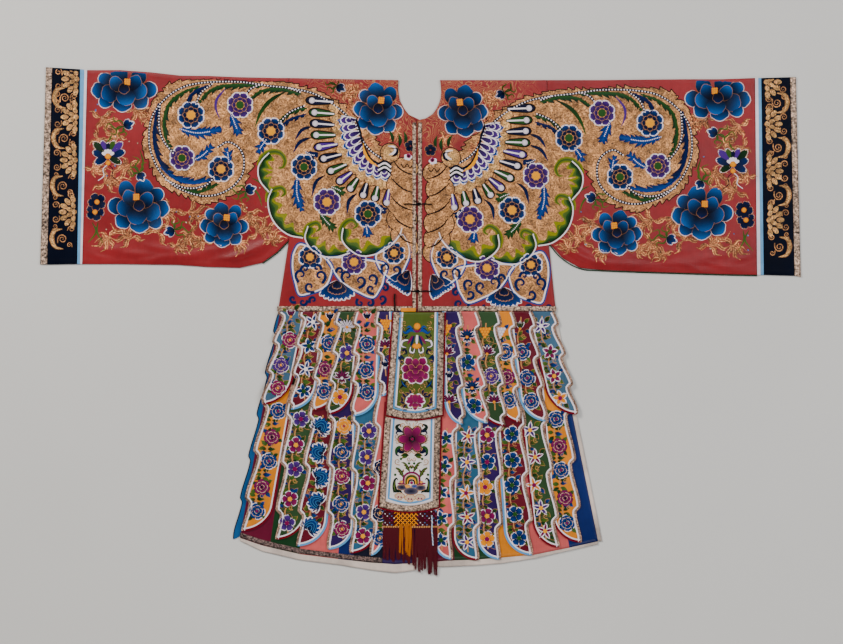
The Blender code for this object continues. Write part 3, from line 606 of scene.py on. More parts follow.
# The cotton's strong patchy tone is painted shade of the soft folds of the hem and side bands.
COTTON = satin("white cotton", dye(206, 192, 182), 0.10, 0.34, 0.8, 0.0)
ORANGE = satin("orange satin", dye(222, 150, 30))
SATINS = {
    "purple": satin("dark purple satin", dye(58, 18, 96)),
    "pink": satin("salmon pink satin", dye(204, 108, 106)),
    "green": satin("green satin", dye(58, 86, 52)),
    "yellow": satin("yellow satin", dye(216, 142, 14)),
    "crimson": satin("crimson satin", dye(112, 4, 44)),
    "grey_blue": satin("grey blue satin", dye(78, 112, 134)),
    "teal": satin("teal satin", dye(58, 106, 132)),
    "blue": satin("blue satin", dye(16, 98, 146)),
    "panel_green": satin("moss green satin", dye(94, 108, 40)),
    "panel_white": satin("white panel satin", dye(226, 218, 214)),
    "gore_green": satin("deep green gore", dye(34, 78, 44)),
    "gore_crimson": satin("crimson gore", dye(116, 14, 60)),
    "gore_blue": satin("royal blue gore", dye(18, 48, 112)),
    "gore_navy": satin("navy gore", dye(18, 24, 52)),
}
SILK = silk()
GOLD_GROUND = gold("couched gold ground", 92.0)
GOLD_THREAD = gold("gold thread", 200.0)
METAL_BRAID = braid("woven metal braid", dye(206, 180, 160), dye(56, 42, 38))
HEM_BRAID = braid("dark woven metal braid", dye(140, 118, 112), dye(34, 26, 30))
BLACK_CORD = strands("black cord", dye(22, 20, 22))
GREEN_PIPING = strands("green piping", dye(30, 74, 48))
MAROON = strands("maroon silk", MAROON_DYE)
YELLOW_SILK = strands("yellow silk", dye(186, 116, 6))


# Sleeves, cuffs and body

class Station(NamedTuple):
    """One line across a sleeve, from its fold at the top to its lower edge."""
    top_x: float
    top_y: float
    low_x: float
    low_y: float


SLEEVE_LEFT = (
    Station(-800, 606, -812, 140), Station(-721, 606, -726, 140), Station(-649, 601, -654, 139),
    Station(-577, 593, -582, 138), Station(-505, 592, -510, 133), Station(-433, 589, -433, 131),
    Station(-380, 588, -380, 143), Station(-344, 587, -344, 169), Station(-316, 587, -316, 198),
)
SLEEVE_RIGHT = (
    Station(304, 582, 308, 191), Station(340, 582, 340, 155), Station(378, 582, 383, 131),
    Station(431, 582, 431, 126), Station(527, 583, 527, 122), Station(623, 584, 623, 119),
    Station(719, 584, 719, 116), Station(803, 587, 808, 114),
)
CUFF_LEFT = (Station(-899, 613, -913, 139), Station(-884, 612, -896, 139), Station(-817, 608, -824, 140))
CUFF_RIGHT = (Station(818, 587, 824, 114), Station(887, 589, 898, 112), Station(901, 589, 913, 109))
STRIPE_SHARE = 0.52
CLOTH_STEP = 4.2
FOLD_ANGLES = (-60.0, -30.0, 0.0, 30.0, 60.0)


def between(stations, spacing):
    """Stations at an even spacing along a sleeve."""
    table = np.asarray(stations, dtype=float)
    count = max(2, int(round(abs(table[-1, 0] - table[0, 0]) / spacing)) + 1)
    places = np.linspace(0.0, 1.0, count)
    own = (table[:, 0] - table[0, 0]) / (table[-1, 0] - table[0, 0])
    return np.stack([np.interp(places, own, table[:, k]) for k in range(4)], axis=1)


def tube_grid(stations, spacing):
    """Points round a flat laid tube: underside, top fold, upper side and lower fold."""
    lines = between(stations, spacing)
    lines[0, (0, 2)] += SEAM / 2
    lines[-1, (0, 2)] -= SEAM / 2
    top = lines[:, :2]
    low = lines[:, 2:]
    span = np.linalg.norm(top - low, axis=1, keepdims=True)
    along = (top - low) / span
    rows = []

    def row(distance, height):
        place = low + along * distance
        z = height(place[:, 0], place[:, 1]) if callable(height) else np.full(len(place), height)
        rows.append(np.column_stack([place, z]))

    for share in (0.0, 0.25, 0.5, 0.75, 1.0):
        row(FOLD_RADIUS + share * (span - 2.0 * FOLD_RADIUS), 0.0)
    for angle in np.radians(FOLD_ANGLES):
        row(span - FOLD_RADIUS * (1.0 - math.cos(angle)), FOLD_RADIUS * (1.0 + math.sin(angle)))
    row(span - FOLD_RADIUS, 2.0 * FOLD_RADIUS)
    length = float(span.max())
    for distance in np.linspace(length - 12.0, 12.0, int(length / spacing)):
        row(distance * span / length, front_z)
    row(FOLD_RADIUS, 2.0 * FOLD_RADIUS)
    for angle in np.radians(FOLD_ANGLES[::-1]):
        row(FOLD_RADIUS * (1.0 - math.cos(angle)), FOLD_RADIUS * (1.0 + math.sin(angle)))
    return np.stack(rows)


def tube_cut(grid):
    """A tube's flat size when its lower seam is opened: its length and its full round."""
    across = length_of(grid[:, 0])
    length = float(abs(grid[0, -1, 0] - grid[0, 0, 0]))
    return (length * MM, across * MM)


def lay_tube(name, stations, finishes, slot_name, node, gores=None, spacing=CLOTH_STEP):
    grid = tube_grid(stations, spacing)
    if gores is not None:
        gores = [0 if k < gores * (grid.shape[1] - 1) else 1 for k in range(grid.shape[1] - 1)]
    piece = lay_cloth(name, grid, finishes, slot_name, (node,), ring=True, gores=gores)
    tube_cut(grid)
    return piece


def make_sleeves():
    lay_tube("sleeve_left_satin", SLEEVE_LEFT, [RED], "red_satin", "sleeve_left")
    lay_tube("sleeve_right_satin", SLEEVE_RIGHT, [RED], "red_satin", "sleeve_right")
    lay_tube("cuff_left_satin", CUFF_LEFT[1:], [NAVY_SATIN], "navy_satin", "cuff_left")
    lay_tube("cuff_right_satin", CUFF_RIGHT[:2], [NAVY_SATIN], "navy_satin", "cuff_right")
    lay_tube("cuff_stripes_left", (CUFF_LEFT[2], SLEEVE_LEFT[0]), [STRIPE_BLUE, STRIPE_WHITE],
             "stripe_satin", "cuff_stripe_left", STRIPE_SHARE, spacing=1.7)
    lay_tube("cuff_stripes_right", (SLEEVE_RIGHT[-1], CUFF_RIGHT[0]), [STRIPE_WHITE, STRIPE_BLUE],
             "stripe_satin", "cuff_stripe_right", 1.0 - STRIPE_SHARE, spacing=1.5)
    lay_tube("cuff_braid_band_left", CUFF_LEFT[:2], [METAL_BRAID], "metal_braid", "cuff_braid_left",
             spacing=3.0)
    lay_tube("cuff_braid_band_right", CUFF_RIGHT[1:], [METAL_BRAID], "metal_braid", "cuff_braid_right",
             spacing=3.0)


class BodyRow(NamedTuple):
    """A level of the body: height at the side, the edges at centre front and centre back, height there."""
    side_y: float
    front_x: float
    back_x: float
    centre_y: float


BODY_LEFT_ROWS = (
    BodyRow(587, -53, -53, 582), BodyRow(553, -54, -54, 558), BodyRow(532, -50, -50, 534),
    BodyRow(515, -42, -42, 517), BodyRow(500, -32, -32, 503), BodyRow(488, -20, -20, 491),
    BodyRow(482, -9.4, -0.2, 486), BodyRow(390, -9.4, -0.2, 390), BodyRow(198, -9.4, -0.2, 198),
    BodyRow(126, -9.4, -0.2, 126), BodyRow(28.2, -9.4, -0.2, 28.2),
)
BODY_RIGHT_ROWS = (
    BodyRow(582, 47, 47, 582), BodyRow(555, 50, 50, 556), BodyRow(532, 48, 48, 534),
    BodyRow(515, 40, 40, 515), BodyRow(500, 29, 29, 500), BodyRow(488, 13, 13, 490),
    BodyRow(482, -6.2, 0.2, 486), BodyRow(390, -6.2, 0.2, 390), BodyRow(191, -6.2, 0.2, 191),
    BodyRow(131, -6.2, 0.2, 131), BodyRow(28.2, -6.2, 0.2, 28.2),
)
FRONT_START = 10.0
SIDE_LEFT = ((-316, 587), (-316, 198), (-342, 28.2))
SIDE_RIGHT = ((304, 582), (308, 191), (325, 28.2))


def side_at(side, y):
    """Where a side seam, listed from the top down, passes a height."""
    points = np.asarray(side, dtype=float)
    return np.interp(-np.asarray(y, dtype=float), -points[:, 1], points[:, 0])


def finer(table, spacing):
    """The levels of a body's half at an even spacing, with every listed level kept."""
    rows = [table[0]]
    for first, last in zip(table, table[1:]):
        count = max(1, int(round(abs(first.side_y - last.side_y) / spacing)))
        for k in range(1, count + 1):
            rows.append(BodyRow(*(mix(a, b, k / count) for a, b in zip(first, last))))
    return rows


def body_grid(table, side, hand):
    """Half of the body: back, fold over the shoulder and front in one length of satin."""
    columns = np.linspace(0.0, 1.0, 48)

    def row(level, edge, shift, height):
        side_x = float(side_at(side, level.side_y)) - hand * SEAM
        x = mix(side_x, edge, columns)
        y = mix(level.side_y, level.centre_y, columns) - shift
        z = height(x, y) if callable(height) else np.full(len(x), height)
        points = np.column_stack([x, y, z])
        return points if hand < 0 else points[::-1]

    shoulder = table[0]
    fine = finer(table, CLOTH_STEP)[1:]
    grid = [row(level, level.back_x, 0.0, 0.0) for level in reversed(fine[::3])]
    grid.append(row(shoulder, shoulder.back_x, FOLD_RADIUS, 0.0))
    for angle in np.radians(FOLD_ANGLES):
        height = FOLD_RADIUS * (1.0 + math.sin(angle))
        grid.append(row(shoulder, shoulder.front_x, FOLD_RADIUS * (1.0 - math.cos(angle)), height))
    grid.append(row(shoulder, shoulder.front_x, FOLD_RADIUS, 2.0 * FOLD_RADIUS))
    front = [level for level in fine if shoulder.side_y - level.side_y > FRONT_START]
    grid += [row(level, level.front_x, 0.0, front_z) for level in front]
    return np.stack(grid)


def grid_area(grid):
    """The cloth in a grid of points, in square metres."""
    first = grid[1:, 1:] - grid[:-1, :-1]
    second = grid[1:, :-1] - grid[:-1, 1:]
    return float(np.linalg.norm(np.cross(first, second), axis=2).sum() / 2.0) * MM * MM


def lay_panel(name, grid, finishes, slot_name, node, gores=None, wall=THIN, cut=None):
    """A laid panel of cloth, with the size of the rectangle that it is cut from worked out."""
    grid = np.asarray(grid, dtype=float)
    piece = lay_cloth(name, grid, finishes, slot_name, node, wall=wall, gores=gores)
    width = float(np.ptp(grid[..., 0])) * MM
    length = float(np.ptp(grid[..., 1])) * MM
    if cut:
        width, length = cut
    area = min(grid_area(grid), width * length)
    return piece


def make_body():
    halves = (
        ("left", BODY_LEFT_ROWS, SIDE_LEFT, -1, (0.342, 1.12)),
        ("right", BODY_RIGHT_ROWS, SIDE_RIGHT, 1, (0.332, 1.11)),
    )
    for word, table, side, hand, cut in halves:
        grid = body_grid(table, side, hand)
        lay_panel(f"body_{word}_satin", grid, [RED], "red_satin", (f"body_{word}",), cut=cut)


# Skirt

class HemPoint(NamedTuple):
    """A point along the hem: across, the panel's lower edge, and the hem band's lower edge."""
    x: float
    panel_y: float
    band_y: float


HEM_LEFT = (
    HemPoint(-433, -517, -524), HemPoint(-380, -535, -549), HemPoint(-289, -556, -570),
    HemPoint(-193, -568, -582), HemPoint(-121, -576, -594), HemPoint(-61, -580, -601),
    HemPoint(-13, -577, -595),
)
HEM_RIGHT = (
    HemPoint(20, -575, -587), HemPoint(71, -571, -586), HemPoint(133, -569, -583),
    HemPoint(196, -564, -578), HemPoint(275, -557, -566), HemPoint(354, -541, -548),
    HemPoint(426, -525, -532),
)
HEM_BACK = (
    (-417, -515), (-289, -546), (-193, -560), (-97, -566),
    (4, -564), (133, -556), (275, -544), (424, -512),
)
SKIRT_TOP = 27.9
SKIRT_LEFT_TOP = (-337, -8.6)
SKIRT_RIGHT_TOP = (1.2, 314)
SKIRT_BACK_TOP = (-311, 318)
SIDE_BAND_WIDTH = 9.6
SIDE_BAND_CUT = (0.0115, 0.565)
HEM_BRAID_WIDTH = 12.0
HEM_BRAID_RISE = 1.4
HEM_BRAID_END = -92.0
# Shares of a narrow band's breadth at which its rows lie
BAND_SHARES = (0.0, 0.25, 0.5, 0.75, 1.0)


class Gore(NamedTuple):
    """A gore of the skirt: its satin, and how far across the hem it reaches."""
    satin: str
    reach: float


GORES_LEFT = (
    Gore("gore_crimson", 0.176), Gore("gore_green", 0.343), Gore("pink", 0.56),
    Gore("gore_blue", 0.645), Gore("gore_navy", 0.817), Gore("purple", 1.0),
)
GORES_RIGHT = (
    Gore("gore_crimson", 0.155), Gore("gore_green", 0.42), Gore("yellow", 0.61),
    Gore("pink", 0.823), Gore("gore_blue", 1.0),
)


def hem_curve(points, x):
    table = np.asarray(points, dtype=float)
    return np.interp(x, table[:, 0], table[:, 1])


def skirt_grid(top, hem, layer, columns=60, rows=60):
    """A flared panel from the waist to a curved hem."""
    share = np.linspace(0.0, 1.0, columns)
    low_x = mix(hem[0][0], hem[-1][0], share)
    low_y = hem_curve(hem, low_x)
    top_x = mix(top[0], top[1], share)
    grid = []
    for down in np.linspace(0.0, 1.0, rows):
        x = mix(top_x, low_x, down)
        y = mix(SKIRT_TOP, low_y, down)
        grid.append(np.column_stack([x, y, layer + CLOTH + 0.15 * np.sin(x / 17.0 + y / 90.0)]))
    return np.stack(grid)


def lay_gores(word, top, hem, gores):
    """A front panel of the skirt, its columns of cloth shared out among the gores."""
    grid = skirt_grid(top, [(p.x, p.panel_y) for p in hem], FRONT_LAYER)
    middles = (np.arange(grid.shape[1] - 1) + 0.5) / (grid.shape[1] - 1)
    which = [sum(middle > gore.reach for gore in gores) for middle in middles]
    lay_panel(f"skirt_{word}_gores", grid, [SATINS[gore.satin] for gore in gores], "gore_satin",
              (f"skirt_{word}",), gores=which)


def lay_hem_band(word, hem):
    """The cotton band along a hem, cut a little longer than it lies."""
    x = np.linspace(hem[0].x, hem[-1].x, 90)
    panel_y = np.interp(x, [p.x for p in hem], [p.panel_y for p in hem]) - SEAM
    band_y = np.interp(x, [p.x for p in hem], [p.band_y for p in hem])
    ripple = 0.2 * np.sin(x / 9.0 + 2.0 * np.sin(x / 37.0))
    rows = [np.column_stack([x, mix(panel_y, band_y, share), FLAT_TOP + ripple]) for share in BAND_SHARES]
    cut = (float(np.ptp(x)) * MM * 1.02, float((panel_y - band_y).max()) * MM)
    lay_panel(f"hem_band_{word}_cotton", rows, [COTTON], "white_cotton", (f"hem_band_{word}",),
              cut=cut)


def lay_side_band():
    """The cotton band down the skirt's right side."""
    end = HEM_RIGHT[-1]
    down = np.linspace(0.0, 1.0, 70)[:, None]
    inner = mix(SKIRT_RIGHT_TOP[1] + SEAM, end.x + SEAM, down)
    x = inner + SIDE_BAND_WIDTH * np.linspace(0.0, 1.0, 4)[None, :]
    y = mix(SKIRT_TOP, end.panel_y, down) + 0.0 * x
    grid = np.stack([x, y, FLAT_TOP + 0.15 * np.sin(y / 13.0)], axis=-1)
    lay_panel("side_band_cotton", grid, [COTTON], "white_cotton", ("side_band_right",),
              cut=SIDE_BAND_CUT)


def make_skirt():
    back = skirt_grid(SKIRT_BACK_TOP, HEM_BACK, BACK_LAYER, 40, 12)
    back[..., 2] = CLOTH
    lay_panel("skirt_back_satin", back, [PLAIN_RED], "back_satin", ("skirt_back",), wall=CLOTH)
    lay_gores("left", SKIRT_LEFT_TOP, HEM_LEFT, GORES_LEFT)
    lay_hem_band("left", HEM_LEFT)
    lay_gores("right", SKIRT_RIGHT_TOP, HEM_RIGHT, GORES_RIGHT)
    lay_hem_band("right", HEM_RIGHT)
    lay_side_band()


# Streamers

UPPER_TIER_TOP = 26.4
LOWER_TIER_TOP = -150.0
TIER_RISE = 3.8
TIER_RISE_START = -50.0
TIER_RISE_END = -112.0
UPPER_SCALLOPS = {-1: 69.0, 1: 72.0}
LOWER_SCALLOPS = {-1: 114.0, 1: 115.0}
SIDE_SCALLOP = 100.0
SIDE_STREAMER_TOP = 23.0
SCALLOP_DEPTH = 12.0
SIDE_SCALLOP_DEPTH = 7.0
SCALLOP_CREST = 0.86
OUTERMOST_OVERLAP = 8.0
TIP_LENGTH = 60.0
TIP_BLUNT = 1.6
STREAMER_WALL = 0.8
STREAMER_TURN_IN = 10.0


class Streamer(NamedTuple):
    """A streamer: colour, its scalloped edge at the top, its tip, its breadth, and its first notch."""
    colour: str
    edge_top: float
    tip_x: float
    tip_y: float
    width: float
    first_notch: float


# Streamers run from the centre out to the side
UPPER_LEFT = (
    Streamer("purple", -106, -95, -176, 38, -13), Streamer("pink", -156, -163, -224, 60, -13),
    Streamer("green", -199, -223, -220, 56, -11), Streamer("yellow", -242, -258, -210, 56, -4),
    Streamer("crimson", -285, -312, -208, 57, 6), Streamer("grey_blue", -334, -379, -196, 60, 13),
)
UPPER_RIGHT = (
    Streamer("purple", 96, 102, -244, 43, -17), Streamer("pink", 137, 162, -241, 56, -18),
    Streamer("green", 186, 203, -248, 60, -13), Streamer("yellow", 222, 239, -239, 52, -18),
    Streamer("crimson", 268, 301, -236, 56, -18), Streamer("grey_blue", 318, 376, -220, 62, -13),
)
LOWER_LEFT = (
    Streamer("pink", -104, -120, -558, 34, -141), Streamer("teal", -157, -168, -553, 62, -136),
    Streamer("purple", -215, -222, -544, 61, -125), Streamer("crimson", -256, -296, -536, 66, -124),
    Streamer("green", -312, -347, -520, 66, -121), Streamer("yellow", -366, -428, -500, 65, -93),
)
LOWER_RIGHT = (
    Streamer("pink", 93, 75, -568, 48, -152), Streamer("teal", 143, 138, -570, 62, -153),
    Streamer("purple", 193, 190, -568, 56, -152), Streamer("crimson", 240, 268, -558, 63, -143),
    Streamer("green", 291, 333, -539, 57, -135), Streamer("yellow", 349, 385, -527, 62, -111),
)
SIDE_STREAMER = Streamer("blue", -342, -450, -520, 30, -33)
SATIN_SLOTS = {
    "purple": "purple_satin", "pink": "pink_satin", "green": "green_satin", "yellow": "yellow_satin",
    "crimson": "crimson_satin", "grey_blue": "greyblue_satin", "teal": "teal_satin", "blue": "blue_satin",
}


def tier_lift(y):
    """How far the upper tier has risen over the lower one at a height on the skirt."""
    return TIER_RISE * smooth((TIER_RISE_START - y) / (TIER_RISE_START - TIER_RISE_END))


def scallop(y, first_notch, period):
    """The scalloped edge, from -0.5 in a notch to 0.5 at a crest: a slow swell and a quick return."""
    phase = ((first_notch - y) / period) % 1.0
    swell = -0.5 * np.cos(np.pi * phase / SCALLOP_CREST)
    back = 0.5 * np.cos(np.pi * (phase - SCALLOP_CREST) / (1.0 - SCALLOP_CREST))
    return np.where(phase < SCALLOP_CREST, swell, back)


class Tier(NamedTuple):
    """What the streamers of one tier share: side, top, scallops, lift and layer."""
    hand: int
    top_y: float
    period: float
    depth: float
    rises: bool
    leans: bool
    layer: float


UPPER_TIERS = {hand: Tier(hand, UPPER_TIER_TOP, UPPER_SCALLOPS[hand], SCALLOP_DEPTH, True, True, TRIM_LAYER)
               for hand in (-1, 1)}
LOWER_TIERS = {hand: Tier(hand, LOWER_TIER_TOP, LOWER_SCALLOPS[hand], SCALLOP_DEPTH, False, True, TRIM_LAYER)
               for hand in (-1, 1)}
SIDE_TIER = Tier(-1, SIDE_STREAMER_TOP, SIDE_SCALLOP, SIDE_SCALLOP_DEPTH, False, False, BACK_LAYER)


class LaidStreamer:
    """One streamer as it lies: its two edges down its length, and its height at any point."""

    def __init__(self, row, outer_row, tier):
        self.row = row
        self.outer_row = outer_row
        self.tier = tier

    def edge_line(self, item, y):
        return mix(item.edge_top, item.tip_x, (self.tier.top_y - y) / (self.tier.top_y - item.tip_y))

    def inner_line(self, item, y):
        return self.edge_line(item, y) - self.tier.hand * item.width

    def edges(self, y):
        """The straight inner edge, which rounds into the tip, and the scalloped outer edge."""
        row, tier = self.row, self.tier
        tip_share = np.clip((row.tip_y + TIP_LENGTH - y) / TIP_LENGTH, 0.0, 1.0)
        wave = tier.depth * scallop(y, row.first_notch, tier.period) * (1.0 - tip_share ** 4)
        breadth = np.maximum(TIP_BLUNT, row.width * np.sqrt(np.maximum(0.0, 1.0 - tip_share ** 2)))
        line = self.edge_line(row, y)
        return line - tier.hand * breadth, line + tier.hand * wave

    def height(self, x, y):
        row, tier = self.row, self.tier
        z = tier.layer + CLOTH + 0.0 * x
        root = self.inner_line(row, y)
        if tier.leans:
            if self.outer_row:
                pitch = tier.hand * (self.inner_line(self.outer_row, y) - root)
            else:
                pitch = row.width - OUTERMOST_OVERLAP
            z = z + SHINGLE_RISE * tier.hand * (x - root) / pitch
            share = np.clip(tier.hand * (x - root) / row.width, 0.0, 1.0)
            z = z + 0.5 * np.sin(np.pi * share) + 0.18 * np.sin(y / 13.0 + row.tip_x) * share
        else:
            z = z + 0.35 * np.sin(y / 11.0)
        if tier.rises:
            z = z + tier_lift(y)
        return z

    def levels(self, spacing=4.0):
        row, tier = self.row, self.tier
        start = row.tip_y + TIP_LENGTH
        straight = np.arange(tier.top_y, start, -spacing)
        rounded = start - TIP_LENGTH * np.sin(np.linspace(0.0, 0.5 * np.pi, 20))
        return np.concatenate([straight, rounded])

    def grid(self):
        y = self.levels()
        inner, outer = self.edges(y)
        share = np.linspace(0.0, 1.0, 9)
        x = inner[:, None] + (outer - inner)[:, None] * share[None, :]
        if self.tier.hand < 0:
            x = x[:, ::-1]
        rows = np.broadcast_to(y[:, None], x.shape)
        return np.stack([x, rows, self.height(x, rows)], axis=-1)


def each_streamer():
    """Every streamer as it lies, with its node's name."""
    halves = (("left", -1, UPPER_LEFT, LOWER_LEFT), ("right", 1, UPPER_RIGHT, LOWER_RIGHT))
    for word, hand, upper, lower in halves:
        for level, table, tier in (("lower", lower, LOWER_TIERS[hand]), ("upper", upper, UPPER_TIERS[hand])):
            for k, row in enumerate(table):
                outer_row = table[k + 1] if k + 1 < len(table) else None
                yield f"streamer_{level}_{word}_{k + 1}", LaidStreamer(row, outer_row, tier)
    yield "side_streamer_left", LaidStreamer(SIDE_STREAMER, None, SIDE_TIER)


def make_streamers():
    for node, laid in each_streamer():
        row = laid.row
        width = row.width + 2.0 * laid.tier.depth
        length = laid.tier.top_y - row.tip_y + STREAMER_TURN_IN
        lay_panel(node + "_satin", laid.grid(), [SATINS[row.colour]], SATIN_SLOTS[row.colour], (node,),
                  wall=STREAMER_WALL, cut=(width * MM, length * MM))


# Centre panels

class Panel(NamedTuple):
    """A centre panel: its two edges at the top and at the foot, and the sag of its lower edge."""
    top_y: float
    left_top: float
    right_top: float
    foot_y: float
    left_foot: float
    right_foot: float
    sag: float


PANEL_UPPER = Panel(24.6, -68, 61, -225, -86, 56, 10)
PANEL_LOWER = Panel(-190, -86, 52.5, -446, -103, 47, 11)
UPPER_PANEL_LIFT = 2.8
LOWER_PANEL_LAYER = 6.6
NET_LAYER = 6.2
PANEL_EDGE = 4.0
PANEL_BRAID_WIDTH = 14.0
PANEL_COLUMNS = 24
PANEL_ROWS = 50


def upper_panel_z(x, y):
    return TRIM_LAYER + UPPER_PANEL_LIFT + CLOTH + tier_lift(y) + 0.2 * np.sin(y / 19.0 + x / 23.0)


def lower_panel_z(x, y):
    return LOWER_PANEL_LAYER + CLOTH + 0.2 * np.sin(y / 23.0 + x / 19.0 + 1.0)


def panel_edge(panel, share, y):
    down = (panel.top_y - y) / (panel.top_y - panel.foot_y)
    left = mix(panel.left_top, panel.left_foot, down)
    right = mix(panel.right_top, panel.right_foot, down)
    return mix(left, right, share)


def panel_grid(panel, height):
    share = np.linspace(0.0, 1.0, PANEL_COLUMNS)
    grid = []
    for down in np.linspace(0.0, 1.0, PANEL_ROWS):
        y = mix(panel.top_y, panel.foot_y, down)
        level = y - panel.sag * np.sin(np.pi * share) * down
        x = panel_edge(panel, share, y)
        grid.append(np.column_stack([x, level, height(x, level)]))
    return np.stack(grid)


def make_centre_panels():
    lay_panel("centre_panel_lower_satin", panel_grid(PANEL_LOWER, lower_panel_z), [SATINS["panel_white"]],
              "panel_white_satin", ("centre_panel_lower",))
    lay_panel("centre_panel_upper_satin", panel_grid(PANEL_UPPER, upper_panel_z), [SATINS["panel_green"]],
              "panel_green_satin", ("centre_panel_upper",))


# Needlework

FLAT_MAP_CELLS = 3
# Half widths of a round and of a pointed petal at steps from its base to its tip
PETAL_STEPS = (0.0, 0.18, 0.40, 0.62, 0.80, 0.92, 1.0)
PETAL_ROUND = (0.26, 0.58, 0.86, 1.0, 0.96, 0.72, 0.22)
PETAL_POINTED = (0.30, 0.70, 0.98, 0.90, 0.58, 0.26, 0.03)
PETAL_CROWN = 0.24
SCALLOP_CORNERS = 18
DOT_CORNERS = 6
GROUND_LIFT = 0.1
GROUND_STEP = 3.0


def curve(points, spacing=1.2, closed=False):
    """A smooth line through its points, with places at an even spacing."""
    points = np.asarray(points, dtype=float)
    if closed:
        points = np.vstack([points[-1:], points, points[:2]])
    else:
        points = np.vstack([2.0 * points[0] - points[1], points, 2.0 * points[-1] - points[-2]])
    share = np.linspace(0.0, 1.0, 9)[:-1, None]
    parts = []
    for a, b, c, d in zip(points, points[1:], points[2:], points[3:]):
        parts.append(0.5 * (2.0 * b + (c - a) * share + (2.0 * a - 5.0 * b + 4.0 * c - d) * share ** 2
                            + (3.0 * b - a - 3.0 * c + d) * share ** 3))
    line = np.vstack(parts + [points[-2:-1]])
    length = run_lengths(line)
    count = max(3, int(round(length[-1] / spacing)) + 1)
    even = np.linspace(0.0, length[-1], count)
    return np.stack([np.interp(even, length, line[:, 0]), np.interp(even, length, line[:, 1])], axis=1)


def side_of(line):
    """The direction to the left of a line at each of its points, down the sheet being +y."""
    run = np.gradient(line, axis=0)
    run = run / np.maximum(np.linalg.norm(run, axis=1, keepdims=True), 1e-9)
    return np.stack([run[:, 1], -run[:, 0]], axis=1)


def widths_along(width, count):
    """A width, or a list of widths from first to last, at each point of a line."""
    keys = np.atleast_1d(np.asarray(width, dtype=float))
    return np.interp(np.linspace(0.0, 1.0, count), np.linspace(0.0, 1.0, len(keys)), keys)


def turned(offsets, angle):
    """Offsets turned by degrees, clockwise on the sheet."""
    turn = math.radians(angle)
    offsets = np.asarray(offsets, dtype=float)
    x = offsets[..., 0] * math.cos(turn) - offsets[..., 1] * math.sin(turn)
    y = offsets[..., 0] * math.sin(turn) + offsets[..., 1] * math.cos(turn)
    return np.stack([x, y], axis=-1)


def ring_faces(corners, rings):
    """Faces of a round shape: triangles about its first point, then quads from ring to ring."""
    k = np.arange(corners)
    after = (k + 1) % corners
    tris = np.stack([np.zeros(corners, dtype=int), 1 + k, 1 + after], axis=1)
    quads = []
    for ring in range(rings - 1):
        inner = 1 + ring * corners
        outer = inner + corners
        quads.append(np.stack([inner + k, outer + k, outer + after, inner + after], axis=1))
    return tris, np.vstack(quads) if quads else None


def dye_points(mesh, colours):
    """Gives each point of a mesh the dye of its thread."""
    layer = mesh.attributes.new("Dye", "FLOAT_COLOR", "POINT")
    layer.data.foreach_set("color", np.column_stack([colours, np.ones(len(colours))]).ravel())


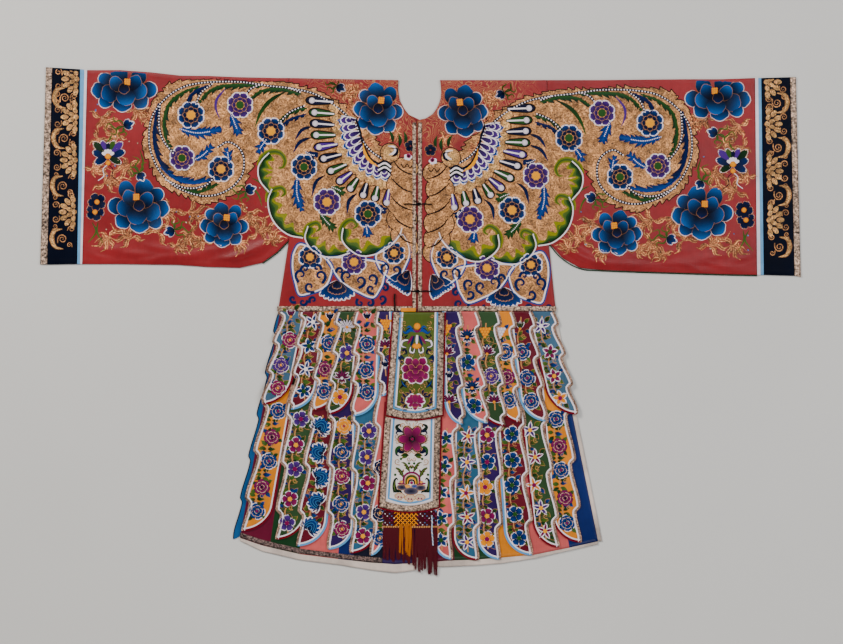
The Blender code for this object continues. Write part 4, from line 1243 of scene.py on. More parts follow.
class Needlework:
    """Threads and stitched shapes laid on cloth, gathered into one piece.

    Shapes are drawn in drafting squares; right=True lays a left half's shape on the right half.
    """

    def __init__(self, height, right=False, fold=None):
        self.height = height
        self.right = right
        self.fold = fold
        self.parts = []
        self.quads = []
        self.tris = []
        self.count = 0
        self.shapes = 0
        self.raise_by = 0.0

    def put(self, places, lift, tint, run, quads=None, tris=None, ground=False):
        """Adds points with their lift over the cloth, their dye and their place along the thread."""
        places = np.asarray(places, dtype=float)
        if self.right:
            places = to_right(places)
        robe = on_robe(places)
        count = len(robe)
        self.shapes += 1
        cell = 0 if ground else 1 + self.shapes % (FLAT_MAP_CELLS ** 2 - 1)
        z = self.height(robe[:, 0], robe[:, 1]) + np.broadcast_to(lift, (count,)) + self.raise_by
        tint = np.broadcast_to(np.asarray(tint, dtype=float), (count, 3))
        cells = np.full(count, float(cell))
        self.parts.append(np.column_stack([robe, z, tint, run, cells]))
        if quads is not None:
            self.quads.append(np.asarray(quads) + self.count)
        if tris is not None:
            self.tris.append(np.asarray(tris) + self.count)
        self.count += count

    def band(self, spine, left, right, tint, lift=0.3, crown=0.25, spacing=1.2, tip=None, edge=None,
             smoothed=True, columns=3, fade=1.0):
        """A shape along a spine, with its own width on either side, shaded to its tip and its edges."""
        line = curve(spine, spacing) if smoothed else np.asarray(spine, dtype=float)
        count = len(line)
        side = side_of(line)
        share = np.linspace(0.0, 1.0, count)
        left = np.maximum(widths_along(left, count), 0.02)
        right = np.maximum(widths_along(right, count), 0.02)
        across = np.linspace(-1.0, 1.0, columns)
        reach = -across[None, :] * np.where(across[None, :] < 0.0, left[:, None], right[:, None])
        places = line[:, None, :] + side[:, None, :] * reach[..., None]
        raised = lift + crown * (1.0 - across ** 2)[None, :] * np.ones((count, 1))
        colours = blend(tint, tip if tip is not None else tint, share ** fade)[:, None, :]
        colours = np.broadcast_to(colours, (count, columns, 3))
        if edge is not None:
            outward = np.abs(across)[None, :, None] ** 1.5
            colours = colours * (1.0 - outward) + np.asarray(edge) * outward
        step = run_lengths(line)
        run = np.stack([np.broadcast_to(step[:, None], reach.shape), reach], axis=-1) * SQUARE / 10.0
        number = np.arange(count * columns).reshape(count, columns)
        quads = np.stack([number[:-1, :-1], number[1:, :-1], number[1:, 1:], number[:-1, 1:]], axis=-1)
        self.put(places.reshape(-1, 2), raised.ravel(), colours.reshape(-1, 3), run.reshape(-1, 2),
                 quads.reshape(-1, 4))

    def line(self, points, width, tint, lift=0.35, crown=0.35, **more):
        self.band(points, np.asarray(width) / 2.0, np.asarray(width) / 2.0, tint, lift, crown, **more)

    def blob(self, centre, radius, tint, lobes=0, depth=0.0, squash=1.0, edge=None, lift=0.3, crown=0.3,
             corners=12):
        """A round shape of stitches: plain, squashed, or scalloped in lobes."""
        angle = np.linspace(0.0, 2.0 * np.pi, corners, endpoint=False)
        reach = np.full(corners, float(radius))
        if lobes:
            reach = radius * (1.0 - depth + depth * np.abs(np.cos(lobes * angle / 2.0)))
        rim = np.stack([reach * np.cos(angle), reach * squash * np.sin(angle)], axis=1)
        offsets = np.vstack([[(0.0, 0.0)], 0.55 * rim, rim])
        places = np.asarray(centre, dtype=float) + offsets
        middle = np.asarray(tint)
        outside = np.asarray(edge if edge is not None else tint)
        rings = (1, corners, corners)
        colours = np.repeat(np.stack([middle, mix(middle, outside, 0.35), outside]), rings, axis=0)
        raised = np.repeat((lift + crown, lift + 0.72 * crown, lift), rings)
        tris, quads = ring_faces(corners, 2)
        self.put(places, raised, colours, offsets * SQUARE / 10.0, quads, tris)

    def dot(self, centre, radius, tint, lift=0.4, crown=0.5):
        """A bead, a knot or a sequin."""
        angle = np.linspace(0.0, 2.0 * np.pi, DOT_CORNERS, endpoint=False)
        offsets = np.vstack([[(0.0, 0.0)], radius * np.stack([np.cos(angle), np.sin(angle)], axis=1)])
        raised = np.repeat((lift + crown, lift), (1, DOT_CORNERS))
        tris, quads = ring_faces(DOT_CORNERS, 1)
        places = np.asarray(centre, dtype=float) + offsets
        self.put(places, raised, tint, offsets * SQUARE / 10.0, quads, tris)

    def petal(self, base, angle, length, width, tint, tip, rim=0.0, lift=0.3, point=0.0,
              gold=(GOLD_DARK, GOLD), fade=1.8):
        """A petal from its base outwards, dark to light, with a couched thread and a white rim round it."""
        base = np.asarray(base, dtype=float)
        axis = turned((1.0, 0.0), angle)
        round_half = np.asarray(PETAL_ROUND)
        half_shape = round_half * (1.0 - point) + np.asarray(PETAL_POINTED) * point
        layers = []
        if rim:
            layers.append((rim, WHITE, WHITE, 0.0))
        if gold:
            layers.append((0.26, *gold, 0.03))
        layers.append((0.0, tint, tip, 0.06))
        for grow, first, last, rise in layers:
            half = half_shape * (width / 2.0 + grow)
            spine = base + axis * (np.asarray(PETAL_STEPS)[:, None] * (length + grow))
            self.band(spine, half, half, first, lift + rise, PETAL_CROWN, tip=last, smoothed=False,
                      fade=fade)

    def scalloped_petal(self, middle, angle, length, width, tint, tip, rim=0.0, lift=0.3, waves=2.5,
                        outline=(GOLD_DARK, TAN), fade=2.6):
        """A broad petal with a wavy end, dark at its root and bright only towards its end."""
        turn = np.linspace(-np.pi, np.pi, SCALLOP_CORNERS, endpoint=False)
        outer = 0.5 + 0.5 * np.cos(turn)
        wave = 1.0 + 0.16 * outer * (np.abs(np.cos(waves * turn)) - 0.5)
        shape = np.stack([0.5 * length * wave * np.cos(turn),
                          0.5 * width * wave * np.sin(turn) * (0.86 + 0.24 * outer)], axis=1)
        layers = []
        if rim:
            layers.append((rim, WHITE, WHITE, 0.0))
        layers.append((0.3, *outline, 0.05))
        layers.append((0.0, tint, tip, 0.10))
        shares = (0.5, 0.82, 1.0)
        rings = [1] + [SCALLOP_CORNERS] * len(shares)
        dome = np.repeat([1.0 - share ** 2 for share in (0.0, *shares)], rings)
        tris, quads = ring_faces(SCALLOP_CORNERS, len(shares))
        for grow, first, last, rise in layers:
            away = outer if grow > 0.5 else 1.0
            spread = shape * (1.0 + grow * away / np.hypot(shape[:, 0], shape[:, 1]))[:, None]
            offsets = np.vstack([[(0.0, 0.0)]] + [spread * share for share in shares])
            along = np.clip(0.5 + offsets[:, 0] / length, 0.0, 1.0)
            self.put(np.asarray(middle) + turned(offsets, angle), lift + rise + PETAL_CROWN * dome,
                     blend(first, last, along ** fade), offsets * SQUARE / 10.0, quads, tris)

    def leaf(self, base, angle, length, width, tint, tip=None, bend=0.0, lift=0.25):
        """A pointed leaf, bent to one side if need be."""
        base = np.asarray(base, dtype=float)
        axis = turned((1.0, 0.0), angle)
        normal = turned((0.0, 1.0), angle)
        spine = [base, base + axis * length * 0.5 + normal * bend * length * 0.25,
                 base + axis * length + normal * bend * length * 0.2]
        half = np.asarray((0.1, 0.7, 1.0, 0.8, 0.4, 0.02)) * width / 2.0
        self.band(spine, half, half, tint, lift, 0.18, spacing=length / 6.0, tip=tip)

    def beads(self, points, spacing, radius, tint, lift=0.6):
        for place in curve(points, spacing):
            self.dot(place, radius, tint, lift)

    def fill(self, outline, tint):
        """Ground stitches inside a closed outline."""
        outline = np.asarray(outline, dtype=float)
        low = outline.min(axis=0)
        high = outline.max(axis=0)
        inner = [(x, y) for x in np.arange(low[0] + 0.7, high[0], GROUND_STEP)
                 for y in np.arange(low[1] + 0.7, high[1], GROUND_STEP)]
        count = len(outline)
        edges = [(k, (k + 1) % count) for k in range(count)]
        points = [tuple(p) for p in outline] + inner
        found = delaunay_2d_cdt([Vector(p) for p in points], edges, [], 1, 1e-5)
        places = np.asarray([tuple(p) for p in found[0]])
        tris = np.asarray([face for face in found[2] if len(face) == 3])
        if len(tris):
            self.put(places, GROUND_LIFT, tint, places * SQUARE / 10.0, None, tris, ground=True)

    def keep_on_cloth(self, data):
        """Cuts the work along the fold of the cloth: which faces stay, and points brought to the fold."""
        keep = []
        if self.fold is None:
            return [np.ones(len(table), dtype=bool) for table in self.tables()]
        line = self.fold(data[:, 0])
        beyond = data[:, 1] > line
        for table in self.tables():
            keep.append(~beyond[table].all(axis=1))
        data[beyond, 1] = line[beyond] - 0.02 * np.arange(beyond.sum()) / max(1, beyond.sum())
        data[beyond, 2] = self.height(data[beyond, 0], data[beyond, 1]) + 0.3
        return keep

    def tables(self):
        return [np.vstack(group) for group in (self.quads, self.tris) if group]

    def build(self, name, finish, slot_name, replaced=()):
        """One piece of all that was gathered, each face turned up."""
        data = np.vstack(self.parts)
        keep = self.keep_on_cloth(data)
        points = data[:, :3] * MM
        tables = []
        for table, stays in zip(self.tables(), keep):
            table = table[stays]
            a, b, c, d = (points[table[:, k], :2] for k in (0, 1, 2, -1))
            turn = (c - a)[:, 0] * (d - b)[:, 1] - (c - a)[:, 1] * (d - b)[:, 0]
            if table.shape[1] == 3:
                turn = (b - a)[:, 0] * (c - a)[:, 1] - (b - a)[:, 1] * (c - a)[:, 0]
            table[turn < 0.0] = table[turn < 0.0][:, ::-1]
            tables.append(table)
        used = np.unique(np.concatenate([table.ravel() for table in tables]))
        place = np.zeros(len(data), dtype=int)
        place[used] = np.arange(len(used))
        data = data[used]
        points = points[used]
        faces = [face for table in tables for face in place[table].tolist()]
        mesh = bpy.data.meshes.new(name)
        mesh.from_pydata(points.tolist(), [], faces)
        dye_points(mesh, data[:, 3:6])
        piece = add_piece(name, mesh, [finish], slot_name, replaced)
        low = points[:, :2].min(axis=0)
        span = np.ptp(points[:, :2], axis=0)
        flat = 0.01 + 0.98 * (points[:, :2] - low) / span
        cells = data[:, 8]
        corner = np.column_stack([cells % FLAT_MAP_CELLS, cells // FLAT_MAP_CELLS])
        finish_mesh(piece, data[:, 6:8], (flat + corner) / FLAT_MAP_CELLS)
        return piece


# Motifs

class Silk(NamedTuple):
    """A silk in three strengths: the depth of a petal, its body and its tip."""
    deep: tuple
    body: tuple
    tip: tuple


SILKS = {
    "blue": Silk(NAVY_DEEP, BLUE_DEEP, BLUE),
    "navy": Silk(NAVY_DEEP, NAVY_DEEP, BLUE_DEEP),
    "purple": Silk(PURPLE_DEEP, PURPLE, PURPLE_PALE),
    "magenta": Silk(WINE, MAGENTA, MAGENTA_PALE),
    "magenta_navy": Silk(NAVY, MAGENTA, MAGENTA_PALE),
    "yellow": Silk(AMBER, YELLOW, YELLOW),
    "white": Silk(PALE, WHITE, WHITE),
    "green": Silk(GREEN_DEEP, GREEN, LEAF),
}


def ring_of(count, turn=0.0):
    return [turn + 360.0 * k / count for k in range(count)]


def heading(start, end):
    """The direction from one place to another, in degrees clockwise."""
    return math.degrees(math.atan2(end[1] - start[1], end[0] - start[0]))


class PeonyPetal(NamedTuple):
    """One petal of a peony: its middle, way, length and breadth by the flower's reach, rim and lift."""
    x: float
    y: float
    way: float
    length: float
    width: float
    rim: float
    lift: float


PEONY_PETALS = (
    PeonyPetal(-0.46, -0.62, -105, 0.66, 0.56, 0.0, 0.20),
    PeonyPetal(0.18, -0.66, -74, 0.72, 0.62, 0.0, 0.22),
    PeonyPetal(0.62, -0.42, -30, 0.54, 0.50, 0.8, 0.30),
    PeonyPetal(0.80, 0.10, 10, 0.56, 0.56, 0.9, 0.38),
    PeonyPetal(-0.82, 0.00, 182, 0.56, 0.58, 0.9, 0.30),
    PeonyPetal(-0.56, 0.56, 135, 0.58, 0.54, 0.9, 0.38),
    PeonyPetal(0.56, 0.58, 50, 0.56, 0.50, 0.9, 0.48),
    PeonyPetal(0.02, 0.72, 90, 0.58, 0.64, 0.9, 0.58),
    PeonyPetal(-0.46, 0.06, 172, 0.64, 0.64, 0.0, 0.70),
    PeonyPetal(0.44, 0.22, 26, 0.66, 0.64, 0.0, 0.70),
    PeonyPetal(-0.08, 0.36, 98, 0.64, 0.70, 0.0, 0.82),
    PeonyPetal(-0.34, -0.30, -112, 0.60, 0.46, 0.0, 0.86),
    PeonyPetal(0.26, -0.22, -60, 0.58, 0.48, 0.0, 0.92),
)


def peony(work, x, y, rx, ry, turn, hand, deep=False):
    """A full blue peony: broad wavy petals, navy at the root and bright at the end, with a yellow eye."""
    middle = np.array((x, y))
    size = 0.5 * (rx + ry)
    swing = 0.25 * ((turn + 180.0) % 360.0 - 180.0)
    for k, petal in enumerate(PEONY_PETALS):
        way = petal.way if hand > 0.0 else 180.0 - petal.way
        spot = turned((hand * petal.x, petal.y), swing) * np.array((rx, ry))
        bright = 0.80 + 0.22 * math.sin(2.9 * k + turn)
        tip = mix(np.asarray(BLUE_DEEP), np.asarray(BLUE_RIM), bright * (0.6 if deep else 1.0))
        length = 1.08 * petal.length * size
        width = 1.12 * petal.width * size
        work.scalloped_petal(middle + spot, way + swing, length, width, NAVY_DEEP, tuple(tip), petal.rim,
                             petal.lift, waves=2.5 if k % 2 else 1.5)
    for k in range(9):
        offset = turned((hand * -0.10 * rx + (k % 3 - 1) * 1.9, -0.36 * ry + (k // 3 - 1) * 2.1), swing)
        work.blob(middle + offset, 1.35, YELLOW, edge=AMBER, lift=1.06 + 0.01 * k, crown=0.3, corners=8)
    front = middle + turned((0.0, -0.03 * ry), swing)
    work.scalloped_petal(front, 84.0 + swing, 0.42 * size, 0.42 * size, NAVY_DEEP, BLUE_DEEP, lift=1.16)


def round_flower(work, x, y, radius, outer, eye):
    """An eight-petalled flower with a scalloped pale rim, two rings of petals and a round eye."""
    spot = np.asarray((x, y), dtype=float)
    radius = 1.08 * radius
    silk_of = SILKS["blue" if outer is BLUE else "purple"]
    for angle in ring_of(8, 22.5):
        base = spot + turned((0.34 * radius, 0.0), angle)
        work.petal(base, angle, 0.56 * radius, 0.52 * radius, silk_of.deep, silk_of.tip, 0.85, lift=0.34)
    for angle in ring_of(8):
        base = spot + turned((0.22 * radius, 0.0), angle)
        work.petal(base, angle, 0.34 * radius, 0.32 * radius, silk_of.deep, silk_of.body, lift=0.64)
    heart = SILKS["yellow" if eye is YELLOW else "green"]
    work.blob(spot, 0.34 * radius, GOLD, edge=TAN, lift=0.86, crown=0.1, corners=16)
    work.blob(spot, 0.28 * radius, heart.body, edge=heart.body, lift=0.92, crown=0.5, corners=14)


BARB_SLANT = 38.0
BARB_STEP = 0.8


def flame_band(work, points, width, dark, light, tooth=5.0, both=False):
    """A feather band: smooth on one side, with leaning pointed barbs on the other, or on both."""
    line = curve(points, BARB_STEP)
    length = BARB_STEP * (len(line) - 1)
    swell = np.array((0.3, 0.8, 1.0, 1.0, 0.9, 0.6, 0.2)) * width
    body = 0.26 * swell if both else 0.36 * swell
    normals = side_of(line)
    runs = np.gradient(line, axis=0)
    count = max(3, int(length / tooth))
    for number in range(count):
        share = (number + 0.4) / count
        index = int(share * (len(line) - 1))
        breadth = float(np.interp(share, np.linspace(0.0, 1.0, len(swell)), swell))
        for way in ((1.0, -1.0) if both else (1.0,)):
            normal = normals[index] * way
            lean = math.degrees(math.atan2(runs[index][1], runs[index][0]))
            turn = lean - (BARB_SLANT + 10.0 * math.sin(2.3 * number)) * way
            base = line[index] + normal * 0.12 * breadth
            size = breadth * (0.72 if both else 1.05) * (1.0 + 0.25 * math.sin(1.7 * number + 1.0))
            work.leaf(base, turn, size + 1.2, 0.80 * tooth, light, dark, bend=0.6 * way, lift=0.27)
            work.leaf(base, turn + 26.0 * way, 0.6 * size, 0.6 * tooth, dark, dark, bend=0.6 * way, lift=0.25)
    work.band(points, body, body if both else 0.35, light, 0.34, 0.2, edge=blend(light, dark, 0.5))


def feather(work, points, width, dark, light):
    """A feathered leaf with barbs on both sides and a stitched white vein."""
    flame_band(work, points, width, dark, light, 4.2, both=True)
    line = curve(points, BARB_STEP)
    work.beads(line[: max(3, int(0.72 * len(line)))], 1.8, 0.6, WHITE, 0.62)


BEADED_WIDTH = 2.5


def beaded(work, points):
    """A dark cord with pale stitches over it like beads."""
    work.line(points, BEADED_WIDTH, NAVY_DEEP, 0.42, 0.25)
    work.beads(points, 3.0, 0.33 * BEADED_WIDTH, WHITE, 0.66)


def spiral(x, y, size, turn=0.0, hand=1.0, turns=1.2, tail=0.9):
    """A scroll: a tail that runs in and curls up."""
    share = np.linspace(0.0, 1.0, 14)
    angle = hand * share * turns * 2.0 * np.pi
    reach = size * (1.0 - 0.82 * share)
    coil = np.stack([reach * np.cos(angle), reach * np.sin(angle)], axis=1)
    start = np.array([[size, -hand * size * tail]])
    return np.asarray((x, y)) + turned(np.vstack([start, coil]), turn)


def curl(work, x, y, size, turn, hand, width, tint, lift=0.35, turns=1.2, tail=0.9):
    widths = (width, width, 0.8 * width, 0.5 * width)
    work.line(spiral(x, y, size, turn, hand, turns, tail), widths, tint, lift)


FLAMED_STEP = 0.5
FLAMED_TOOTH = 8.5


def flamed(points, depth):
    """A line with uneven flame-like teeth, as deep as given to its left."""
    line = curve(points, FLAMED_STEP)
    length = np.arange(len(line)) * FLAMED_STEP
    wander = length + 1.6 * np.sin(length / 5.3) + 0.9 * np.sin(length / 2.9)
    saw = (wander / FLAMED_TOOTH) % 1.0
    height = depth * (saw ** 1.5) * (0.72 + 0.42 * np.sin(length / 7.1))
    return line + side_of(line) * height[:, None]


# A flame's tongues: their way, length as a share of the flame's size, and which way they lean
FLAME_TONGUES = (
    (0.0, 1.4, 1.0), (34.0, 1.1, -1.0), (-32.0, 1.2, 1.0),
    (74.0, 0.8, -1.0), (-72.0, 0.85, 1.0), (180.0, 0.7, -1.0),
)
FLAME_DARK = dye(166, 100, 70)
FLAME_LIGHT = dye(214, 160, 112)


def flame_cluster(work, x, y, size, turn=0.0):
    """A gold flame couched on the red: a few long tongues, each of lines laid side by side."""
    for angle, share, hand in FLAME_TONGUES:
        reach = 1.2 * size * share
        shape = np.array([(0.0, 0.0), (0.35, 0.16 * hand), (0.7, 0.04 * hand), (1.0, 0.26 * hand)])
        spine = curve(np.asarray((x, y)) + turned(shape * reach, turn + angle), 1.2)
        bulge = np.sin(np.pi * np.linspace(0.0, 1.0, len(spine)))[:, None] * side_of(spine)
        for shift in (-2.2, -1.1, 0.0, 1.1, 2.2):
            stays = slice(0, max(4, int((1.0 - 0.12 * abs(shift)) * len(spine))))
            tint = FLAME_LIGHT if shift in (0.0, 2.2) else FLAME_DARK
            work.line((spine + shift * bulge)[stays], (0.5, 1.1, 1.1, 0.4), tint, 0.16, 0.15, smoothed=False)


# A bud's tendrils: their way, length as a share of the bud's size, and which way they bend
BUD_TENDRILS = ((165.0, 1.7, 1), (200.0, 2.2, -1), (135.0, 1.4, -1), (235.0, 1.6, 1), (100.0, 1.2, 1))


def bud(work, x, y, size, turn):
    """A blue bud on a spray of tendrils."""
    spot = np.asarray((x, y), dtype=float)
    for angle, share, bend in BUD_TENDRILS:
        shape = np.array([(0.0, 0.0), (0.4, 0.16 * bend), (0.75, -0.12 * bend), (1.0, 0.2 * bend)])
        spine = spot + turned(shape * size * share, turn + angle)
        work.line(spine, (0.6, 1.6, 1.3, 0.3), GREEN, 0.25, 0.2, tip=LEAF)
    for angle, share, rim in ((-34.0, 0.9, 0.5), (34.0, 0.9, 0.5), (0.0, 1.15, 0.7)):
        work.petal(spot, turn + angle, size * share, size * 0.58, NAVY_DEEP, BLUE, rim, lift=0.35, point=0.6)


# A small butterfly's wings: their way, length, breadth and dye, and the dyes towards which those fade
SMALL_WINGS = (
    (-136.0, 1.20, 0.46, GREEN_DEEP), (-44.0, 1.20, 0.46, PURPLE), (-165.0, 0.95, 0.50, NAVY),
    (-15.0, 1.05, 0.50, NAVY), (-112.0, 1.0, 0.40, PURPLE), (-68.0, 1.0, 0.40, GREEN),
    (150.0, 0.9, 0.46, NAVY), (30.0, 0.9, 0.40, GREEN_DEEP), (-90.0, 0.8, 0.45, NAVY_DEEP),
)
BRIGHTER = {NAVY: BLUE, NAVY_DEEP: BLUE_DEEP, GREEN_DEEP: GREEN, GREEN: LEAF, PURPLE: PURPLE_PALE}


def small_butterfly(work, x, y, size):
    """A small navy, green and purple butterfly with a white body."""
    spot = np.asarray((x, y), dtype=float)
    for angle, length, width, tint in SMALL_WINGS:
        tip = mix(np.asarray(tint), np.asarray(BRIGHTER[tint]), 0.5)
        work.petal(spot, angle, length * size, width * size, tint, tip, 0.5, point=0.4)
    for angle in (-150.0, -115.0, -90.0, -65.0, -30.0):
        work.petal(spot, angle, 0.42 * size, 0.2 * size, WHITE, WHITE, 0.0, lift=0.6, gold=None)
    work.blob(spot, 0.2 * size, YELLOW, edge=AMBER, lift=0.75, crown=0.4)
    work.blob(spot + (0.0, 0.42 * size), 0.16 * size, YELLOW, edge=AMBER, lift=0.7, crown=0.3)
    for hand in (-1.0, 1.0):
        feeler = [(0.0, 0.5), (0.3 * hand, 0.8), (0.25 * hand, 1.2), (0.6 * hand, 1.5)]
        work.line(spot + np.asarray(feeler) * size, 0.8, NAVY_DEEP if hand > 0 else WHITE)


# The great butterfly: its left half

EDGE_TOP = (
    (165, 86), (185, 81), (220, 80), (260, 82), (290, 83), (303, 88), (320, 92), (334, 100), (350, 111),
    (361, 126), (371, 134), (380, 147), (390, 153),
)
EDGE_TAIL = (
    (258, 160), (252, 172), (245, 186), (236, 194), (224, 201), (204, 205), (189, 200), (170, 192),
    (157, 181), (149, 168), (142, 149), (143, 130), (148, 110), (156, 94), (165, 86),
)
LOBE_A = ((269, 153), (262, 160), (258, 169), (260, 181), (269, 192))
LOBE_B = ((272, 189), (268, 200), (270, 214), (277, 226), (289, 235), (303, 238))
LOBE_C = ((308, 226), (305, 238), (311, 249), (322, 256), (336, 257), (350, 253))
LOBE_D = ((343, 228), (342, 240), (350, 250), (362, 256), (376, 254), (389, 247), (399, 236), (402, 228))
BODY_EDGE = ((402, 228), (396, 200), (393, 172), (390, 153))
# The green curl at the upper end of each lobe
CURLS = (
    ((259, 166), (263, 157), (271, 152), (280, 153), (285, 160), (283, 167), (278, 168)),
    ((268, 202), (269, 194), (275, 189), (282, 188), (285, 193), (281, 197)),
    ((305, 238), (306, 230), (310, 225), (317, 223), (320, 228), (316, 232)),
    ((342, 241), (341, 231), (345, 223), (352, 220), (357, 225), (353, 229)),
)

SPIRAL_BEADS = (
    (300, 92), (288, 88), (270, 86), (256, 84), (240, 82), (212, 82), (186, 86), (166, 98), (152, 117),
    (149, 140), (153, 158), (162, 174), (178, 188), (204, 196), (226, 191), (241, 177), (244, 160),
    (239, 148), (228, 142), (218, 147),
)
FOREWING_BEADS = (
    (290, 88), (312, 93), (328, 101), (343, 112), (356, 126), (363, 141), (371, 151), (381, 158),
)
INNER_BEADS = (
    ((212, 84), (201, 93), (196, 104)),
    ((160, 104), (159, 125), (163, 140), (173, 153)),
    ((166, 180), (186, 188), (204, 186), (214, 178)),
    ((262, 84), (252, 88), (247, 93)),
    ((304, 106), (290, 112), (281, 121)),
)
# Feather bands that follow the spiral, their barbs turned in: their dyes, breadth and line
TAIL_BANDS = (
    (NAVY_DEEP, BLUE_DEEP, 9.5, ((158, 103), (154, 122), (153, 140), (157, 158), (166, 172), (182, 184))),
    (NAVY_DEEP, GREEN, 8.0, ((200, 86), (182, 92), (168, 104), (163, 122), (165, 138), (172, 152))),
    (NAVY_DEEP, BLUE_DEEP, 8.0, ((208, 85), (196, 90), (188, 98), (190, 106))),
    (NAVY_DEEP, GREEN, 8.0, ((262, 86), (240, 84), (218, 86), (205, 94), (199, 103))),
    (NAVY_DEEP, GREEN, 8.0, ((301, 94), (280, 88), (262, 90), (250, 98))),
    (NAVY_DEEP, GREEN, 7.0, ((307, 108), (297, 109), (286, 114), (278, 122))),
    (NAVY_DEEP, BLUE_DEEP, 6.0, ((306, 114), (294, 117), (285, 122), (279, 130))),
    (NAVY_DEEP, BLUE, 11.0, ((160, 167), (174, 179), (192, 184), (214, 180))),
    (NAVY_DEEP, GREEN, 7.0, ((184, 190), (198, 193), (210, 189), (219, 184))),
)
# Feathered leaves between the flowers: their dyes, breadth and line
FEATHERS = (
    (NAVY, BLUE, 11.0, ((180, 129), (198, 133), (222, 129))),
    (NAVY, BLUE, 11.0, ((231, 114), (235, 124), (239, 134))),
    (NAVY, BLUE, 10.0, ((194, 160), (203, 155), (212, 146))),
    (NAVY, BLUE, 9.0, ((229, 163), (228, 155), (226, 148))),
    (NAVY, BLUE, 9.0, ((266, 140), (261, 147), (258, 153))),
    (NAVY, BLUE, 11.0, ((297, 178), (297, 194), (302, 211))),
    (GREEN_DEEP, GREEN, 10.0, ((320, 213), (327, 222), (334, 229))),
    (NAVY, BLUE, 9.0, ((366, 225), (367, 231), (368, 237))),
    (NAVY, BLUE_DEEP, 8.0, ((306, 152), (312, 155), (318, 155))),
    (GREEN_DEEP, GREEN, 9.0, ((332, 187), (339, 190), (344, 194))),
    (NAVY, BLUE_DEEP, 6.0, ((378, 205), (382, 209), (385, 213))),
)
# Plain curved blades between them: dye, breadth and line
BLADES = (
    (GREEN_DEEP, 4.2, ((287, 91), (271, 100), (261, 112), (255, 127))),
    (PURPLE, 2.6, ((226, 88), (217, 99), (216, 109), (220, 119))),
    (NAVY_DEEP, 3.6, ((313, 126), (302, 130), (295, 140))),
    (NAVY_DEEP, 3.6, ((312, 137), (300, 142), (293, 153))),
    (NAVY_DEEP, 3.6, ((325, 175), (316, 182), (312, 196))),
    (NAVY_DEEP, 3.8, ((357, 193), (349, 201), (347, 214))),
    (NAVY_DEEP, 3.8, ((396, 210), (390, 217), (389, 229))),
)
# Round flowers of the wings, left and right: place, radius, dye and the dye of the eye
FLOWERS = (
    (191, 115, 13.5, BLUE, YELLOW), (182, 158, 12.5, PURPLE, GREEN), (221, 169, 13, BLUE, YELLOW),
    (240, 105, 13, PURPLE, GREEN), (271, 131, 13.5, BLUE, YELLOW), (304, 167, 13, BLUE, GREEN),
    (327, 202, 13.5, PURPLE, YELLOW), (368, 214, 13.5, BLUE, GREEN),
)
FLOWERS_RIGHT = (
    (191, 115, 13.5, BLUE, YELLOW), (183, 158, 12.5, PURPLE, GREEN), (221, 169, 13, BLUE, GREEN),
    (239, 105, 13, PURPLE, GREEN), (272, 130, 13.5, BLUE, GREEN), (305, 168, 13, PURPLE, YELLOW),
    (329, 203, 13.5, BLUE, YELLOW), (371, 214, 13.5, PURPLE, YELLOW),
)
LOW_FLOWERS = (
    (310, 257, 11.5, BLUE, YELLOW), (354, 262, 12.5, PURPLE, YELLOW), (394, 253, 11.0, BLUE, YELLOW),
)
# Eyed feathers: base, tip and dye
EYED_FEATHERS = (
    ((334, 102), (305, 100), NAVY), ((335, 114), (308, 112), GREEN), ((335, 125), (309, 123), NAVY),
    ((336, 135), (310, 135), GREEN), ((338, 144), (313, 148), PURPLE), ((342, 154), (318, 160), NAVY),
    ((347, 164), (326, 173), GREEN), ((352, 172), (336, 184), PURPLE), ((358, 178), (348, 192), GREEN),
    ((367, 183), (362, 199), NAVY), ((378, 186), (374, 202), GREEN), ((389, 189), (386, 207), PURPLE),
)
# Gold scales at their roots
SCALES = (
    (334, 108), (336, 119), (337, 130), (339, 141), (342, 151), (347, 160),
    (354, 168), (362, 175), (371, 180), (381, 184), (390, 185),
)
COMB_INNER = ((356, 119), (360, 131), (362, 141), (366, 151), (372, 160), (384, 166))
COMB_OUTER = ((339, 119), (342, 131), (344, 142), (349, 154), (358, 166), (370, 175), (388, 179))
COMB_COUNT = 10
# A lobe of the comb, from below: length by its reach, breadth, dyes, rim and lift
COMB_LAYERS = (
    (1.12, 8.2, BLUE_DEEP, BLUE, 0.8, 0.0), (0.92, 6.6, PURPLE_DEEP, PURPLE_PALE, 0.9, 0.16),
    (0.62, 4.6, PURPLE_DEEP, PURPLE, 0.6, 0.34),
)
# Lobes of the body, from the foot up: place, half width and half height
BODY_LOBES = (
    (406, 248, 12, 11), (404, 235, 13, 12), (402, 219, 15, 13), (401, 202, 15, 13), (401, 185, 14, 13),
    (404, 169, 14, 11),
)
BODY_CREASES = (
    ((391, 178), (397, 184), (405, 190), (415, 193)), ((391, 196), (397, 203), (405, 208), (415, 211)),
    ((393, 214), (398, 221), (406, 226), (415, 229)), ((397, 231), (402, 238), (408, 242), (415, 244)),
    ((393, 160), (399, 168), (407, 173), (415, 175)),
)
LOW_PETALS = (
    ((303, 243), (293, 251), (291, 267), (294, 283), (299, 296), (312, 294), (324, 289), (331, 279),
     (331, 262)),
    ((330, 256), (332, 270), (342, 284), (357, 293), (373, 299), (381, 290), (385, 279), (384, 262)),
    ((375, 254), (378, 268), (386, 277), (397, 283), (406, 268), (411, 251), (403, 233), (390, 243)),
)
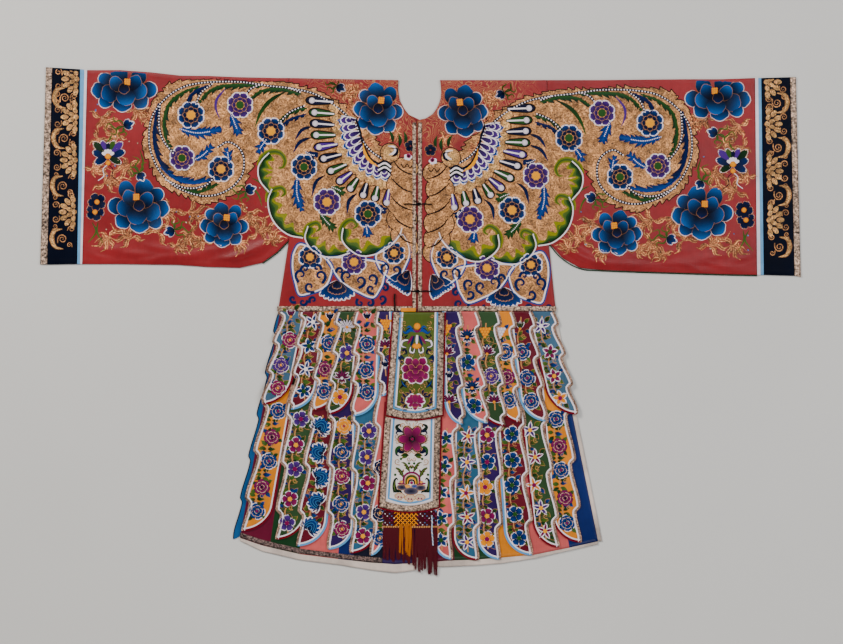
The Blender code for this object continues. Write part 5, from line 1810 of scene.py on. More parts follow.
# Scrolls on the lower petals and along the red below them: place, size, turn, hand
LOW_SCROLLS = (
    (301, 275, 5.0, 150, 1), (320, 276, 5.0, 30, -1), (310, 287, 4.6, 90, 1), (305, 269, 3.2, 200, 1),
    (317, 268, 3.2, 340, -1), (347, 276, 4.8, 160, 1), (360, 281, 4.8, 60, -1), (372, 279, 4.4, 20, -1),
    (371, 289, 3.8, 100, 1), (340, 271, 3.0, 200, 1), (386, 268, 4.2, 160, 1), (396, 270, 4.0, 40, -1),
    (293, 299, 3.0, 90, 1), (303, 302, 3.2, 20, 1), (313, 300, 3.0, 180, 1), (360, 303, 3.2, 200, -1),
    (370, 303, 3.0, 340, 1), (382, 299, 3.6, 60, -1), (385, 288, 3.0, 300, 1),
)
# Feather fans: place, first and last direction, length
FANS = ((337, 281, 40.0, 140.0, 22.0), (409, 271, 94.0, 154.0, 24.0))


def butterfly_ground(gold_work, line_work):
    """The couched gold that fills the wings, and the dark flames round it."""
    top = flamed(EDGE_TOP, 3.6)
    tail = flamed(EDGE_TAIL, -4.0)
    lobes = [curve(part, 1.5) for part in (LOBE_D[::-1], LOBE_C[::-1], LOBE_B[::-1], LOBE_A[::-1])]
    body = curve(BODY_EDGE[::-1], 1.5)[1:-1]
    outline = np.vstack([top, body, lobes[0], lobes[1][1:], lobes[2], lobes[3][1:], tail[:-1]])
    gold_work.fill(outline, GOLD)
    for edge in (top, tail):
        line_work.line(edge, 0.9, INK, 0.2, 0.15, smoothed=False)
    for number, petal_line in enumerate(LOW_PETALS):
        closed = curve(petal_line, 1.2, closed=True)
        gold_work.raise_by = 0.04 * (number + 1)
        gold_work.fill(closed[:-1], GOLD)
        gold_work.raise_by = 0.0
        line_work.line(closed, 1.3, BLUE, 0.24, 0.3)
        toward = side_of(closed) * np.sign(np.sum(side_of(closed) * (closed.mean(axis=0) - closed)))
        line_work.line(closed + toward * 1.6, 1.5, WHITE, 0.28, 0.35)


# The waves inside a lobe, from below: breadth, swing, shift, dye, dye at the edge and lift
LOBE_WAVES = (
    (10.5, 4.2, 1.2, LIME, LIME, 0.22), (7.0, 2.8, 0.6, GREEN, LEAF, 0.28),
    (4.0, 1.6, 0.0, GREEN_DEEP, GREEN, 0.36),
)


def lobe_shading(work, outline, curl_line):
    """Waves of green and lime inside a lobe's white edge, with a curl at its upper end."""
    line = curve(outline, 1.0)
    inside = line + side_of(line) * 0.9
    share = np.linspace(0.0, 1.0, len(line))
    swell = np.sin(np.pi * np.clip(0.08 + share * 0.9, 0.0, 1.0)) ** 0.5
    for breadth, swing, shift, tint, edge, lift in LOBE_WAVES:
        wave = swell * (breadth + swing * np.sin(share * 25.0 + shift))
        work.band(inside, wave, 0.05, tint, lift, 0.1, edge=edge, smoothed=False, columns=5)
    work.line(curl_line, (5.5, 6.5, 6.0, 5.5, 4.5, 3.5, 1.0), GREEN, 0.3, 0.3, edge=LIME)
    work.line(line, 1.3, WHITE, 0.5, 0.4, smoothed=False)


# An eyed feather's half width at shares of its length
EYED_SHAPE = np.array((
    (0.0, 0.46), (0.2, 0.66), (0.45, 0.84), (0.68, 1.0), (0.84, 0.92), (0.95, 0.6), (1.0, 0.12),
))
EYED_HALF_WIDTH = 4.9


def eyed_feather(work, base, tip, tint):
    """A dark feather with a white eye near its round end and a white quill."""
    base = np.asarray(base, dtype=float)
    tip = np.asarray(tip, dtype=float)
    angle = heading(base, tip)
    reach = float(np.linalg.norm(tip - base))
    layers = ((0.45, GOLD_DARK, GOLD, 0.40), (0.0, INK, INK, 0.44), (-1.3, tint, tint, 0.6))
    for grow, dark, light, rise in layers:
        half = EYED_SHAPE[:, 1] * EYED_HALF_WIDTH + grow
        along = np.column_stack([EYED_SHAPE[:, 0] * (reach + grow), np.zeros(len(EYED_SHAPE))])
        work.band(base + turned(along, angle), half, half, dark, rise, 0.12, tip=light, smoothed=False)
    eye = mix(tip, base, 0.24)
    work.line([mix(tip, base, 0.3), mix(tip, base, 0.6), mix(tip, base, 0.97)], 1.6, WHITE, 0.8, 0.12)
    work.blob(eye, 3.0, WHITE, edge=PALE, lift=0.85, crown=0.3, corners=12)


def comb(work):
    """The fan of purple and white lobes inside the forewing, with blue scallops outside it."""
    inner = curve(COMB_INNER, 0.5)
    outer = curve(COMB_OUTER, 0.5)
    for number, place in enumerate(np.linspace(0.02, 0.98, COMB_COUNT)):
        start = inner[int(place * (len(inner) - 1))]
        end = outer[int(place * (len(outer) - 1))]
        angle = heading(start, end)
        reach = float(np.linalg.norm(end - start))
        rise = 0.34 + 0.01 * number
        for share, width, dark, light, rim, lift in COMB_LAYERS:
            work.petal(start, angle, reach * share, width, dark, light, rim, lift=rise + lift, gold=None)
    work.line(inner, 2.2, NAVY_DEEP, 0.95, 0.2)
    work.line([(363, 143), (365, 153), (370, 161), (379, 167)], (0.4, 3.0, 3.0, 0.5), YELLOW, 1.05, 0.2)
    for shift, tint in ((0.0, NAVY_DEEP), (2.2, WHITE), (4.4, GREEN_DEEP), (6.2, WHITE), (8.4, NAVY_DEEP)):
        work.line([(378, 164 + shift), (385, 161 + shift), (391, 165 + shift)], 2.0, tint, 1.05, 0.2)


def butterfly_silk(work, gold_work, flowers):
    """All that is worked in silk over the gold of the wings."""
    for dark, light, breadth, points in TAIL_BANDS:
        flame_band(work, points, breadth, dark, light)
    for points in (SPIRAL_BEADS, FOREWING_BEADS, *INNER_BEADS):
        beaded(work, points)
    for dark, light, breadth, points in FEATHERS:
        feather(work, points, breadth, dark, light)
    for tint, breadth, points in BLADES:
        tip = BLUE_DEEP if tint is NAVY_DEEP else GREEN if tint is GREEN_DEEP else tint
        work.line(points, np.array((0.1, 0.8, 1.0, 0.7, 0.1)) * breadth, tint, 0.3, 0.2, tip=tip)
    for outline, curl_line in zip((LOBE_A, LOBE_B, LOBE_C, LOBE_D), CURLS):
        lobe_shading(work, outline, curl_line)
    for x, y in SCALES:
        work.blob((x, y), 6.6, INK, lift=0.3, crown=0.05, corners=16)
        gold_work.blob((x, y), 5.9, GOLD_PALE, edge=GOLD, lift=0.42, crown=0.15, corners=16)
    for base, tip, tint in EYED_FEATHERS:
        eyed_feather(work, base, tip, tint)
    comb(work)
    for x, y, radius, outer_dye, eye in flowers:
        round_flower(work, x, y, radius, outer_dye, eye)


WING_ROOT = (390, 153)
BODY_EYE = (408.5, 156.2)
NECK_FLOWER = (410.5, 146.0)
FEELERS = (((399, 147), (396, 133)), ((405, 145), (401, 130)), ((393, 143), (388, 134)))


def butterfly_body(work, gold_work):
    """The body's lobes down the centre front, the wing root, the eye and the feelers."""
    for number, (x, y, rx, ry) in enumerate(BODY_LOBES):
        rise = 0.3 + 0.08 * number
        work.blob((x, y), rx + 0.9, INK, squash=(ry + 0.9) / (rx + 0.9), lift=rise, crown=0.03, corners=28)
        gold_work.blob((x, y), rx, GOLD, edge=GOLD, squash=ry / rx, lift=rise + 0.07, crown=0.06, corners=28)
    for crease in BODY_CREASES:
        work.line(crease, (0.6, 1.5, 1.5, 0.6), INK, 0.95, 0.15)
    work.blob(WING_ROOT, 10.2, INK, lift=0.9, crown=0.03, corners=24)
    gold_work.blob(WING_ROOT, 9.4, GOLD_PALE, edge=GOLD, lift=0.98, crown=0.12, corners=24)
    work.line([(388, 146), (394, 147), (395, 152), (389, 155)], (0.4, 2.2, 3.4, 0.5), WHITE, 1.16, 0.2)
    work.line([(391, 148), (397, 149), (396, 154), (391, 157)], (0.4, 2.2, 3.2, 0.5), NAVY_DEEP, 1.22, 0.2)
    work.blob((408, 157), 4.4, WHITE, 5, 0.2, squash=0.8, lift=1.15, corners=20)
    work.blob(BODY_EYE, 2.5, MAGENTA_PALE, lift=1.3, corners=12)
    work.blob(BODY_EYE, 1.7, INK, lift=1.4, corners=12)
    work.line([(401, 164), (404, 168), (407, 164), (410, 168), (413, 164)], 0.9, INK, 1.16, 0.2)
    for start, end in FEELERS:
        work.leaf(start, heading(start, end), 14, 3.8, GREEN_DEEP, GREEN, bend=0.8, lift=0.5)
    for angle in ring_of(5, -90.0):
        base = np.asarray(NECK_FLOWER) + turned((0.8, 0.0), angle)
        work.petal(base, angle, 5.2, 5.0, NAVY_DEEP, BLUE_DEEP, 0.0, lift=1.0)


def feather_fan(work, x, y, first, last, length):
    """A fan of blue feathers edged with white, spread below the wings."""
    for number, angle in enumerate(np.linspace(first, last, 8)):
        share = abs(number - 3.5) / 3.5
        reach = length * (0.86 + 0.14 * share)
        work.petal((x, y), angle, reach, 6.6, NAVY_DEEP, BLUE, 0.9, lift=0.3, point=0.2)
    for inset, count, share, width, lift in ((14.0, 6, 0.62, 5.6, 0.6), (26.0, 3, 0.36, 4.6, 0.85)):
        for angle in np.linspace(first + inset, last - inset, count):
            work.petal((x, y), angle, share * length, width, NAVY_DEEP, BLUE_DEEP, 0.0, lift=lift)


def lower_petals(work):
    """Flowers, scrolls and feather fans below the wings."""
    for x, y, radius, outer_dye, eye in LOW_FLOWERS:
        round_flower(work, x, y, radius, outer_dye, eye)
    for x, y, size, turn, hand in LOW_SCROLLS:
        curl(work, x, y, 1.15 * size, turn, hand, 2.9, BLUE_DEEP, 0.4, 0.9)
    for fan in FANS:
        feather_fan(work, *fan)


# Sleeves: peonies, buds, small butterflies and flames on the red

# Peonies: place, half width and half height, turn, and the hand of their petals
PEONIES = (
    (124, 89, 30, 20, 10.0, -1.0), (139, 206, 27, 25, 0.0, 1.0), (224, 225, 21, 21, 20.0, -1.0),
    (378, 109, 21, 25, 30.0, -1.0),
)
PEONIES_RIGHT = (
    (123, 90, 30, 20, 10.0, -1.0), (139, 205, 27, 25, 0.0, 1.0), (224, 225, 22, 21, 20.0, -1.0),
    (378, 106, 21, 25, 30.0, -1.0),
)
# Buds: place, size and turn
BUDS = ((124, 126, 9, -20), (139, 173, 8, 60), (174, 230, 9, 160), (246, 191, 9, -20), (337, 86, 8, 30))
SMALL_FLOWERS = ((95, 212), (97, 202))
# Flames of the sleeve: place, size and turn
FLAMES = (
    (101, 117, 15, 40), (133, 110, 15, 20), (104, 183, 16, -20), (131, 166, 14, 160), (132, 238, 15, 200),
    (158, 233, 18, 250), (188, 212, 17, 10), (193, 233, 14, 120), (248, 212, 15, 60), (257, 232, 16, -30),
    (110, 237, 12, 140), (98, 138, 11, 80), (146, 118, 9, -40), (205, 243, 10, 190), (176, 245, 10, 20),
    (240, 240, 10, 90), (92, 168, 10, 10), (118, 138, 10, 200), (168, 208, 12, 90), (270, 240, 10, -20),
)
# Flames of the shoulder, near the neck
SHOULDER_FLAMES = (
    (343, 92, 10, 20), (358, 92, 9, 200), (352, 104, 9, 90), (364, 140, 9, 60), (398, 132, 8, 120),
)
# Tendrils of the sleeve
SLEEVE_STEMS = (
    ((92, 222), (96, 232), (88, 243)), ((98, 222), (97, 232), (103, 243)),
    ((112, 133), (110, 139), (104, 145)), ((140, 150), (143, 164), (136, 178)),
    ((252, 178), (262, 184), (268, 196)), ((250, 186), (258, 194), (262, 206)),
)
SMALL_BUTTERFLY = (108, 156, 16.5)
# How many sequins are tried for on a sleeve, and the field that they fall in
SEQUINS = 90
SEQUIN_ACROSS = (90, 285)
SEQUIN_DOWN = (86, 246)


def sleeve_work(work, gold_work, peonies, seed):
    """What lies on the red of a sleeve."""
    for x, y, size, turn in FLAMES + SHOULDER_FLAMES:
        flame_cluster(gold_work, x, y, size, turn)
    for flower in peonies[:3]:
        peony(work, *flower)
    for x, y, size, turn in BUDS:
        bud(work, x, y, size, turn)
    small_butterfly(work, *SMALL_BUTTERFLY)
    for number, (x, y) in enumerate(SMALL_FLOWERS):
        for angle in ring_of(5, 30.0 * number):
            work.petal((x, y), angle, 9.0, 7.5, NAVY_DEEP, BLUE_DEEP, 0.3, lift=0.35 + 0.2 * number)
        work.blob((x, y), 2.6, YELLOW, edge=AMBER, lift=0.85)
    for stem in SLEEVE_STEMS:
        work.line(stem, (0.4, 1.9, 1.5, 0.3), GREEN, 0.25, 0.2, tip=LEAF)
    chance = np.random.default_rng(seed)
    for _ in range(SEQUINS):
        x, y = chance.uniform(*SEQUIN_ACROSS), chance.uniform(*SEQUIN_DOWN)
        clear = all(math.hypot((x - p[0]) / p[2], (y - p[1]) / p[3]) > 1.05 for p in peonies)
        off_wing = x < 142 or y > 206 or (255 < x < 264 and y > 172)
        if clear and off_wing and y < 244:
            gold_work.dot((x, y), 0.8, CREAM if chance.random() < 0.5 else BLUE_PALE, 0.3, 0.4)


# Cuffs: half flowers, crescents and scrolls couched in gold along the navy band

class CuffBand(NamedTuple):
    """A cuff's navy band: its side at the stripes and at the braid, and the heights of its half flowers."""
    stripe_x: float
    braid_x: float
    middles: tuple


CUFF_BANDS = (
    CuffBand(80.0, 52.5, (79.0, 117.0, 160.0, 212.0)),
    CuffBand(763.0, 789.0, (82.0, 124.0, 171.0, 220.0)),
)
CUFF_TOP = 80.0
CUFF_LEAN = -0.02
LAST_CRESCENT = 27.0


# A half flower's rows of petals: how many, how far from its heart, their length and breadth
HALF_FLOWER_ROWS = ((7, 13.0, 7.6, 5.0), (4, 6.8, 6.2, 4.5), (1, 1.6, 5.0, 5.4))


def half_flower(gold_work, heart, way):
    """A flower cut by the stripe, its petals spread towards the braid."""
    for count, away, length, width in HALF_FLOWER_ROWS:
        for k in range(count):
            angle = 180.0 * (k + 0.5) / count - 90.0
            outward = angle + (180.0 if way > 0.0 else 0.0)
            spot = heart + turned((-away * way, 0.0), angle)
            lift = 0.28 + 0.02 * (k % 2)
            gold_work.scalloped_petal(spot, outward, length, width, GOLD, GOLD_PALE, lift=lift,
                                      outline=(NAVY_DEEP, NAVY_DEEP), waves=1.5, fade=1.0)


def cuff_work(gold_work, band):
    """Gold flowers cut by the cuff's stripe, with crescents and scrolls between them."""
    way = 1.0 if band.braid_x < band.stripe_x else -1.0
    for number, y in enumerate(band.middles):
        lean = CUFF_LEAN * (y - CUFF_TOP) * way
        edge_x = band.stripe_x + lean
        out_x = band.braid_x + lean
        half_flower(gold_work, np.array((edge_x - 1.5 * way, y)), way)
        for hand in (-1.0, 1.0):
            for x, down, size, turn, coil, width, turns in (
                    (out_x + 6 * way, 7.0, 3.6, 90 - 90 * way, hand * way, 1.0, 1.5),
                    (out_x + 5 * way, 14.5, 2.6, 90 * hand, -hand * way, 0.9, 1.3),
                    (edge_x - 6 * way, 17.0, 3.2, 200, hand * way, 0.9, 1.5)):
                curl(gold_work, x, y + down * hand, size, turn, coil, width, GOLD, 0.3, turns)
        if number:
            crescent(gold_work, out_x, (y + band.middles[number - 1]) / 2.0, way)
    low = band.middles[-1] + LAST_CRESCENT
    crescent(gold_work, band.braid_x + CUFF_LEAN * (low - CUFF_TOP) * way, low, way)


def crescent(gold_work, out_x, y, way):
    """A thick gold crescent along the braid with a scroll in its hollow."""
    hook = [(out_x + 13 * way, y - 10), (out_x + 5 * way, y - 8), (out_x + 2.5 * way, y),
            (out_x + 6 * way, y + 8), (out_x + 14 * way, y + 10)]
    gold_work.line(hook, (0.8, 4.6, 5.4, 4.0, 0.8), GOLD_DARK, 0.26, 0.15)
    gold_work.line(hook, (0.4, 3.6, 4.4, 3.0, 0.4), GOLD_PALE, 0.32, 0.35, edge=GOLD)
    curl(gold_work, out_x + 13 * way, y, 4.6, 180, way, 1.1, GOLD, 0.34, 1.7)
    curl(gold_work, out_x + 20 * way, y + 6, 2.6, 0, -way, 0.9, GOLD, 0.34, 1.4)


# Embroidery of the skirt's streamers

class Bloom(NamedTuple):
    """A flower on a streamer: where, its form, the silk of its petals and of its heart, and its turn."""
    x: float
    y: float
    form: str
    petals: str
    heart: str
    turn: float = 0.0


class Spray(NamedTuple):
    """A streamer's embroidery: the dye of its inner piping, and its flowers from the top down."""
    piping: tuple
    blooms: tuple


def spray(piping, places, *kinds, turns=None):
    """Flowers at places from the top down, each kind (form, silks of petals and heart) taken in turn."""
    turns = turns or [0.0] * len(places)
    blooms = []
    for k, (x, y) in enumerate(places):
        blooms.append(Bloom(x, y, *kinds[k % len(kinds)].split(), turns[k]))
    return Spray(piping, tuple(blooms))


SPRAYS = {
    "streamer_upper_left_6": spray(
        CRIMSON, ((291, 315), (290, 340), (281, 365), (278, 388)),
        "bud magenta yellow", "rose magenta yellow", "rose purple yellow", "rose magenta yellow"),
    "streamer_upper_left_5": spray(
        SKY, ((313, 322), (309, 346), (306, 369), (304, 391)), "lily blue white", "star blue green"),
    "streamer_upper_left_4": spray(
        CRIMSON, ((330, 318), (329, 343), (325, 369), (324, 391)),
        "bud navy blue", "rose blue magenta", "rose magenta_navy navy", "rose blue magenta"),
    "streamer_upper_left_3": spray(
        CRIMSON, ((347, 325), (347, 353), (342, 376), (340, 397)),
        "orchid white yellow", "five purple yellow", "orchid magenta white", "five yellow magenta"),
    "streamer_upper_left_2": spray(
        SKY, ((367, 318), (367, 344), (366, 370), (367, 392)),
        "bud navy yellow", "rose blue magenta", "rose blue magenta", "rose blue magenta"),
    "streamer_upper_left_1": spray(
        SKY, ((386, 325), (385, 345), (385, 366)),
        "grapes yellow yellow", "lotus magenta yellow", "bud navy white"),
    "streamer_lower_left_6": spray(
        CRIMSON, ((278, 411), (272, 437), (269, 461), (262, 487), (257, 511)),
        "rose blue magenta", "rose magenta_navy navy"),
    "streamer_lower_left_5": spray(
        CRIMSON, ((301, 419), (296, 445), (295, 469), (290, 499), (287, 523)),
        "five purple magenta", "five magenta yellow"),
    "streamer_lower_left_4": spray(
        SKY, ((322, 425), (317, 452), (322, 477), (315, 501), (312, 525)),
        "incurved blue blue", turns=(35.0, -75.0, 75.0, -60.0, 40.0)),
    "streamer_lower_left_3": spray(
        SKY, ((344, 426), (342, 452), (342, 476), (341, 504), (342, 529)),
        "rose yellow magenta", "rose blue yellow", "rose magenta yellow", "rose blue yellow",
        "rose magenta yellow"),
    "streamer_lower_left_2": spray(
        CRIMSON, ((369, 431), (367, 457), (368, 483), (364, 512), (363, 536)),
        "five purple yellow", "five purple yellow", "five magenta yellow", "five purple yellow",
        "five magenta yellow"),
    "streamer_lower_left_1": spray(
        SKY, ((381, 468), (380, 513), (380, 538)),
        "rose navy yellow", "rose navy yellow", "rose blue yellow"),
    "streamer_upper_right_1": spray(
        SKY, ((446, 330), (447, 352), (449, 377), (449, 400)),
        "grapes yellow yellow", "lotus magenta yellow", "bud navy white", "lotus magenta yellow"),
    "streamer_upper_right_2": spray(
        SKY, ((467, 335), (467, 362), (472, 386), (474, 406)), "orchid blue yellow", "five blue green"),
    "streamer_upper_right_3": spray(
        CRIMSON, ((485, 333), (487, 352), (491, 376), (494, 400)),
        "grapes yellow yellow", "lotus magenta yellow", "rose purple yellow", "lotus magenta yellow"),
    "streamer_upper_right_4": spray(
        CRIMSON, ((500, 333), (505, 352), (507, 377), (509, 400)),
        "grapes white white", "rose blue yellow", "rose magenta_navy navy", "rose blue green"),
    "streamer_upper_right_5": spray(
        SKY, ((520, 327), (522, 352), (527, 378), (531, 401)),
        "bud green yellow", "rose blue magenta", "rose blue magenta", "rose blue magenta"),
    "streamer_upper_right_6": spray(
        CRIMSON, ((541, 326), (550, 352), (554, 376), (560, 398)),
        "lily purple white", "star magenta green", "star magenta yellow", "star yellow magenta"),
    "streamer_lower_right_1": spray(
        SKY, ((446, 438), (444, 466), (441, 492), (441, 518), (441, 540)), "star blue green"),
    "streamer_lower_right_2": spray(
        CRIMSON, ((468, 436), (467, 462), (466, 493), (467, 517), (467, 542)),
        "lily magenta yellow", "lily purple yellow", "lily yellow magenta"),
    "streamer_lower_right_3": spray(
        SKY, ((487, 435), (487, 462), (485, 487), (487, 516), (487, 539)),
        "five magenta yellow", "five blue magenta", "five yellow magenta", "five magenta yellow",
        "five yellow magenta"),
    "streamer_lower_right_4": spray(
        SKY, ((512, 434), (512, 460), (512, 485), (515, 514), (519, 538)), "five blue green"),
    "streamer_lower_right_5": spray(
        CRIMSON, ((530, 430), (535, 457), (534, 485), (541, 508), (545, 531)),
        "lily purple yellow", "lily magenta yellow", "lily yellow magenta"),
    "streamer_lower_right_6": spray(
        CRIMSON, ((556, 419), (559, 446), (561, 470), (565, 498), (567, 523)),
        "rose blue magenta", "rose magenta_navy navy"),
}


class PetalRow(NamedTuple):
    """One ring of a small flower: petals, start, length and width as shares of its radius, and point."""
    count: int
    start: float
    length: float
    width: float
    point: float


BLOOM_FORMS = {
    "rose": (PetalRow(6, 0.40, 0.62, 0.80, 0.0), PetalRow(5, 0.16, 0.56, 0.66, 0.0),
             PetalRow(2, -0.10, 0.40, 0.44, 0.0)),
    "star": (PetalRow(5, 0.10, 0.98, 0.60, 0.7),),
    "five": (PetalRow(5, 0.20, 0.88, 0.86, 0.0),),
    "lily": (PetalRow(5, 0.06, 1.14, 0.44, 0.9),),
}
# Fans: the directions of the rimmed petals, of the plain ones over them, and of the leaves under them
FAN_FORMS = {
    "lotus": ((-165, -15, -142, -38, -118, -62, -90), (-125, -55, -90), ()),
    "bud": ((-122, -58, -90), (-112, -68), ()),
    "orchid": ((-170, -10, -140, -40), (-115, -65, -90), (130, 90, 50)),
}
# Sizes of the forms by the common radius
BLOOM_SIZES = {"rose": 1.14, "five": 1.06, "incurved": 1.22, "orchid": 1.16, "lotus": 1.1}
NAVY_THREAD = (NAVY_DEEP, NAVY)
BLOOM_RADIUS = 6.8


def squares_of(x, y):
    """Millimetres on the robe as drafting squares."""
    x = np.asarray(x, dtype=float)
    y = np.asarray(y, dtype=float)
    return np.stack([x / SQUARE + SHEET_CENTRE[0], SHEET_CENTRE[1] - y / SQUARE], axis=-1)


# The petals of a flower that curves in: the way, length and width of each as shares of the radius, and rim
SPREAD_PETALS = (
    (-186, 1.16, 0.34, 0.75), (6, 1.16, 0.34, 0.75), (-164, 1.30, 0.40, 0.75), (-16, 1.30, 0.40, 0.75),
)
CUPPED_PETALS = (
    (-140, 1.42, 0.60, 0.8), (-40, 1.42, 0.60, 0.8), (-118, 1.56, 0.60, 0.8),
    (-62, 1.56, 0.60, 0.8), (-98, 1.60, 0.56, 0.0), (-80, 1.52, 0.54, 0.0),
)
CUP_LINES = (0.34, 0.60, 0.86)


def incurved_flower(work, item, radius):
    """A many-petalled flower seen from its side: cupped petals over four that spread below."""
    petals = SILKS[item.petals]
    low = np.array((item.x, item.y), dtype=float) + turned((0.0, 0.72 * radius), item.turn)
    for number, (angle, length, width, rim) in enumerate(SPREAD_PETALS):
        work.petal(low, angle + item.turn, length * radius, width * radius, petals.deep, petals.tip, rim,
                   lift=0.28 + 0.03 * number, point=0.5, gold=NAVY_THREAD)
    for number, (angle, length, width, rim) in enumerate(CUPPED_PETALS):
        work.petal(low, angle + item.turn, length * radius, width * radius, petals.deep, petals.tip, rim,
                   lift=0.44 + 0.06 * number, point=0.2, gold=NAVY_THREAD, fade=0.9)
    sweep = np.linspace(-np.pi, 0.0, 11)
    for share in CUP_LINES:
        across = 0.86 * radius * share * np.cos(sweep)
        down = radius * (1.40 * share * np.sin(sweep) - 0.12)
        spine = low + turned(np.stack([across, down], axis=1), item.turn)
        work.line(spine, 1.15, petals.deep, 1.10, 0.1, smoothed=False)
        work.line(spine, 0.50, BLUE_PALE, 1.20, 0.1, smoothed=False)


def grapes(work, item):
    """A bunch of round fruit, four in its upper row and one at its foot."""
    petals = SILKS[item.petals]
    for row in range(4):
        for k in range(4 - row):
            place = (item.x + (k - (3 - row) / 2.0) * 2.9, item.y + (row - 1.5) * 2.7)
            work.blob(place, 1.7, petals.body, edge=petals.deep, lift=0.3 + 0.02 * k, corners=9)


def fan_flower(work, item, radius):
    """A flower seen from its side: a fan of rimmed petals, plain ones over them, and low leaves if any."""
    petals = SILKS[item.petals]
    heart = SILKS[item.heart]
    outer, inner, low_leaves = FAN_FORMS[item.form]
    low = np.array((item.x, item.y), dtype=float) + (0.0, 0.26 * radius)
    for number, angle in enumerate(low_leaves + outer):
        reach = 1.10 * radius * (1.0 if number >= len(low_leaves) else 0.62)
        work.petal(low, angle, reach, 0.30 * radius, petals.deep, petals.tip, 0.5,
                   lift=0.28 + 0.03 * number, point=0.6, gold=NAVY_THREAD)
    for number, angle in enumerate(inner):
        work.petal(low, angle, 1.02 * radius, 0.26 * radius, petals.deep, petals.tip,
                   lift=0.62 + 0.03 * number, point=0.5, gold=NAVY_THREAD, fade=1.0)
    work.blob(low, 0.2 * radius, heart.body, edge=heart.deep, lift=0.9, crown=0.2, corners=10)


def open_flower(work, item, radius, turn):
    """A flower seen from above, its rings of petals with gold or navy thread between them."""
    petals = SILKS[item.petals]
    heart = SILKS[item.heart]
    spot = np.array((item.x, item.y), dtype=float)
    for number, row in enumerate(BLOOM_FORMS[item.form]):
        thread = (TAN, CREAM) if number and item.form == "rose" else NAVY_THREAD
        for k, angle in enumerate(ring_of(row.count, turn + 33.0 * number)):
            base = spot + turned((row.start * radius, 0.0), angle)
            rim = 0.0 if number or item.petals == "magenta_navy" else 0.7
            if item.form == "rose" and k % 3 == 1:
                rim = 0.0
            work.petal(base, angle, row.length * radius, row.width * radius, petals.deep, petals.tip, rim,
                       lift=0.28 + 0.2 * number + 0.01 * k, point=row.point, gold=thread, fade=0.9)
    size = 0.16 if item.form == "rose" else 0.32
    work.blob(spot, size * radius, heart.body, edge=heart.body, lift=0.9, crown=0.3, corners=10)


def bloom(work, item, turn):
    """One flower of a spray, darker towards its heart."""
    radius = BLOOM_SIZES.get(item.form, 1.0) * BLOOM_RADIUS
    if item.form == "incurved":
        incurved_flower(work, item, radius)
    elif item.form == "grapes":
        grapes(work, item)
    elif item.form in FAN_FORMS:
        fan_flower(work, item, radius)
    else:
        open_flower(work, item, radius, turn)


EDGE_METAL = dye(176, 146, 128)


def between_edges(laid, line):
    """The part of a line, from its start, that lies between a streamer's two edges."""
    x, y = on_robe(line).T
    inner, outer = laid.edges(y)
    hand = laid.tier.hand
    good = (hand * (outer - x) > 0.5) & (hand * (x - inner) > 0.3) & (y > laid.row.tip_y + 0.5)
    return line[: len(line) if good.all() else max(2, int(np.argmin(good)))]


def streamer_edging(work, gold_work, laid, piping):
    """Metal and white along the scallops, and white and coloured piping down the straight edge."""
    y = laid.levels(3.0)
    inner, outer = laid.edges(y)
    scalloped = squares_of(outer, y)
    straight = squares_of(inner, y)
    hand = laid.tier.hand
    from_outer = -hand * side_of(scalloped)
    from_inner = hand * side_of(straight)
    for sewer, line, width, tint, lift in (
            (gold_work, scalloped + 0.55 * from_outer, 2.5, EDGE_METAL, 0.18),
            (work, scalloped + 2.5 * from_outer, 1.6, WHITE, 0.24),
            (work, straight + 0.7 * from_inner, 2.2, piping, 0.18),
            (work, straight + 2.4 * from_inner, 1.4, WHITE, 0.20)):
        sewer.line(between_edges(laid, line), width, tint, lift, 0.4, smoothed=False)


# A leaf's dyes, at its foot and at its tip
LEAF_DYES = ((GREEN_DEEP, GREEN), (GREEN_DEEP, LEAF), (NAVY_DEEP, BLUE), (GREEN, LEAF))
EDGED_LEAF_LIFT = 0.2


def edged_leaf(work, base, angle, length, width, dark, light, bend):
    """A leaf with a gold thread couched round it."""
    base = np.asarray(base, dtype=float)
    back = base - turned((0.4, 0.0), angle)
    work.leaf(back, angle, length + 0.8, width + 0.8, GOLD_DARK, TAN, bend, EDGED_LEAF_LIFT)
    work.leaf(base, angle, length, width, dark, light, bend, EDGED_LEAF_LIFT + 0.06)


def on_streamer(laid, place, margin):
    """Whether a place lies on a streamer, at least a margin in from both of its edges."""
    x, y = on_robe([place])[0]
    inner, outer = laid.edges(np.array([y]))
    low, high = min(inner[0], outer[0]), max(inner[0], outer[0])
    return low + margin < x < high - margin and y > laid.row.tip_y + 14.0


def scatter_leaves(work, laid, middle, angles, start, lengths, seed):
    """Leaves round a place on a streamer, each drawn in until it stays on the satin."""
    chance = np.random.default_rng(seed)
    for k, angle in enumerate(angles):
        dark, light = LEAF_DYES[(k * 5 + seed) % len(LEAF_DYES)]
        way = angle + chance.uniform(-12.0, 12.0)
        base = np.asarray(middle, dtype=float) + turned((start, 0.0), way)
        length = chance.uniform(*lengths)
        while length > 3.0 and not on_streamer(laid, base + turned((length, 0.0), way), 4.0):
            length -= 0.8
        if length > 3.0:
            bend = chance.uniform(-1.0, 1.0)
            edged_leaf(work, base, way, length, 0.42 * length + 1.4, dark, light, bend=bend)


# The ways of the leaves round a flower, and of those on the stem at shares of the run to the next flower
FLOWER_LEAVES = (38, 142, 218, 322)
STEM_LEAVES = ((0.38, (-32, 212)), (0.5, (0, 180)), (0.62, (32, 148)))


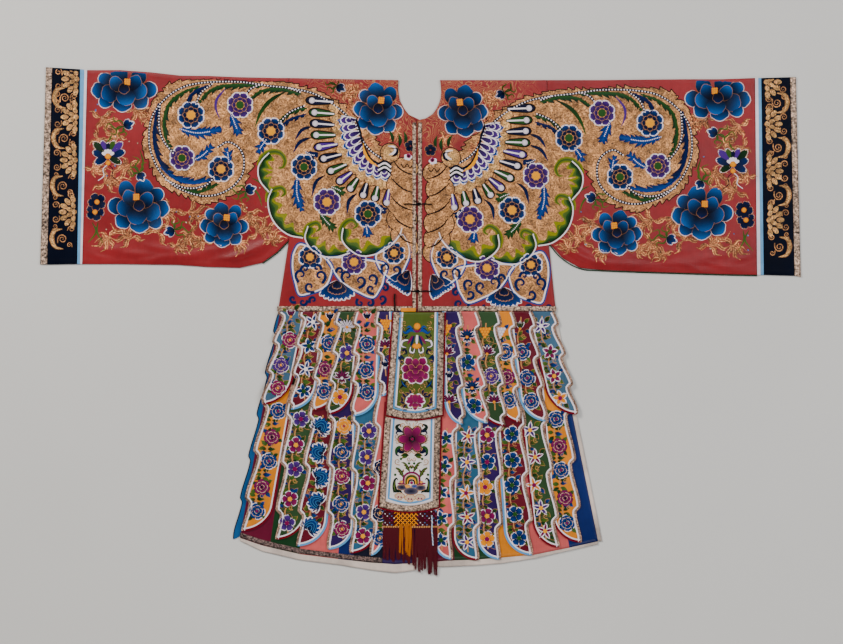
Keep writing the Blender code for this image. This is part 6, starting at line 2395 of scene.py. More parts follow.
def streamer_spray(work, laid, blooms, seed):
    """A winding stem with its flowers, leaves and tendrils."""
    chance = np.random.default_rng(seed)
    places = [(blooms[0].x + 1.0, blooms[0].y - 10.0)]
    for item, after in zip(blooms, blooms[1:]):
        swing = 3.4 * (-1.0) ** len(places)
        places += [(item.x, item.y), ((item.x + after.x) / 2.0 + swing, (item.y + after.y) / 2.0)]
    last = blooms[-1]
    places.append((last.x, last.y))
    foot = np.array((last.x + 1.0, last.y + 10.0))
    if on_streamer(laid, foot, 3.0):
        places.append(tuple(foot))
    work.line(places, 1.2, TAN, 0.16, 0.2)
    for number, item in enumerate(blooms):
        scatter_leaves(work, laid, (item.x, item.y), FLOWER_LEAVES, 0.92 * BLOOM_RADIUS, (5.5, 7.5),
                       31 * seed + number)
    for number, (item, after) in enumerate(zip(blooms, blooms[1:])):
        middle = places[2 + 2 * number]
        for share, angles in STEM_LEAVES:
            place = (middle[0], mix(item.y, after.y, share))
            leaf_seed = 57 * seed + 10 * number + int(10 * share)
            scatter_leaves(work, laid, place, angles, 1.0, (6.0, 8.5), leaf_seed)
        for hand in (-1.0, 1.0):
            spot = (middle[0] + 6.0 * hand, middle[1] - 3.5 * hand)
            if on_streamer(laid, spot, 9.0):
                curl(work, *spot, 2.3, 90 * hand, hand, 0.7, TAN, 0.32, 1.1)
    for item in blooms:
        bloom(work, item, chance.uniform(-20.0, 20.0) - 90.0)


def dark_edge(work, laid):
    """A dark line along the scallops of the plain streamer at the side."""
    y = laid.levels(3.0)
    y = y[y > laid.row.tip_y + 1.0]
    scalloped = squares_of(laid.edges(y)[1], y)
    work.line(scalloped + 0.4 * side_of(scalloped), 0.9, NAVY_DEEP, 0.2, 0.3, smoothed=False)


def make_streamer_embroidery():
    for number, (node, laid) in enumerate(each_streamer()):
        silk_work = Needlework(laid.height)
        gold_work = Needlework(laid.height)
        slot_name = SATIN_SLOTS[laid.row.colour]
        sewn = SPRAYS.get(node)
        if sewn:
            streamer_edging(silk_work, gold_work, laid, sewn.piping)
            streamer_spray(silk_work, laid, sewn.blooms, number)
            gold_work.build(node + "_metal_edging", GOLD_THREAD, slot_name)
        else:
            dark_edge(silk_work, laid)
        silk_work.build(node + "_embroidery", SILK, slot_name)


# Centre panels' embroidery and borders

def panel_inset(panel, depth):
    """A line inside a panel's two sides and foot, in drafting squares."""
    foot = panel.foot_y
    share = np.linspace(0.0, 1.0, 13)
    left_y = np.linspace(panel.top_y, foot + depth, 20)
    left = np.column_stack([panel_edge(panel, 0.0, left_y) + depth, left_y])
    x_low = np.linspace(left[-1, 0], panel_edge(panel, 1.0, foot) - depth, 13)
    low = np.column_stack([x_low, foot + depth - panel.sag * np.sin(np.pi * share)])
    right = np.column_stack([panel_edge(panel, 1.0, left_y[::-1]) - depth, left_y[::-1]])
    return np.vstack([left, low[1:-1], right])


def panel_border(name, panel, height, node):
    """The metal braid round three sides of a panel."""
    rows = []
    for share in np.linspace(0.0, 1.0, 5):
        line = panel_inset(panel, PANEL_EDGE + PANEL_BRAID_WIDTH * share)
        z = height(line[:, 0], line[:, 1]) + SEAM + BRAID + 0.15 * math.sin(math.pi * share)
        rows.append(np.column_stack([line, z]))
    grid = np.stack(rows[::-1], axis=1)
    length = length_of(grid[:, 2])
    lay_panel(name, grid, [METAL_BRAID], "metal_braid", (node,), wall=BRAID,
              cut=(length * MM, PANEL_BRAID_WIDTH * MM))


def panel_lines(work, panel, lines):
    """Plain lines of silk that follow a panel's sides and foot."""
    for depth, width, tint in lines:
        line = panel_inset(panel, depth)
        work.line(squares_of(line[:, 0], line[:, 1]), width, tint, 0.15, 0.3, smoothed=False)


class Pattern:
    """A panel's pattern, each shape worked twice: as given and mirrored across the middle."""

    def __init__(self, work, gold_work, middle):
        self.work = work
        self.gold_work = gold_work
        self.middle = middle

    def sides(self, points):
        points = np.asarray(points, dtype=float)
        yield -1.0, points + (self.middle, 0.0)
        yield 1.0, points * (-1.0, 1.0) + (self.middle, 0.0)

    def lines(self, rows):
        """Lines of silk: dye, widths from first to last, lift, and their points left of the middle."""
        for tint, widths, lift, points in rows:
            for _, line in self.sides(points):
                self.work.line(line, widths, tint, lift, 0.2)

    def curls(self, rows):
        """Couched curls: across from the middle, down, size and turn."""
        for x, y, size, turn in rows:
            for hand, spot in self.sides([(x, y)]):
                way = turn if hand < 0 else 180.0 - turn
                curl(self.gold_work, *spot[0], size, way, -hand, 0.8, TAN)

    def leaves(self, rows):
        """Leaves: across from the middle, down, direction, length, breadth and dyes."""
        for x, y, angle, length, width, dark, light in rows:
            for hand, spot in self.sides([(x, y)]):
                way = angle if hand < 0 else 180.0 - angle
                edged_leaf(self.work, spot[0], way, length, width, dark, light, bend=-0.6 * hand)

    def dots(self, rows, tint, radius):
        for x, y in rows:
            for _, spot in self.sides([(x, y)]):
                self.work.blob(spot[0], radius, tint, lift=0.3, corners=9)


def petal_set(work, x, y, rows, dark, light, rim=0.0):
    """Petals round a place: direction, start, length, breadth and lift."""
    for angle, start, length, width, lift in rows:
        base = np.array((x, y)) + turned((start, 0.0), angle)
        work.petal(base, angle, length, width, dark, light, rim, lift=lift)


UPPER_MIDDLE = 416.6
UPPER_CURLS = (
    (-12.5, 323, 2.6, 90), (-13.5, 329, 2.0, 200), (-13.0, 338, 2.0, 100), (-15.0, 352, 2.4, 20),
    (-14.5, 362, 2.4, 110), (-15.0, 369, 2.2, 250), (-15.5, 376, 2.2, 80), (-6.0, 355, 2.4, 30),
    (-5.5, 386, 2.6, 200), (-9.0, 383, 1.8, 40), (-15.5, 316, 1.8, 60), (-3.5, 391, 2.0, 320),
    (-15.5, 391, 2.0, 60), (-14.0, 406, 2.0, 90),
)
UPPER_LINES = (
    (NAVY_DEEP, (1.0, 4.4, 3.4, 1.0), 0.26, ((-1, 332), (-6, 329.5), (-11, 333), (-13.5, 331))),
    (BLUE, (0.8, 3.4, 2.4, 0.6), 0.40, ((-1, 332), (-6, 330), (-11, 333), (-13.5, 331))),
    (BLUE, (0.8, 2.2, 0.6), 0.42, ((-4, 330), (-7, 326.5), (-10, 328))),
    (NAVY_DEEP, (0.8, 2.0, 1.4, 0.5), 0.42, ((-9, 335), (-12, 337.5), (-14.5, 335.5), (-13.2, 333.5))),
    (MAGENTA, (1.6, 2.6, 1.0), 0.46, ((-4, 336), (-6.5, 340), (-9, 344))),
    (BLUE_DEEP, (1.4, 2.4, 2.0), 0.50, ((-2.5, 336), (-4, 340.5), (-5.5, 345.5))),
    (NAVY, (2.4, 3.2, 2.6, 1.6), 0.28, ((-8.5, 340), (-14, 341), (-15, 346), (-10.5, 347.5))),
    (WHITE, (1.2, 2.0, 1.5, 0.6), 0.36, ((-8.5, 340), (-14, 341), (-15, 346), (-10.5, 347.5))),
    (NAVY, (2.2, 2.8, 2.6, 1.4), 0.28, ((-6, 347), (-6.5, 351.5), (-3, 352.5), (-2, 348.5))),
    (WHITE, (1.0, 1.6, 1.5, 0.6), 0.36, ((-6, 347), (-6.5, 351.5), (-3, 352.5), (-2, 348.5))),
    (NAVY, (1.0, 2.8, 1.6, 0.4), 0.28, ((-16, 351), (-11.5, 350), (-10, 353.5), (-14, 354))),
    (NAVY_DEEP, (1.0, 3.6, 2.6, 0.8), 0.30, ((-12, 359), (-16.5, 356.5), (-16, 362), (-13.2, 361))),
    (BLUE_DEEP, (0.6, 1.8, 1.4, 0.4), 0.44, ((-12, 359), (-16.5, 356.5), (-16, 362), (-13.2, 361))),
    (NAVY_DEEP, (0.8, 3.0, 0.8), 0.30, ((-15.5, 380), (-13, 384.5), (-9.5, 387.5))),
    (NAVY_DEEP, (0.8, 3.0, 0.8), 0.30, ((-10.5, 381), (-13, 384.5), (-16.5, 388))),
    (BLUE, (0.3, 1.2, 0.3), 0.46, ((-15.0, 380.5), (-13, 384.5), (-10.0, 387))),
)
UPPER_LEAVES = tuple(
    (x, y, angle, 6.0, 2.6, NAVY_DEEP, BLUE_DEEP)
    for x, y, angle in ((-6.5, 396, 210), (-6, 394.5, 250), (-7, 396.5, 165), (-12, 398, 240),
                        (-12, 404, 200), (-14.5, 402, 255), (-9, 409, 150), (-10, 404, 120))
)
# The panel's peony: each petal's middle, way, length, breadth, rim and lift
UPPER_PEONY = (
    (-6.5, -8.0, -125, 8.6, 7.4, 1.1, 0.24), (6.5, -8.0, -55, 8.6, 7.4, 1.1, 0.24),
    (-9.6, -1.5, 190, 7.6, 7.4, 1.1, 0.34), (9.6, -1.5, -10, 7.6, 7.4, 1.1, 0.34),
    (-8.6, 5.6, 140, 8.0, 7.2, 1.1, 0.44), (8.6, 5.6, 40, 8.0, 7.2, 1.1, 0.44),
    (-3.4, 9.0, 110, 7.6, 7.4, 1.1, 0.54), (3.8, 9.0, 70, 7.6, 7.4, 1.1, 0.60),
    (0.0, -7.0, -90, 8.4, 7.0, 0.0, 0.60), (-4.6, 3.6, 150, 8.4, 6.8, 0.0, 0.66),
    (4.8, 3.6, 30, 8.4, 6.8, 0.0, 0.66), (0.0, 5.6, 90, 8.0, 7.4, 0.0, 0.76),
    (-3.6, -2.4, -140, 7.2, 5.2, 0.0, 0.84), (3.6, -2.4, -40, 7.2, 5.2, 0.0, 0.84),
    (0.0, 0.6, 90, 6.4, 6.0, 0.0, 0.94),
)
# Its lotus: the rimmed petals and the plain ones over them, each with way, start, length, breadth and lift
UPPER_LOTUS_OUTER = (
    (-172, 1.5, 8.0, 3.8, 0.30), (-8, 1.5, 8.0, 3.8, 0.31), (-148, 1.5, 8.0, 4.4, 0.34),
    (-32, 1.5, 8.0, 4.4, 0.35), (-122, 1.5, 7.8, 4.8, 0.38), (-58, 1.5, 7.8, 4.8, 0.39),
    (150, 1.5, 6.0, 3.8, 0.32), (30, 1.5, 6.0, 3.8, 0.33), (90, 1.0, 6.6, 4.6, 0.36),
)
UPPER_LOTUS_INNER = ((-90, 0.0, 8.2, 5.4, 0.62), (115, 0.5, 4.4, 3.6, 0.66), (65, 0.5, 4.4, 3.6, 0.67))


def upper_panel_work(work, gold_work):
    """A jewel on scrolled wings over a peony and a lotus, on moss green."""
    panel_lines(work, PANEL_UPPER, ((2.2, 2.1, CRIMSON), (20.6, 1.9, SKY), (25.0, 1.6, WHITE)))
    pattern = Pattern(work, gold_work, UPPER_MIDDLE)
    pattern.curls(UPPER_CURLS)
    pattern.lines(UPPER_LINES)
    pattern.leaves(UPPER_LEAVES)
    middle = UPPER_MIDDLE + 0.6
    work.line([(middle - 4, 329.5), (middle, 331.5), (middle + 4, 329.5)], (0.6, 2.6, 0.6), MAGENTA, 0.52)
    work.blob((middle, 326.3), 3.4, YELLOW, edge=AMBER, lift=0.5, crown=0.5, corners=14)
    work.line([(middle, 335), (middle - 0.3, 340), (middle - 0.4, 344)], (1.8, 2.6, 1.6), WHITE, 0.6)
    work.blob((middle - 0.5, 346), 4.6, YELLOW, edge=AMBER, squash=0.62, lift=0.62, crown=0.4, corners=14)
    for x, y, way, length, width, rim, lift in UPPER_PEONY:
        spot = (UPPER_MIDDLE - 1.0 + x, 370.0 + y)
        work.scalloped_petal(spot, way, length, width, WINE, MAGENTA_PALE, rim, lift, outline=(TAN, TAN),
                             fade=1.2)
    for rows, rim in ((UPPER_LOTUS_OUTER, 0.8), (UPPER_LOTUS_INNER, 0.0)):
        petal_set(work, UPPER_MIDDLE - 1.4, 402.5, rows, MAGENTA, MAGENTA_PALE, rim)


LOWER_MIDDLE = 411.6
LOWER_CURLS = (
    (-8.5, 425.5, 2.4, 200), (-3.5, 425.5, 2.2, 330), (-14.5, 436.5, 2.2, 100), (-14.5, 442, 2.2, 260),
    (-2.8, 451.5, 2.0, 30), (-2.6, 459, 2.2, 40), (-14.0, 461.5, 3.0, 100), (-9.5, 448.6, 1.6, 120),
    (-4.5, 421.5, 1.6, 120),
)
LOWER_LINES = (
    (GREEN_DEEP, (0.8, 3.8, 3.4, 2.0, 0.8), 0.30,
     ((-8.5, 432), (-13, 430), (-15, 426.5), (-11.5, 424.5), (-10.8, 427))),
    (NAVY, (0.8, 2.8, 1.6, 0.6), 0.44, ((-8.5, 432.5), (-12.5, 430.5), (-15.5, 433), (-13.4, 434.6))),
    (NAVY, (1.2, 5.4, 5.0, 2.6, 0.8), 0.30,
     ((-5.5, 450.5), (-10.5, 451), (-14, 449), (-15.2, 454), (-12.5, 456))),
    (GREEN, (0.6, 3.0, 2.4, 0.6), 0.44, ((-9, 447.5), (-12.5, 447), (-15.5, 450), (-14.6, 454))),
    (GREEN_DEEP, (0.8, 3.2, 2.6, 1.6, 0.6), 0.30,
     ((-2.0, 471.5), (-4.6, 466.5), (-7.0, 463.0), (-10.2, 462.4))),
    (LEAF, (0.3, 1.2, 0.9, 0.3), 0.46, ((-2.0, 471.5), (-4.6, 466.5), (-7.0, 463.0), (-10.2, 462.4))),
    (GREEN_DEEP, (1.0, 3.4, 2.6, 1.2), 0.30, ((-8.0, 477.5), (-10.4, 472.5), (-12.6, 469.4), (-15.8, 467.6))),
    (LEAF, (0.3, 1.2, 0.9, 0.3), 0.46, ((-8.0, 477.5), (-10.4, 472.5), (-12.6, 469.4), (-15.8, 467.6))),
    (GREEN_DEEP, (4.6, 4.2, 3.0, 2.0, 0.8), 0.30,
     ((-16.0, 492), (-17.4, 486), (-17.0, 480.5), (-15.0, 478), (-13.8, 480))),
    (GREEN_DEEP, (1.0, 3.6, 1.0), 0.32, ((-17.0, 492.0), (-12.5, 490.6), (-9.5, 492.5))),
    (LEAF, (0.4, 1.2, 0.4), 0.46, ((-16.4, 491), (-17.4, 486), (-16.8, 481))),
    (MAGENTA, (1.0, 2.8, 1.0), 0.34, ((-14.0, 483.2), (-10.0, 483.6), (-5.0, 484.6))),
    (TAN, (0.4, 0.8, 0.4), 0.50, ((-14.0, 485.2), (-9.0, 485.4), (-4.0, 486.6))),
)
LOWER_LEAVES = (
    (-3.0, 455.4, 170, 8.0, 4.2, GREEN_DEEP, GREEN), (-4.0, 456.0, 150, 6.4, 3.0, GREEN, LEAF),
)
FERN_TEETH = tuple(
    (x, y, angle, 3.4, 1.5, GREEN_DEEP, GREEN)
    for x, y, angle in ((-3.4, 469, 190), (-4.8, 466.4, 195), (-6.4, 464, 200), (-2.6, 467.5, 300),
                        (-9.2, 475, 190), (-10.6, 472.4, 190), (-12.4, 470, 195), (-9.6, 472.2, 290))
)
# The ways of the six lobes of the lower panel's flower
LOWER_PETALS = (-120, -60, 180, 0, 120, 60)
LOWER_FLOWER = (0.6, 439.0)
# The arch over the waves: its shape, then the half width, height, breadth and dye of each of its lines
ARCH_FOOT = 484.0
ARCH_SHAPE = ((-1.0, 0.0), (-0.92, 0.62), (-0.5, 0.92), (0.0, 1.0), (0.5, 0.92), (0.92, 0.62), (1.0, 0.0))
ARCHES = (
    (8.2, 11.6, 2.0, MAGENTA), (6.4, 9.4, 0.9, TAN), (5.3, 8.0, 1.9, GREEN), (4.2, 6.2, 1.7, YELLOW),
    (3.0, 4.2, 1.6, NAVY_DEEP),
)
# Waves: across, down, half width, flatness and dye
WAVES = (
    (-9.6, 487.0, 4.8, 0.56, NAVY), (9.0, 487.6, 4.8, 0.56, NAVY), (-0.6, 491.0, 7.0, 0.5, NAVY),
    (-4.5, 486.2, 3.0, 0.5, YELLOW), (3.0, 486.2, 3.2, 0.5, BLUE), (-9.6, 481.6, 2.2, 0.5, YELLOW),
    (9.0, 482.0, 2.2, 0.5, YELLOW),
)
# Clouds: across, down and size; and the ways of the puffs of each
CLOUDS = ((-11.8, 496.2, 4.6), (-1.6, 498.2, 5.2), (8.4, 497.6, 4.8))
CLOUD_PUFFS = (-165, -120, -60, -15, 90)


def six_lobed_flower(work, middle):
    for number, angle in enumerate(LOWER_PETALS):
        spot = np.array(middle) + turned((8.0, 0.0), angle)
        for grow, first, last, rise in ((2.4, NAVY_DEEP, NAVY, 0.0), (0.0, WINE, MAGENTA_PALE, 0.3)):
            work.scalloped_petal(spot, angle, 10.2 + grow, 8.0 + grow, first, last,
                                 lift=0.3 + rise + 0.02 * number, outline=(first, TAN), waves=1.5, fade=1.0)
    work.blob(middle, 1.6, MAGENTA_PALE, edge=CRIMSON, lift=1.0)


def arch_and_waves(work, middle):
    """An arch of coloured lines that stands on waves."""
    for half, tall, width, tint in ARCHES:
        arch = [(middle + across * half, ARCH_FOOT - up * tall) for across, up in ARCH_SHAPE]
        work.line(arch, width, tint, 0.56, 0.2)
    work.blob((middle, 482.6), 1.6, MAGENTA_PALE, edge=MAGENTA, lift=0.7)
    for x, y, rx, squash, tint in WAVES:
        edge = mix(np.asarray(tint), np.asarray(PALE), 0.25)
        work.blob((middle + x, y), rx + 0.5, TAN, squash=squash + 0.04, lift=0.54, crown=0.02, corners=20)
        work.blob((middle + x, y), rx, tint, edge=edge, squash=squash, lift=0.60, crown=0.1, corners=20)


def cloud(work, x, y, size):
    """A cloud of cream puffs edged with tan, with two magenta dots."""
    for grow, tint, rise in ((0.8, TAN, 0.0), (0.0, CREAM, 0.06)):
        for angle in CLOUD_PUFFS:
            spot = np.array((x, y)) + turned((0.55 * size, 0.0), angle) * (1.0, 0.6)
            work.blob(spot, 0.46 * size + grow, tint, squash=0.8, lift=0.3 + rise, crown=0.05, corners=14)
    work.blob((x - 1.4, y + 0.6), 0.9, MAGENTA, lift=0.5, corners=8)
    work.blob((x + 1.4, y + 0.9), 0.9, MAGENTA, lift=0.5, corners=8)


def lower_panel_work(work, gold_work):
    """A six-lobed flower among scrolls over a fountain of ferns, waves and clouds, on white."""
    panel_lines(work, PANEL_LOWER, ((2.2, 2.1, CRIMSON), (20.4, 1.6, WHITE), (24.8, 2.0, SKY)))
    pattern = Pattern(work, gold_work, LOWER_MIDDLE)
    pattern.curls(LOWER_CURLS)
    pattern.lines(LOWER_LINES)
    pattern.leaves(LOWER_LEAVES + FERN_TEETH)
    pattern.dots(((-10.6, 458.8), (-2.6, 463.3), (-16.4, 474.6)), GREEN, 1.3)
    work.blob((LOWER_MIDDLE, 467.4), 1.3, GREEN, lift=0.3, corners=9)
    six_lobed_flower(work, (LOWER_MIDDLE + LOWER_FLOWER[0], LOWER_FLOWER[1]))
    arch_and_waves(work, LOWER_MIDDLE)
    for x, y, size in CLOUDS:
        cloud(work, LOWER_MIDDLE + x, y, size)


def make_panel_embroidery():
    rows = (
        ("upper", PANEL_UPPER, upper_panel_z, upper_panel_work, "panel_green_satin"),
        ("lower", PANEL_LOWER, lower_panel_z, lower_panel_work, "panel_white_satin"),
    )
    for word, panel, height, work_over, slot_name in rows:
        panel_border(f"centre_border_{word}", panel, height, f"centre_braid_{word}")
        silk_work = Needlework(height)
        gold_work = Needlework(height)
        work_over(silk_work, gold_work)
        gold_work.build(f"centre_panel_{word}_gold", GOLD_THREAD, slot_name)
        silk_work.build(f"centre_panel_{word}_embroidery", SILK, slot_name)


# Braids, piping, ties and the waist tab

class Strip(NamedTuple):
    """A straight trim: its two sides, its top and foot."""
    left: float
    right: float
    top_y: float
    foot_y: float


TRIM_STRIPS = {
    "front_braid_left": Strip(-19.2, -10.8, 480.0, 27.0),
    "front_braid_right": Strip(-6.0, 3.6, 480.0, 27.0),
    "waist_braid_left": Strip(-344.0, -20.0, 39.0, 27.0),
    "waist_braid_right": Strip(4.4, 326.0, 39.0, 27.0),
}
WAIST_TAB = Strip(-47.0, -11.0, 35.0, 25.4)
PIPING_RADIUS = 1.4
TIE_RADIUS = 1.5
WAIST_TIE_RADIUS = 2.0
WAIST_TIE_X = -62.0
WAIST_TIE_ENDS = (69.0, 27.5)


class Tie(NamedTuple):
    """A black cord tie across the opening: its height, its knot and its two ends."""
    node: str
    y: float
    knot_x: float
    left: float
    right: float


TIES = (Tie("tie_chest", 284.0, -4.0, -40.0, 28.0), Tie("tie_belly", 75.0, -6.0, -40.0, 28.0))
# A strip narrower than this is laid as plain cloth, a wider one as a panel
SHEET_LEAST = 10.0
CORD_STRANDS = 2


def lay_trim(name, strip, finish, slot_name, node, z, wall):
    """A woven trim with its threads along its length."""
    tall = strip.top_y - strip.foot_y > strip.right - strip.left
    length = max(strip.top_y - strip.foot_y, strip.right - strip.left)
    along = np.linspace(0.0, 1.0, max(4, int(length / 5.0)))
    across = np.linspace(0.0, 1.0, 5)
    if tall:
        x = strip.left + (strip.right - strip.left) * across[None, :] + 0.0 * along[:, None]
        y = strip.top_y + (strip.foot_y - strip.top_y) * along[:, None] + 0.0 * x
    else:
        x = strip.left + (strip.right - strip.left) * along[None, :] + 0.0 * across[:, None]
        y = strip.top_y + (strip.foot_y - strip.top_y) * across[:, None] + 0.0 * x
    height = z + 0.12 * np.sin(y / 7.0 + x / 11.0)
    grid = np.stack([x, y, height], axis=-1)
    if min(strip.right - strip.left, strip.top_y - strip.foot_y) < SHEET_LEAST:
        lay_cloth(name, grid, [finish], slot_name, (node,), wall=wall)
    else:
        lay_panel(name, grid, [finish], slot_name, (node,), wall=wall)


def lay_cord(name, route, radius, finish, slot_name, replaced=(), sides=10, pitch=6.0, dyes=None):
    """A twisted cord along a route, its strands showing as a soft helix."""
    route = np.asarray(route, dtype=float)
    run = np.gradient(route, axis=0)
    run /= np.linalg.norm(run, axis=1, keepdims=True)
    side = np.cross(run, (0.0, 0.0, 1.0))
    side /= np.maximum(np.linalg.norm(side, axis=1, keepdims=True), 1e-9)
    up = np.cross(side, run)
    length = run_lengths(route)
    angle = np.linspace(0.0, 2.0 * np.pi, sides, endpoint=False)
    phase = angle[None, :] * CORD_STRANDS - (2.0 * np.pi * length / pitch)[:, None]
    reach = radius * (0.90 + 0.12 * np.abs(np.cos(phase / 2.0)))
    points = route[:, None, :] + side[:, None, :] * (reach * np.cos(angle))[..., None] \
        + up[:, None, :] * (reach * np.sin(angle))[..., None]
    rows = len(route)
    number = np.arange(rows * sides).reshape(rows, sides)
    after = np.roll(number, -1, axis=1)
    faces = np.stack([number[:-1], after[:-1], after[1:], number[1:]], axis=-1).reshape(-1, 4).tolist()
    faces += [number[0, ::-1].tolist(), number[-1].tolist()]
    mesh = bpy.data.meshes.new(name)
    mesh.from_pydata((points.reshape(-1, 3) * MM).tolist(), [], faces)
    if dyes:
        pick = (np.sin(phase) > 0.0).ravel()
        colours = np.where(pick[:, None], np.array(dyes[0])[None, :], np.array(dyes[1])[None, :])
        dye_points(mesh, colours)
    bm = bmesh.new()
    bm.from_mesh(mesh)
    bmesh.ops.recalc_face_normals(bm, faces=bm.faces)
    bm.to_mesh(mesh)
    bm.free()
    piece = add_piece(name, mesh, [finish], slot_name, replaced)
    thread = np.stack([np.broadcast_to(length[:, None], (rows, sides)),
                       np.broadcast_to(angle[None, :] * radius, (rows, sides))], axis=-1).reshape(-1, 2)
    finish_mesh(piece, thread / 10.0, None)
    return piece


def knot_route(tie, z):
    """A tie's cord: in from one end, twice round its knot, and out to the other end."""
    points = []
    for x in np.linspace(tie.left, tie.knot_x - 5.0, 10):
        points.append((x, tie.y + 0.8 * math.sin(x / 6.0), z))
    for angle in np.linspace(math.pi, -3.0 * math.pi, 34):
        share = (math.pi - angle) / (4.0 * math.pi)
        points.append((tie.knot_x + 3.4 * math.cos(angle), tie.y + 2.4 * math.sin(angle),
                       z + 1.6 * math.sin(math.pi * share) + 0.5 * math.sin(angle * 1.5)))
    for x in np.linspace(tie.knot_x + 5.0, tie.right, 8):
        points.append((x, tie.y + 0.8 * math.sin(x / 7.0), z))
    return points


def make_trims():
    top = TRIM_LAYER + BRAID
    for node, strip in TRIM_STRIPS.items():
        lay_trim(node + "_woven", strip, METAL_BRAID, "metal_braid", node, top, BRAID)
    lay_trim("waist_tab_satin", WAIST_TAB, ORANGE, "orange_satin", "waist_tab", OVER_BRAID + THIN, THIN)
    x = np.linspace(HEM_LEFT[0].x, HEM_BRAID_END, 60)
    y = np.interp(x, [p.x for p in HEM_LEFT], [p.panel_y for p in HEM_LEFT]) + HEM_BRAID_RISE
    rows = [np.column_stack([x, y + HEM_BRAID_WIDTH * (1.0 - share), np.full_like(x, top)])
            for share in BAND_SHARES]
    length = float(np.hypot(np.diff(x), np.diff(y)).sum())
    lay_panel("hem_braid_left_woven", rows, [HEM_BRAID], "metal_braid", ("hem_braid_left",),
              wall=BRAID, cut=(length * MM, HEM_BRAID_WIDTH * MM))
    for tie in TIES:
        lay_cord(tie.node + "_cord", knot_route(tie, OVER_BRAID + TIE_RADIUS), TIE_RADIUS, BLACK_CORD,
                 "black_cord", (tie.node,))
    route = []
    for y in np.linspace(*WAIST_TIE_ENDS, 28):
        rise = 1.2 if 50 < y < 60 else 0.0
        route.append((WAIST_TIE_X + 0.6 * math.sin(y / 5.0), y, OVER_BRAID + WAIST_TIE_RADIUS + rise))
    lay_cord("tie_waist_cord", route, WAIST_TIE_RADIUS, BLACK_CORD, "black_cord", ("tie_waist",))


def make_piping():
    for word, stations in (("left", SLEEVE_LEFT[6:9]), ("right", SLEEVE_RIGHT)):
        table = np.array([(s.low_x, s.low_y) for s in stations], dtype=float)
        line = curve(table, 5.0)
        run = np.gradient(line, axis=0)
        run /= np.linalg.norm(run, axis=1, keepdims=True)
        outward = np.stack([run[:, 1], -run[:, 0]], axis=1)
        outward *= np.where(outward[:, 1:] > 0.0, -1.0, 1.0)
        line = line + outward * (PIPING_RADIUS + SEAM)
        route = np.column_stack([line, np.full(len(line), FOLD_RADIUS)])
        lay_cord(f"green_piping_{word}", route, PIPING_RADIUS, GREEN_PIPING, "green_piping",
                 (f"piping_{word}",), sides=8, pitch=4.0)


# Net, tassels and cord

class Fringe(NamedTuple):
    """A row of hanging strands: its heading's two ends, and its foot at the left and the right."""
    name: str
    node: str
    left: float
    right: float
    heading_y: float
    foot_left: float
    foot_right: float
    layer: float
    colour: str
    slot: str


FRINGES = (
    Fringe("maroon_fringe_left", "tassel_left", -90, -16, -492.3, -570, -585, 6.2, "maroon", "maroon_silk"),
    Fringe("maroon_fringe_right", "tassel_right", -12, 40, -492.3, -600, -611, 6.2, "maroon", "maroon_silk"),
    Fringe("yellow_tassels", "tassel_yellow", -50, -22, -487.3, -561, -563, 7.8, "yellow", "yellow_silk"),
)
# Where the three yellow tassels hang, from the first to the last of their strands, and how broad each is
YELLOW_TASSELS = ((-46.0, 3.2), (-33.0, 4.0), (-24.0, 1.6))
STRAND_PITCH = 0.85
STRAND_ROWS = 12
FRINGE_LAYERS = 3
CLUMP = 7.5
OFF_THE_HEM = -596.0
NET_LEFT = -90.0
NET_RIGHT = 40.0
NET_FOOT = -492.0
NET_TOP_Z = NET_LAYER + CLOTH
# In drafting squares: the net's top, the size of its meshes and where its yellow part begins and ends
NET_TOP = 508.5
NET_MESH = 4.4
NET_YELLOW = (396.0, 417.0)
NET_SHADE = dye(84, 10, 36)
NET_KNOTS = (BLUE_PALE, WHITE, MAGENTA_PALE, MAROON_DYE)


def strand_line(fringe, part, strand, layer, chance):
    """One strand of a fringe: its places from the heading down, wandering a little."""
    share = np.linspace(0.0, 1.0, STRAND_ROWS)
    x = mix(fringe.left, fringe.right, part) + chance.uniform(-0.6, 0.6)
    if fringe.colour == "yellow":
        middle, half = YELLOW_TASSELS[strand % len(YELLOW_TASSELS)]
        x = middle + half * chance.uniform(-1.0, 1.0)
    lock = math.floor(x / CLUMP)
    ragged = 5.0 * math.sin(2.3 * lock) + 4.0 * math.sin(0.9 * lock + 1.0)
    foot = mix(fringe.foot_left, fringe.foot_right, part) + max(0.0, 4.0 + ragged) + chance.uniform(0.0, 5.0)
    drift = 0.34 * ((lock + 0.5) * CLUMP - x) + 2.2 * math.sin(3.7 * lock) + chance.uniform(-0.6, 0.6)
    sway = chance.uniform(-1.6, 1.6)
    xs = x + drift * share ** 1.5 + sway * np.sin(share * np.pi * chance.uniform(0.8, 1.6))
    ys = mix(fringe.heading_y + 4.0, foot, share)
    zs = fringe.layer + 1.1 - 0.38 * layer - 1.0 * smooth(share * 1.2) + 0.3 * math.sin(2.9 * lock)
    below = smooth((OFF_THE_HEM - ys) / 14.0)
    zs = np.where(ys < OFF_THE_HEM, mix(zs, 2.4 - 0.3 * layer, below), zs)
    return xs, ys, zs


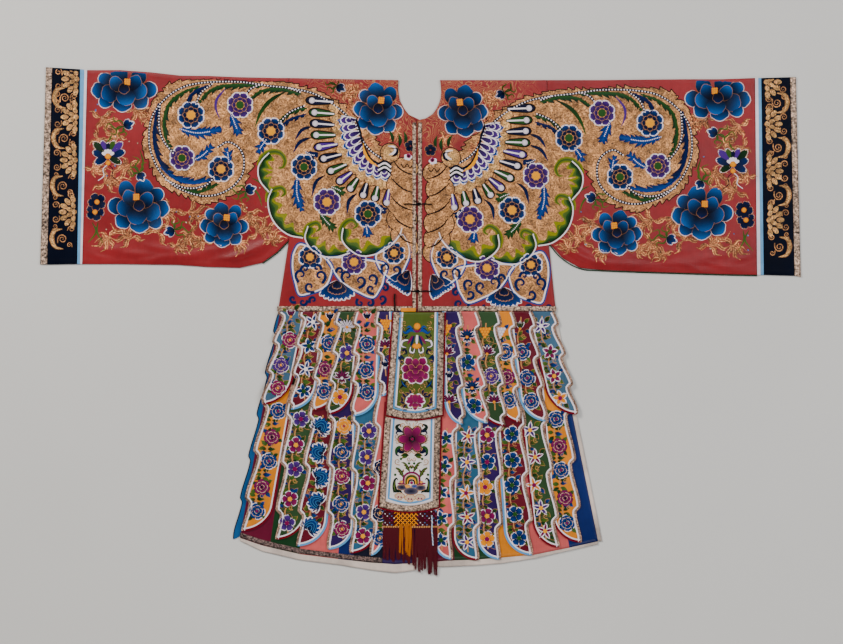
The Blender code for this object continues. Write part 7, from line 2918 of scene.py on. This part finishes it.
def make_fringe(fringe, finish, seed):
    """Hundreds of fine silk ends, each thinning to its tip."""
    chance = np.random.default_rng(seed)
    width = 0.62 * (1.0 - 0.45 * np.linspace(0.0, 1.0, STRAND_ROWS))
    points, thread = [], []
    count = int((fringe.right - fringe.left) / STRAND_PITCH)
    for layer in range(FRINGE_LAYERS):
        for strand in range(count):
            part = (strand + chance.uniform(0.2, 0.8)) / count
            xs, ys, zs = strand_line(fringe, part, strand, layer, chance)
            points.append(np.stack([xs - width, ys, zs, xs + width, ys, zs + 0.1], axis=1).reshape(-1, 3))
            step = (fringe.heading_y - ys) / 10.0
            flat = step * 0.0
            thread.append(np.stack([step, flat, step, flat + 0.1], axis=1).reshape(-1, 2))
    number = np.arange(len(points) * STRAND_ROWS * 2).reshape(-1, STRAND_ROWS, 2)
    faces = np.stack([number[:, :-1, 0], number[:, 1:, 0], number[:, 1:, 1], number[:, :-1, 1]], axis=-1)
    mesh = bpy.data.meshes.new(fringe.name)
    mesh.from_pydata((np.vstack(points) * MM).tolist(), [], faces.reshape(-1, 4).tolist())
    piece = add_piece(fringe.name, mesh, [finish], fringe.slot, (fringe.node,))
    finish_mesh(piece, np.vstack(thread), None)


def make_net():
    """The knotted net: crossing cords, a knot where they meet, and beads along its foot."""
    work = Needlework(lambda x, y: NET_TOP_Z - 1.0 + 0.0 * x)
    foot = SHEET_CENTRE[1] - NET_FOOT / SQUARE
    left = SHEET_CENTRE[0] + NET_LEFT / SQUARE
    right = SHEET_CENTRE[0] + NET_RIGHT / SQUARE
    middle = (left + right) / 2.0
    work.line([(middle, NET_TOP + 2.0), (middle, foot)], right - left, NET_SHADE, 0.0, 0.1, columns=9)
    half = NET_MESH / 2.0
    rows = int((foot - NET_TOP - 3.0) / NET_MESH * 2.0)
    columns = int((right - left) / NET_MESH)
    for row in range(rows):
        for column in range(columns + 1):
            x = left + (column + 0.5 * (row % 2)) * NET_MESH
            y = NET_TOP + 3.0 + row * NET_MESH / 2.0
            if x > right - 1.0:
                continue
            yellow = NET_YELLOW[0] < x < NET_YELLOW[1]
            for hand in (-1.0, 1.0):
                end = (x + hand * half, y + half)
                if left < end[0] < right and end[1] < foot:
                    cord = [(x, y), ((x + end[0]) / 2.0, (y + end[1]) / 2.0), end]
                    work.line(cord, 0.8 if yellow else 0.6, YELLOW if yellow else MAROON_DYE, 0.5, 0.2)
            bead = AMBER if yellow else NET_KNOTS[(row + column * 3) % len(NET_KNOTS)]
            work.dot((x, y), 0.85 if yellow else 0.6, bead, 0.8, 0.4)
    hem = [(left + 1.0, foot - 1.0), (middle, foot - 0.6), (right - 1.0, foot - 1.0)]
    work.beads(hem, 2.4, 1.05, TAN, 1.0)
    work.build("knotted_net", SILK, "maroon_silk", ("tassel_net",))


TWISTED_CORD = (
    (27.0, -462.0, 9.9), (28.0, -480.0, 9.7), (27.0, -498.0, 9.3), (29.0, -517.0, 9.0), (30.0, -535.0, 8.7),
)
TWISTED_CORD_RADIUS = 1.7


def curve_in_space(points, spacing):
    """A line through places in space at a near even spacing."""
    points = np.asarray(points, dtype=float)
    length = run_lengths(points)
    even = np.linspace(0.0, length[-1], int(length[-1] / spacing))
    return np.column_stack([np.interp(even, length, points[:, k]) for k in range(3)])


def make_tassels():
    make_net()
    finishes = {"maroon": MAROON, "yellow": YELLOW_SILK}
    for number, fringe in enumerate(FRINGES):
        make_fringe(fringe, finishes[fringe.colour], 40 + number)
    route = curve_in_space(TWISTED_CORD, 2.0)
    cord = lay_cord("twisted_cord", route, TWISTED_CORD_RADIUS, SILK, "blue_satin", sides=10, pitch=9.0,
                    dyes=(SKY, WHITE))
    length_of(route) * MM


# Embroidery of the bodice and the cuffs

FOLD_MARGIN = 3.0


def top_fold(x):
    """The highest place for stitches below the fold along the shoulders and sleeves."""
    stations = CUFF_LEFT + SLEEVE_LEFT[1:] + SLEEVE_RIGHT[:-1] + CUFF_RIGHT
    return np.interp(x, [s.top_x for s in stations], [s.top_y for s in stations]) - FOLD_MARGIN


def make_bodice_embroidery():
    for word, right, flowers, peonies, seed in (("left", False, FLOWERS, PEONIES, 11),
                                                ("right", True, FLOWERS_RIGHT, PEONIES_RIGHT, 23)):
        silk_work = Needlework(front_z, right, top_fold)
        gold_work = Needlework(front_z, right, top_fold)
        butterfly_ground(gold_work, silk_work)
        butterfly_silk(silk_work, gold_work, flowers)
        butterfly_body(silk_work, gold_work)
        lower_petals(silk_work)
        peony(silk_work, *peonies[3], deep=right)
        bud(silk_work, *BUDS[4])
        sleeve_work(silk_work, gold_work, peonies, seed)
        gold_work.build(f"couched_gold_{word}", GOLD_GROUND, "red_satin")
        silk_work.build(f"silk_embroidery_{word}", SILK, "red_satin")


def make_cuff_embroidery():
    for word, band in zip(("left", "right"), CUFF_BANDS):
        gold_work = Needlework(front_z, fold=top_fold)
        cuff_work(gold_work, band)
        gold_work.build(f"cuff_gold_{word}", GOLD_THREAD, "navy_satin")


# Floor and light

FLOOR_SIZE = 9.0


def make_floor():
    bpy.ops.object.select_all(action="DESELECT")
    bpy.ops.mesh.primitive_plane_add(size=FLOOR_SIZE, location=(0.0, 0.0, 0.0))
    floor = bpy.context.object
    floor.name = "floor"
    bpy.ops.object.mode_set(mode="EDIT")
    bpy.ops.mesh.select_all(action="SELECT")
    bpy.ops.mesh.subdivide(number_cuts=3)
    bpy.ops.transform.translate(value=(0.0, 0.0, -0.0004))
    bpy.ops.object.mode_set(mode="OBJECT")
    material, shade, shader = start_finish("pale floor")
    place = shade.add("ShaderNodeTexCoord").outputs["Object"]
    cloud = shade.add("ShaderNodeTexNoise", {"Vector": place, "Scale": 1.4, "Detail": 3.0})
    tone = shade.ramp(cloud.outputs["Fac"], 0.97, 1.02, 0.3, 0.7)
    shade.feed(shader["Base Color"], shade.tint(dye(216, 214, 210), tone))
    shader["Roughness"].default_value = 0.85
    floor.data.materials.append(material)


class Lamp(NamedTuple):
    """A soft panel light: its place, breadth, strength in watts and warmth."""
    name: str
    place: tuple
    breadth: float
    watts: float
    colour: tuple


LAMPS = (
    Lamp("key panel", (-2.6, 2.4, 3.0), 1.6, 200.0, (1.0, 0.97, 0.93)),
    Lamp("fill panel", (2.9, 1.2, 3.0), 2.2, 96.0, (0.95, 0.97, 1.0)),
    Lamp("low panel", (0.4, -3.0, 2.4), 1.8, 50.0, (1.0, 0.98, 0.96)),
)


def make_lights():
    for lamp in LAMPS:
        bpy.ops.object.light_add(type="AREA", location=lamp.place)
        light = bpy.context.object
        light.name = lamp.name
        light.data.size = lamp.breadth
        light.data.energy = lamp.watts
        light.data.color = lamp.colour
        x, y, z = lamp.place
        light.rotation_euler = (math.atan2(math.hypot(x, y), z), 0.0, math.atan2(x, -y))
    world = bpy.data.worlds.new("studio")
    bpy.context.scene.world = world
    world.use_nodes = True
    world.node_tree.nodes["Background"].inputs["Color"].default_value = (0.9, 0.93, 1.0, 1.0)
    world.node_tree.nodes["Background"].inputs["Strength"].default_value = 0.20


# The robe from the cloth up, then the floor and the lights

make_sleeves()
make_body()
make_skirt()
make_streamers()
make_centre_panels()
make_bodice_embroidery()
make_cuff_embroidery()
make_streamer_embroidery()
make_panel_embroidery()
make_trims()
make_piping()
make_tassels()
make_floor()
make_lights()
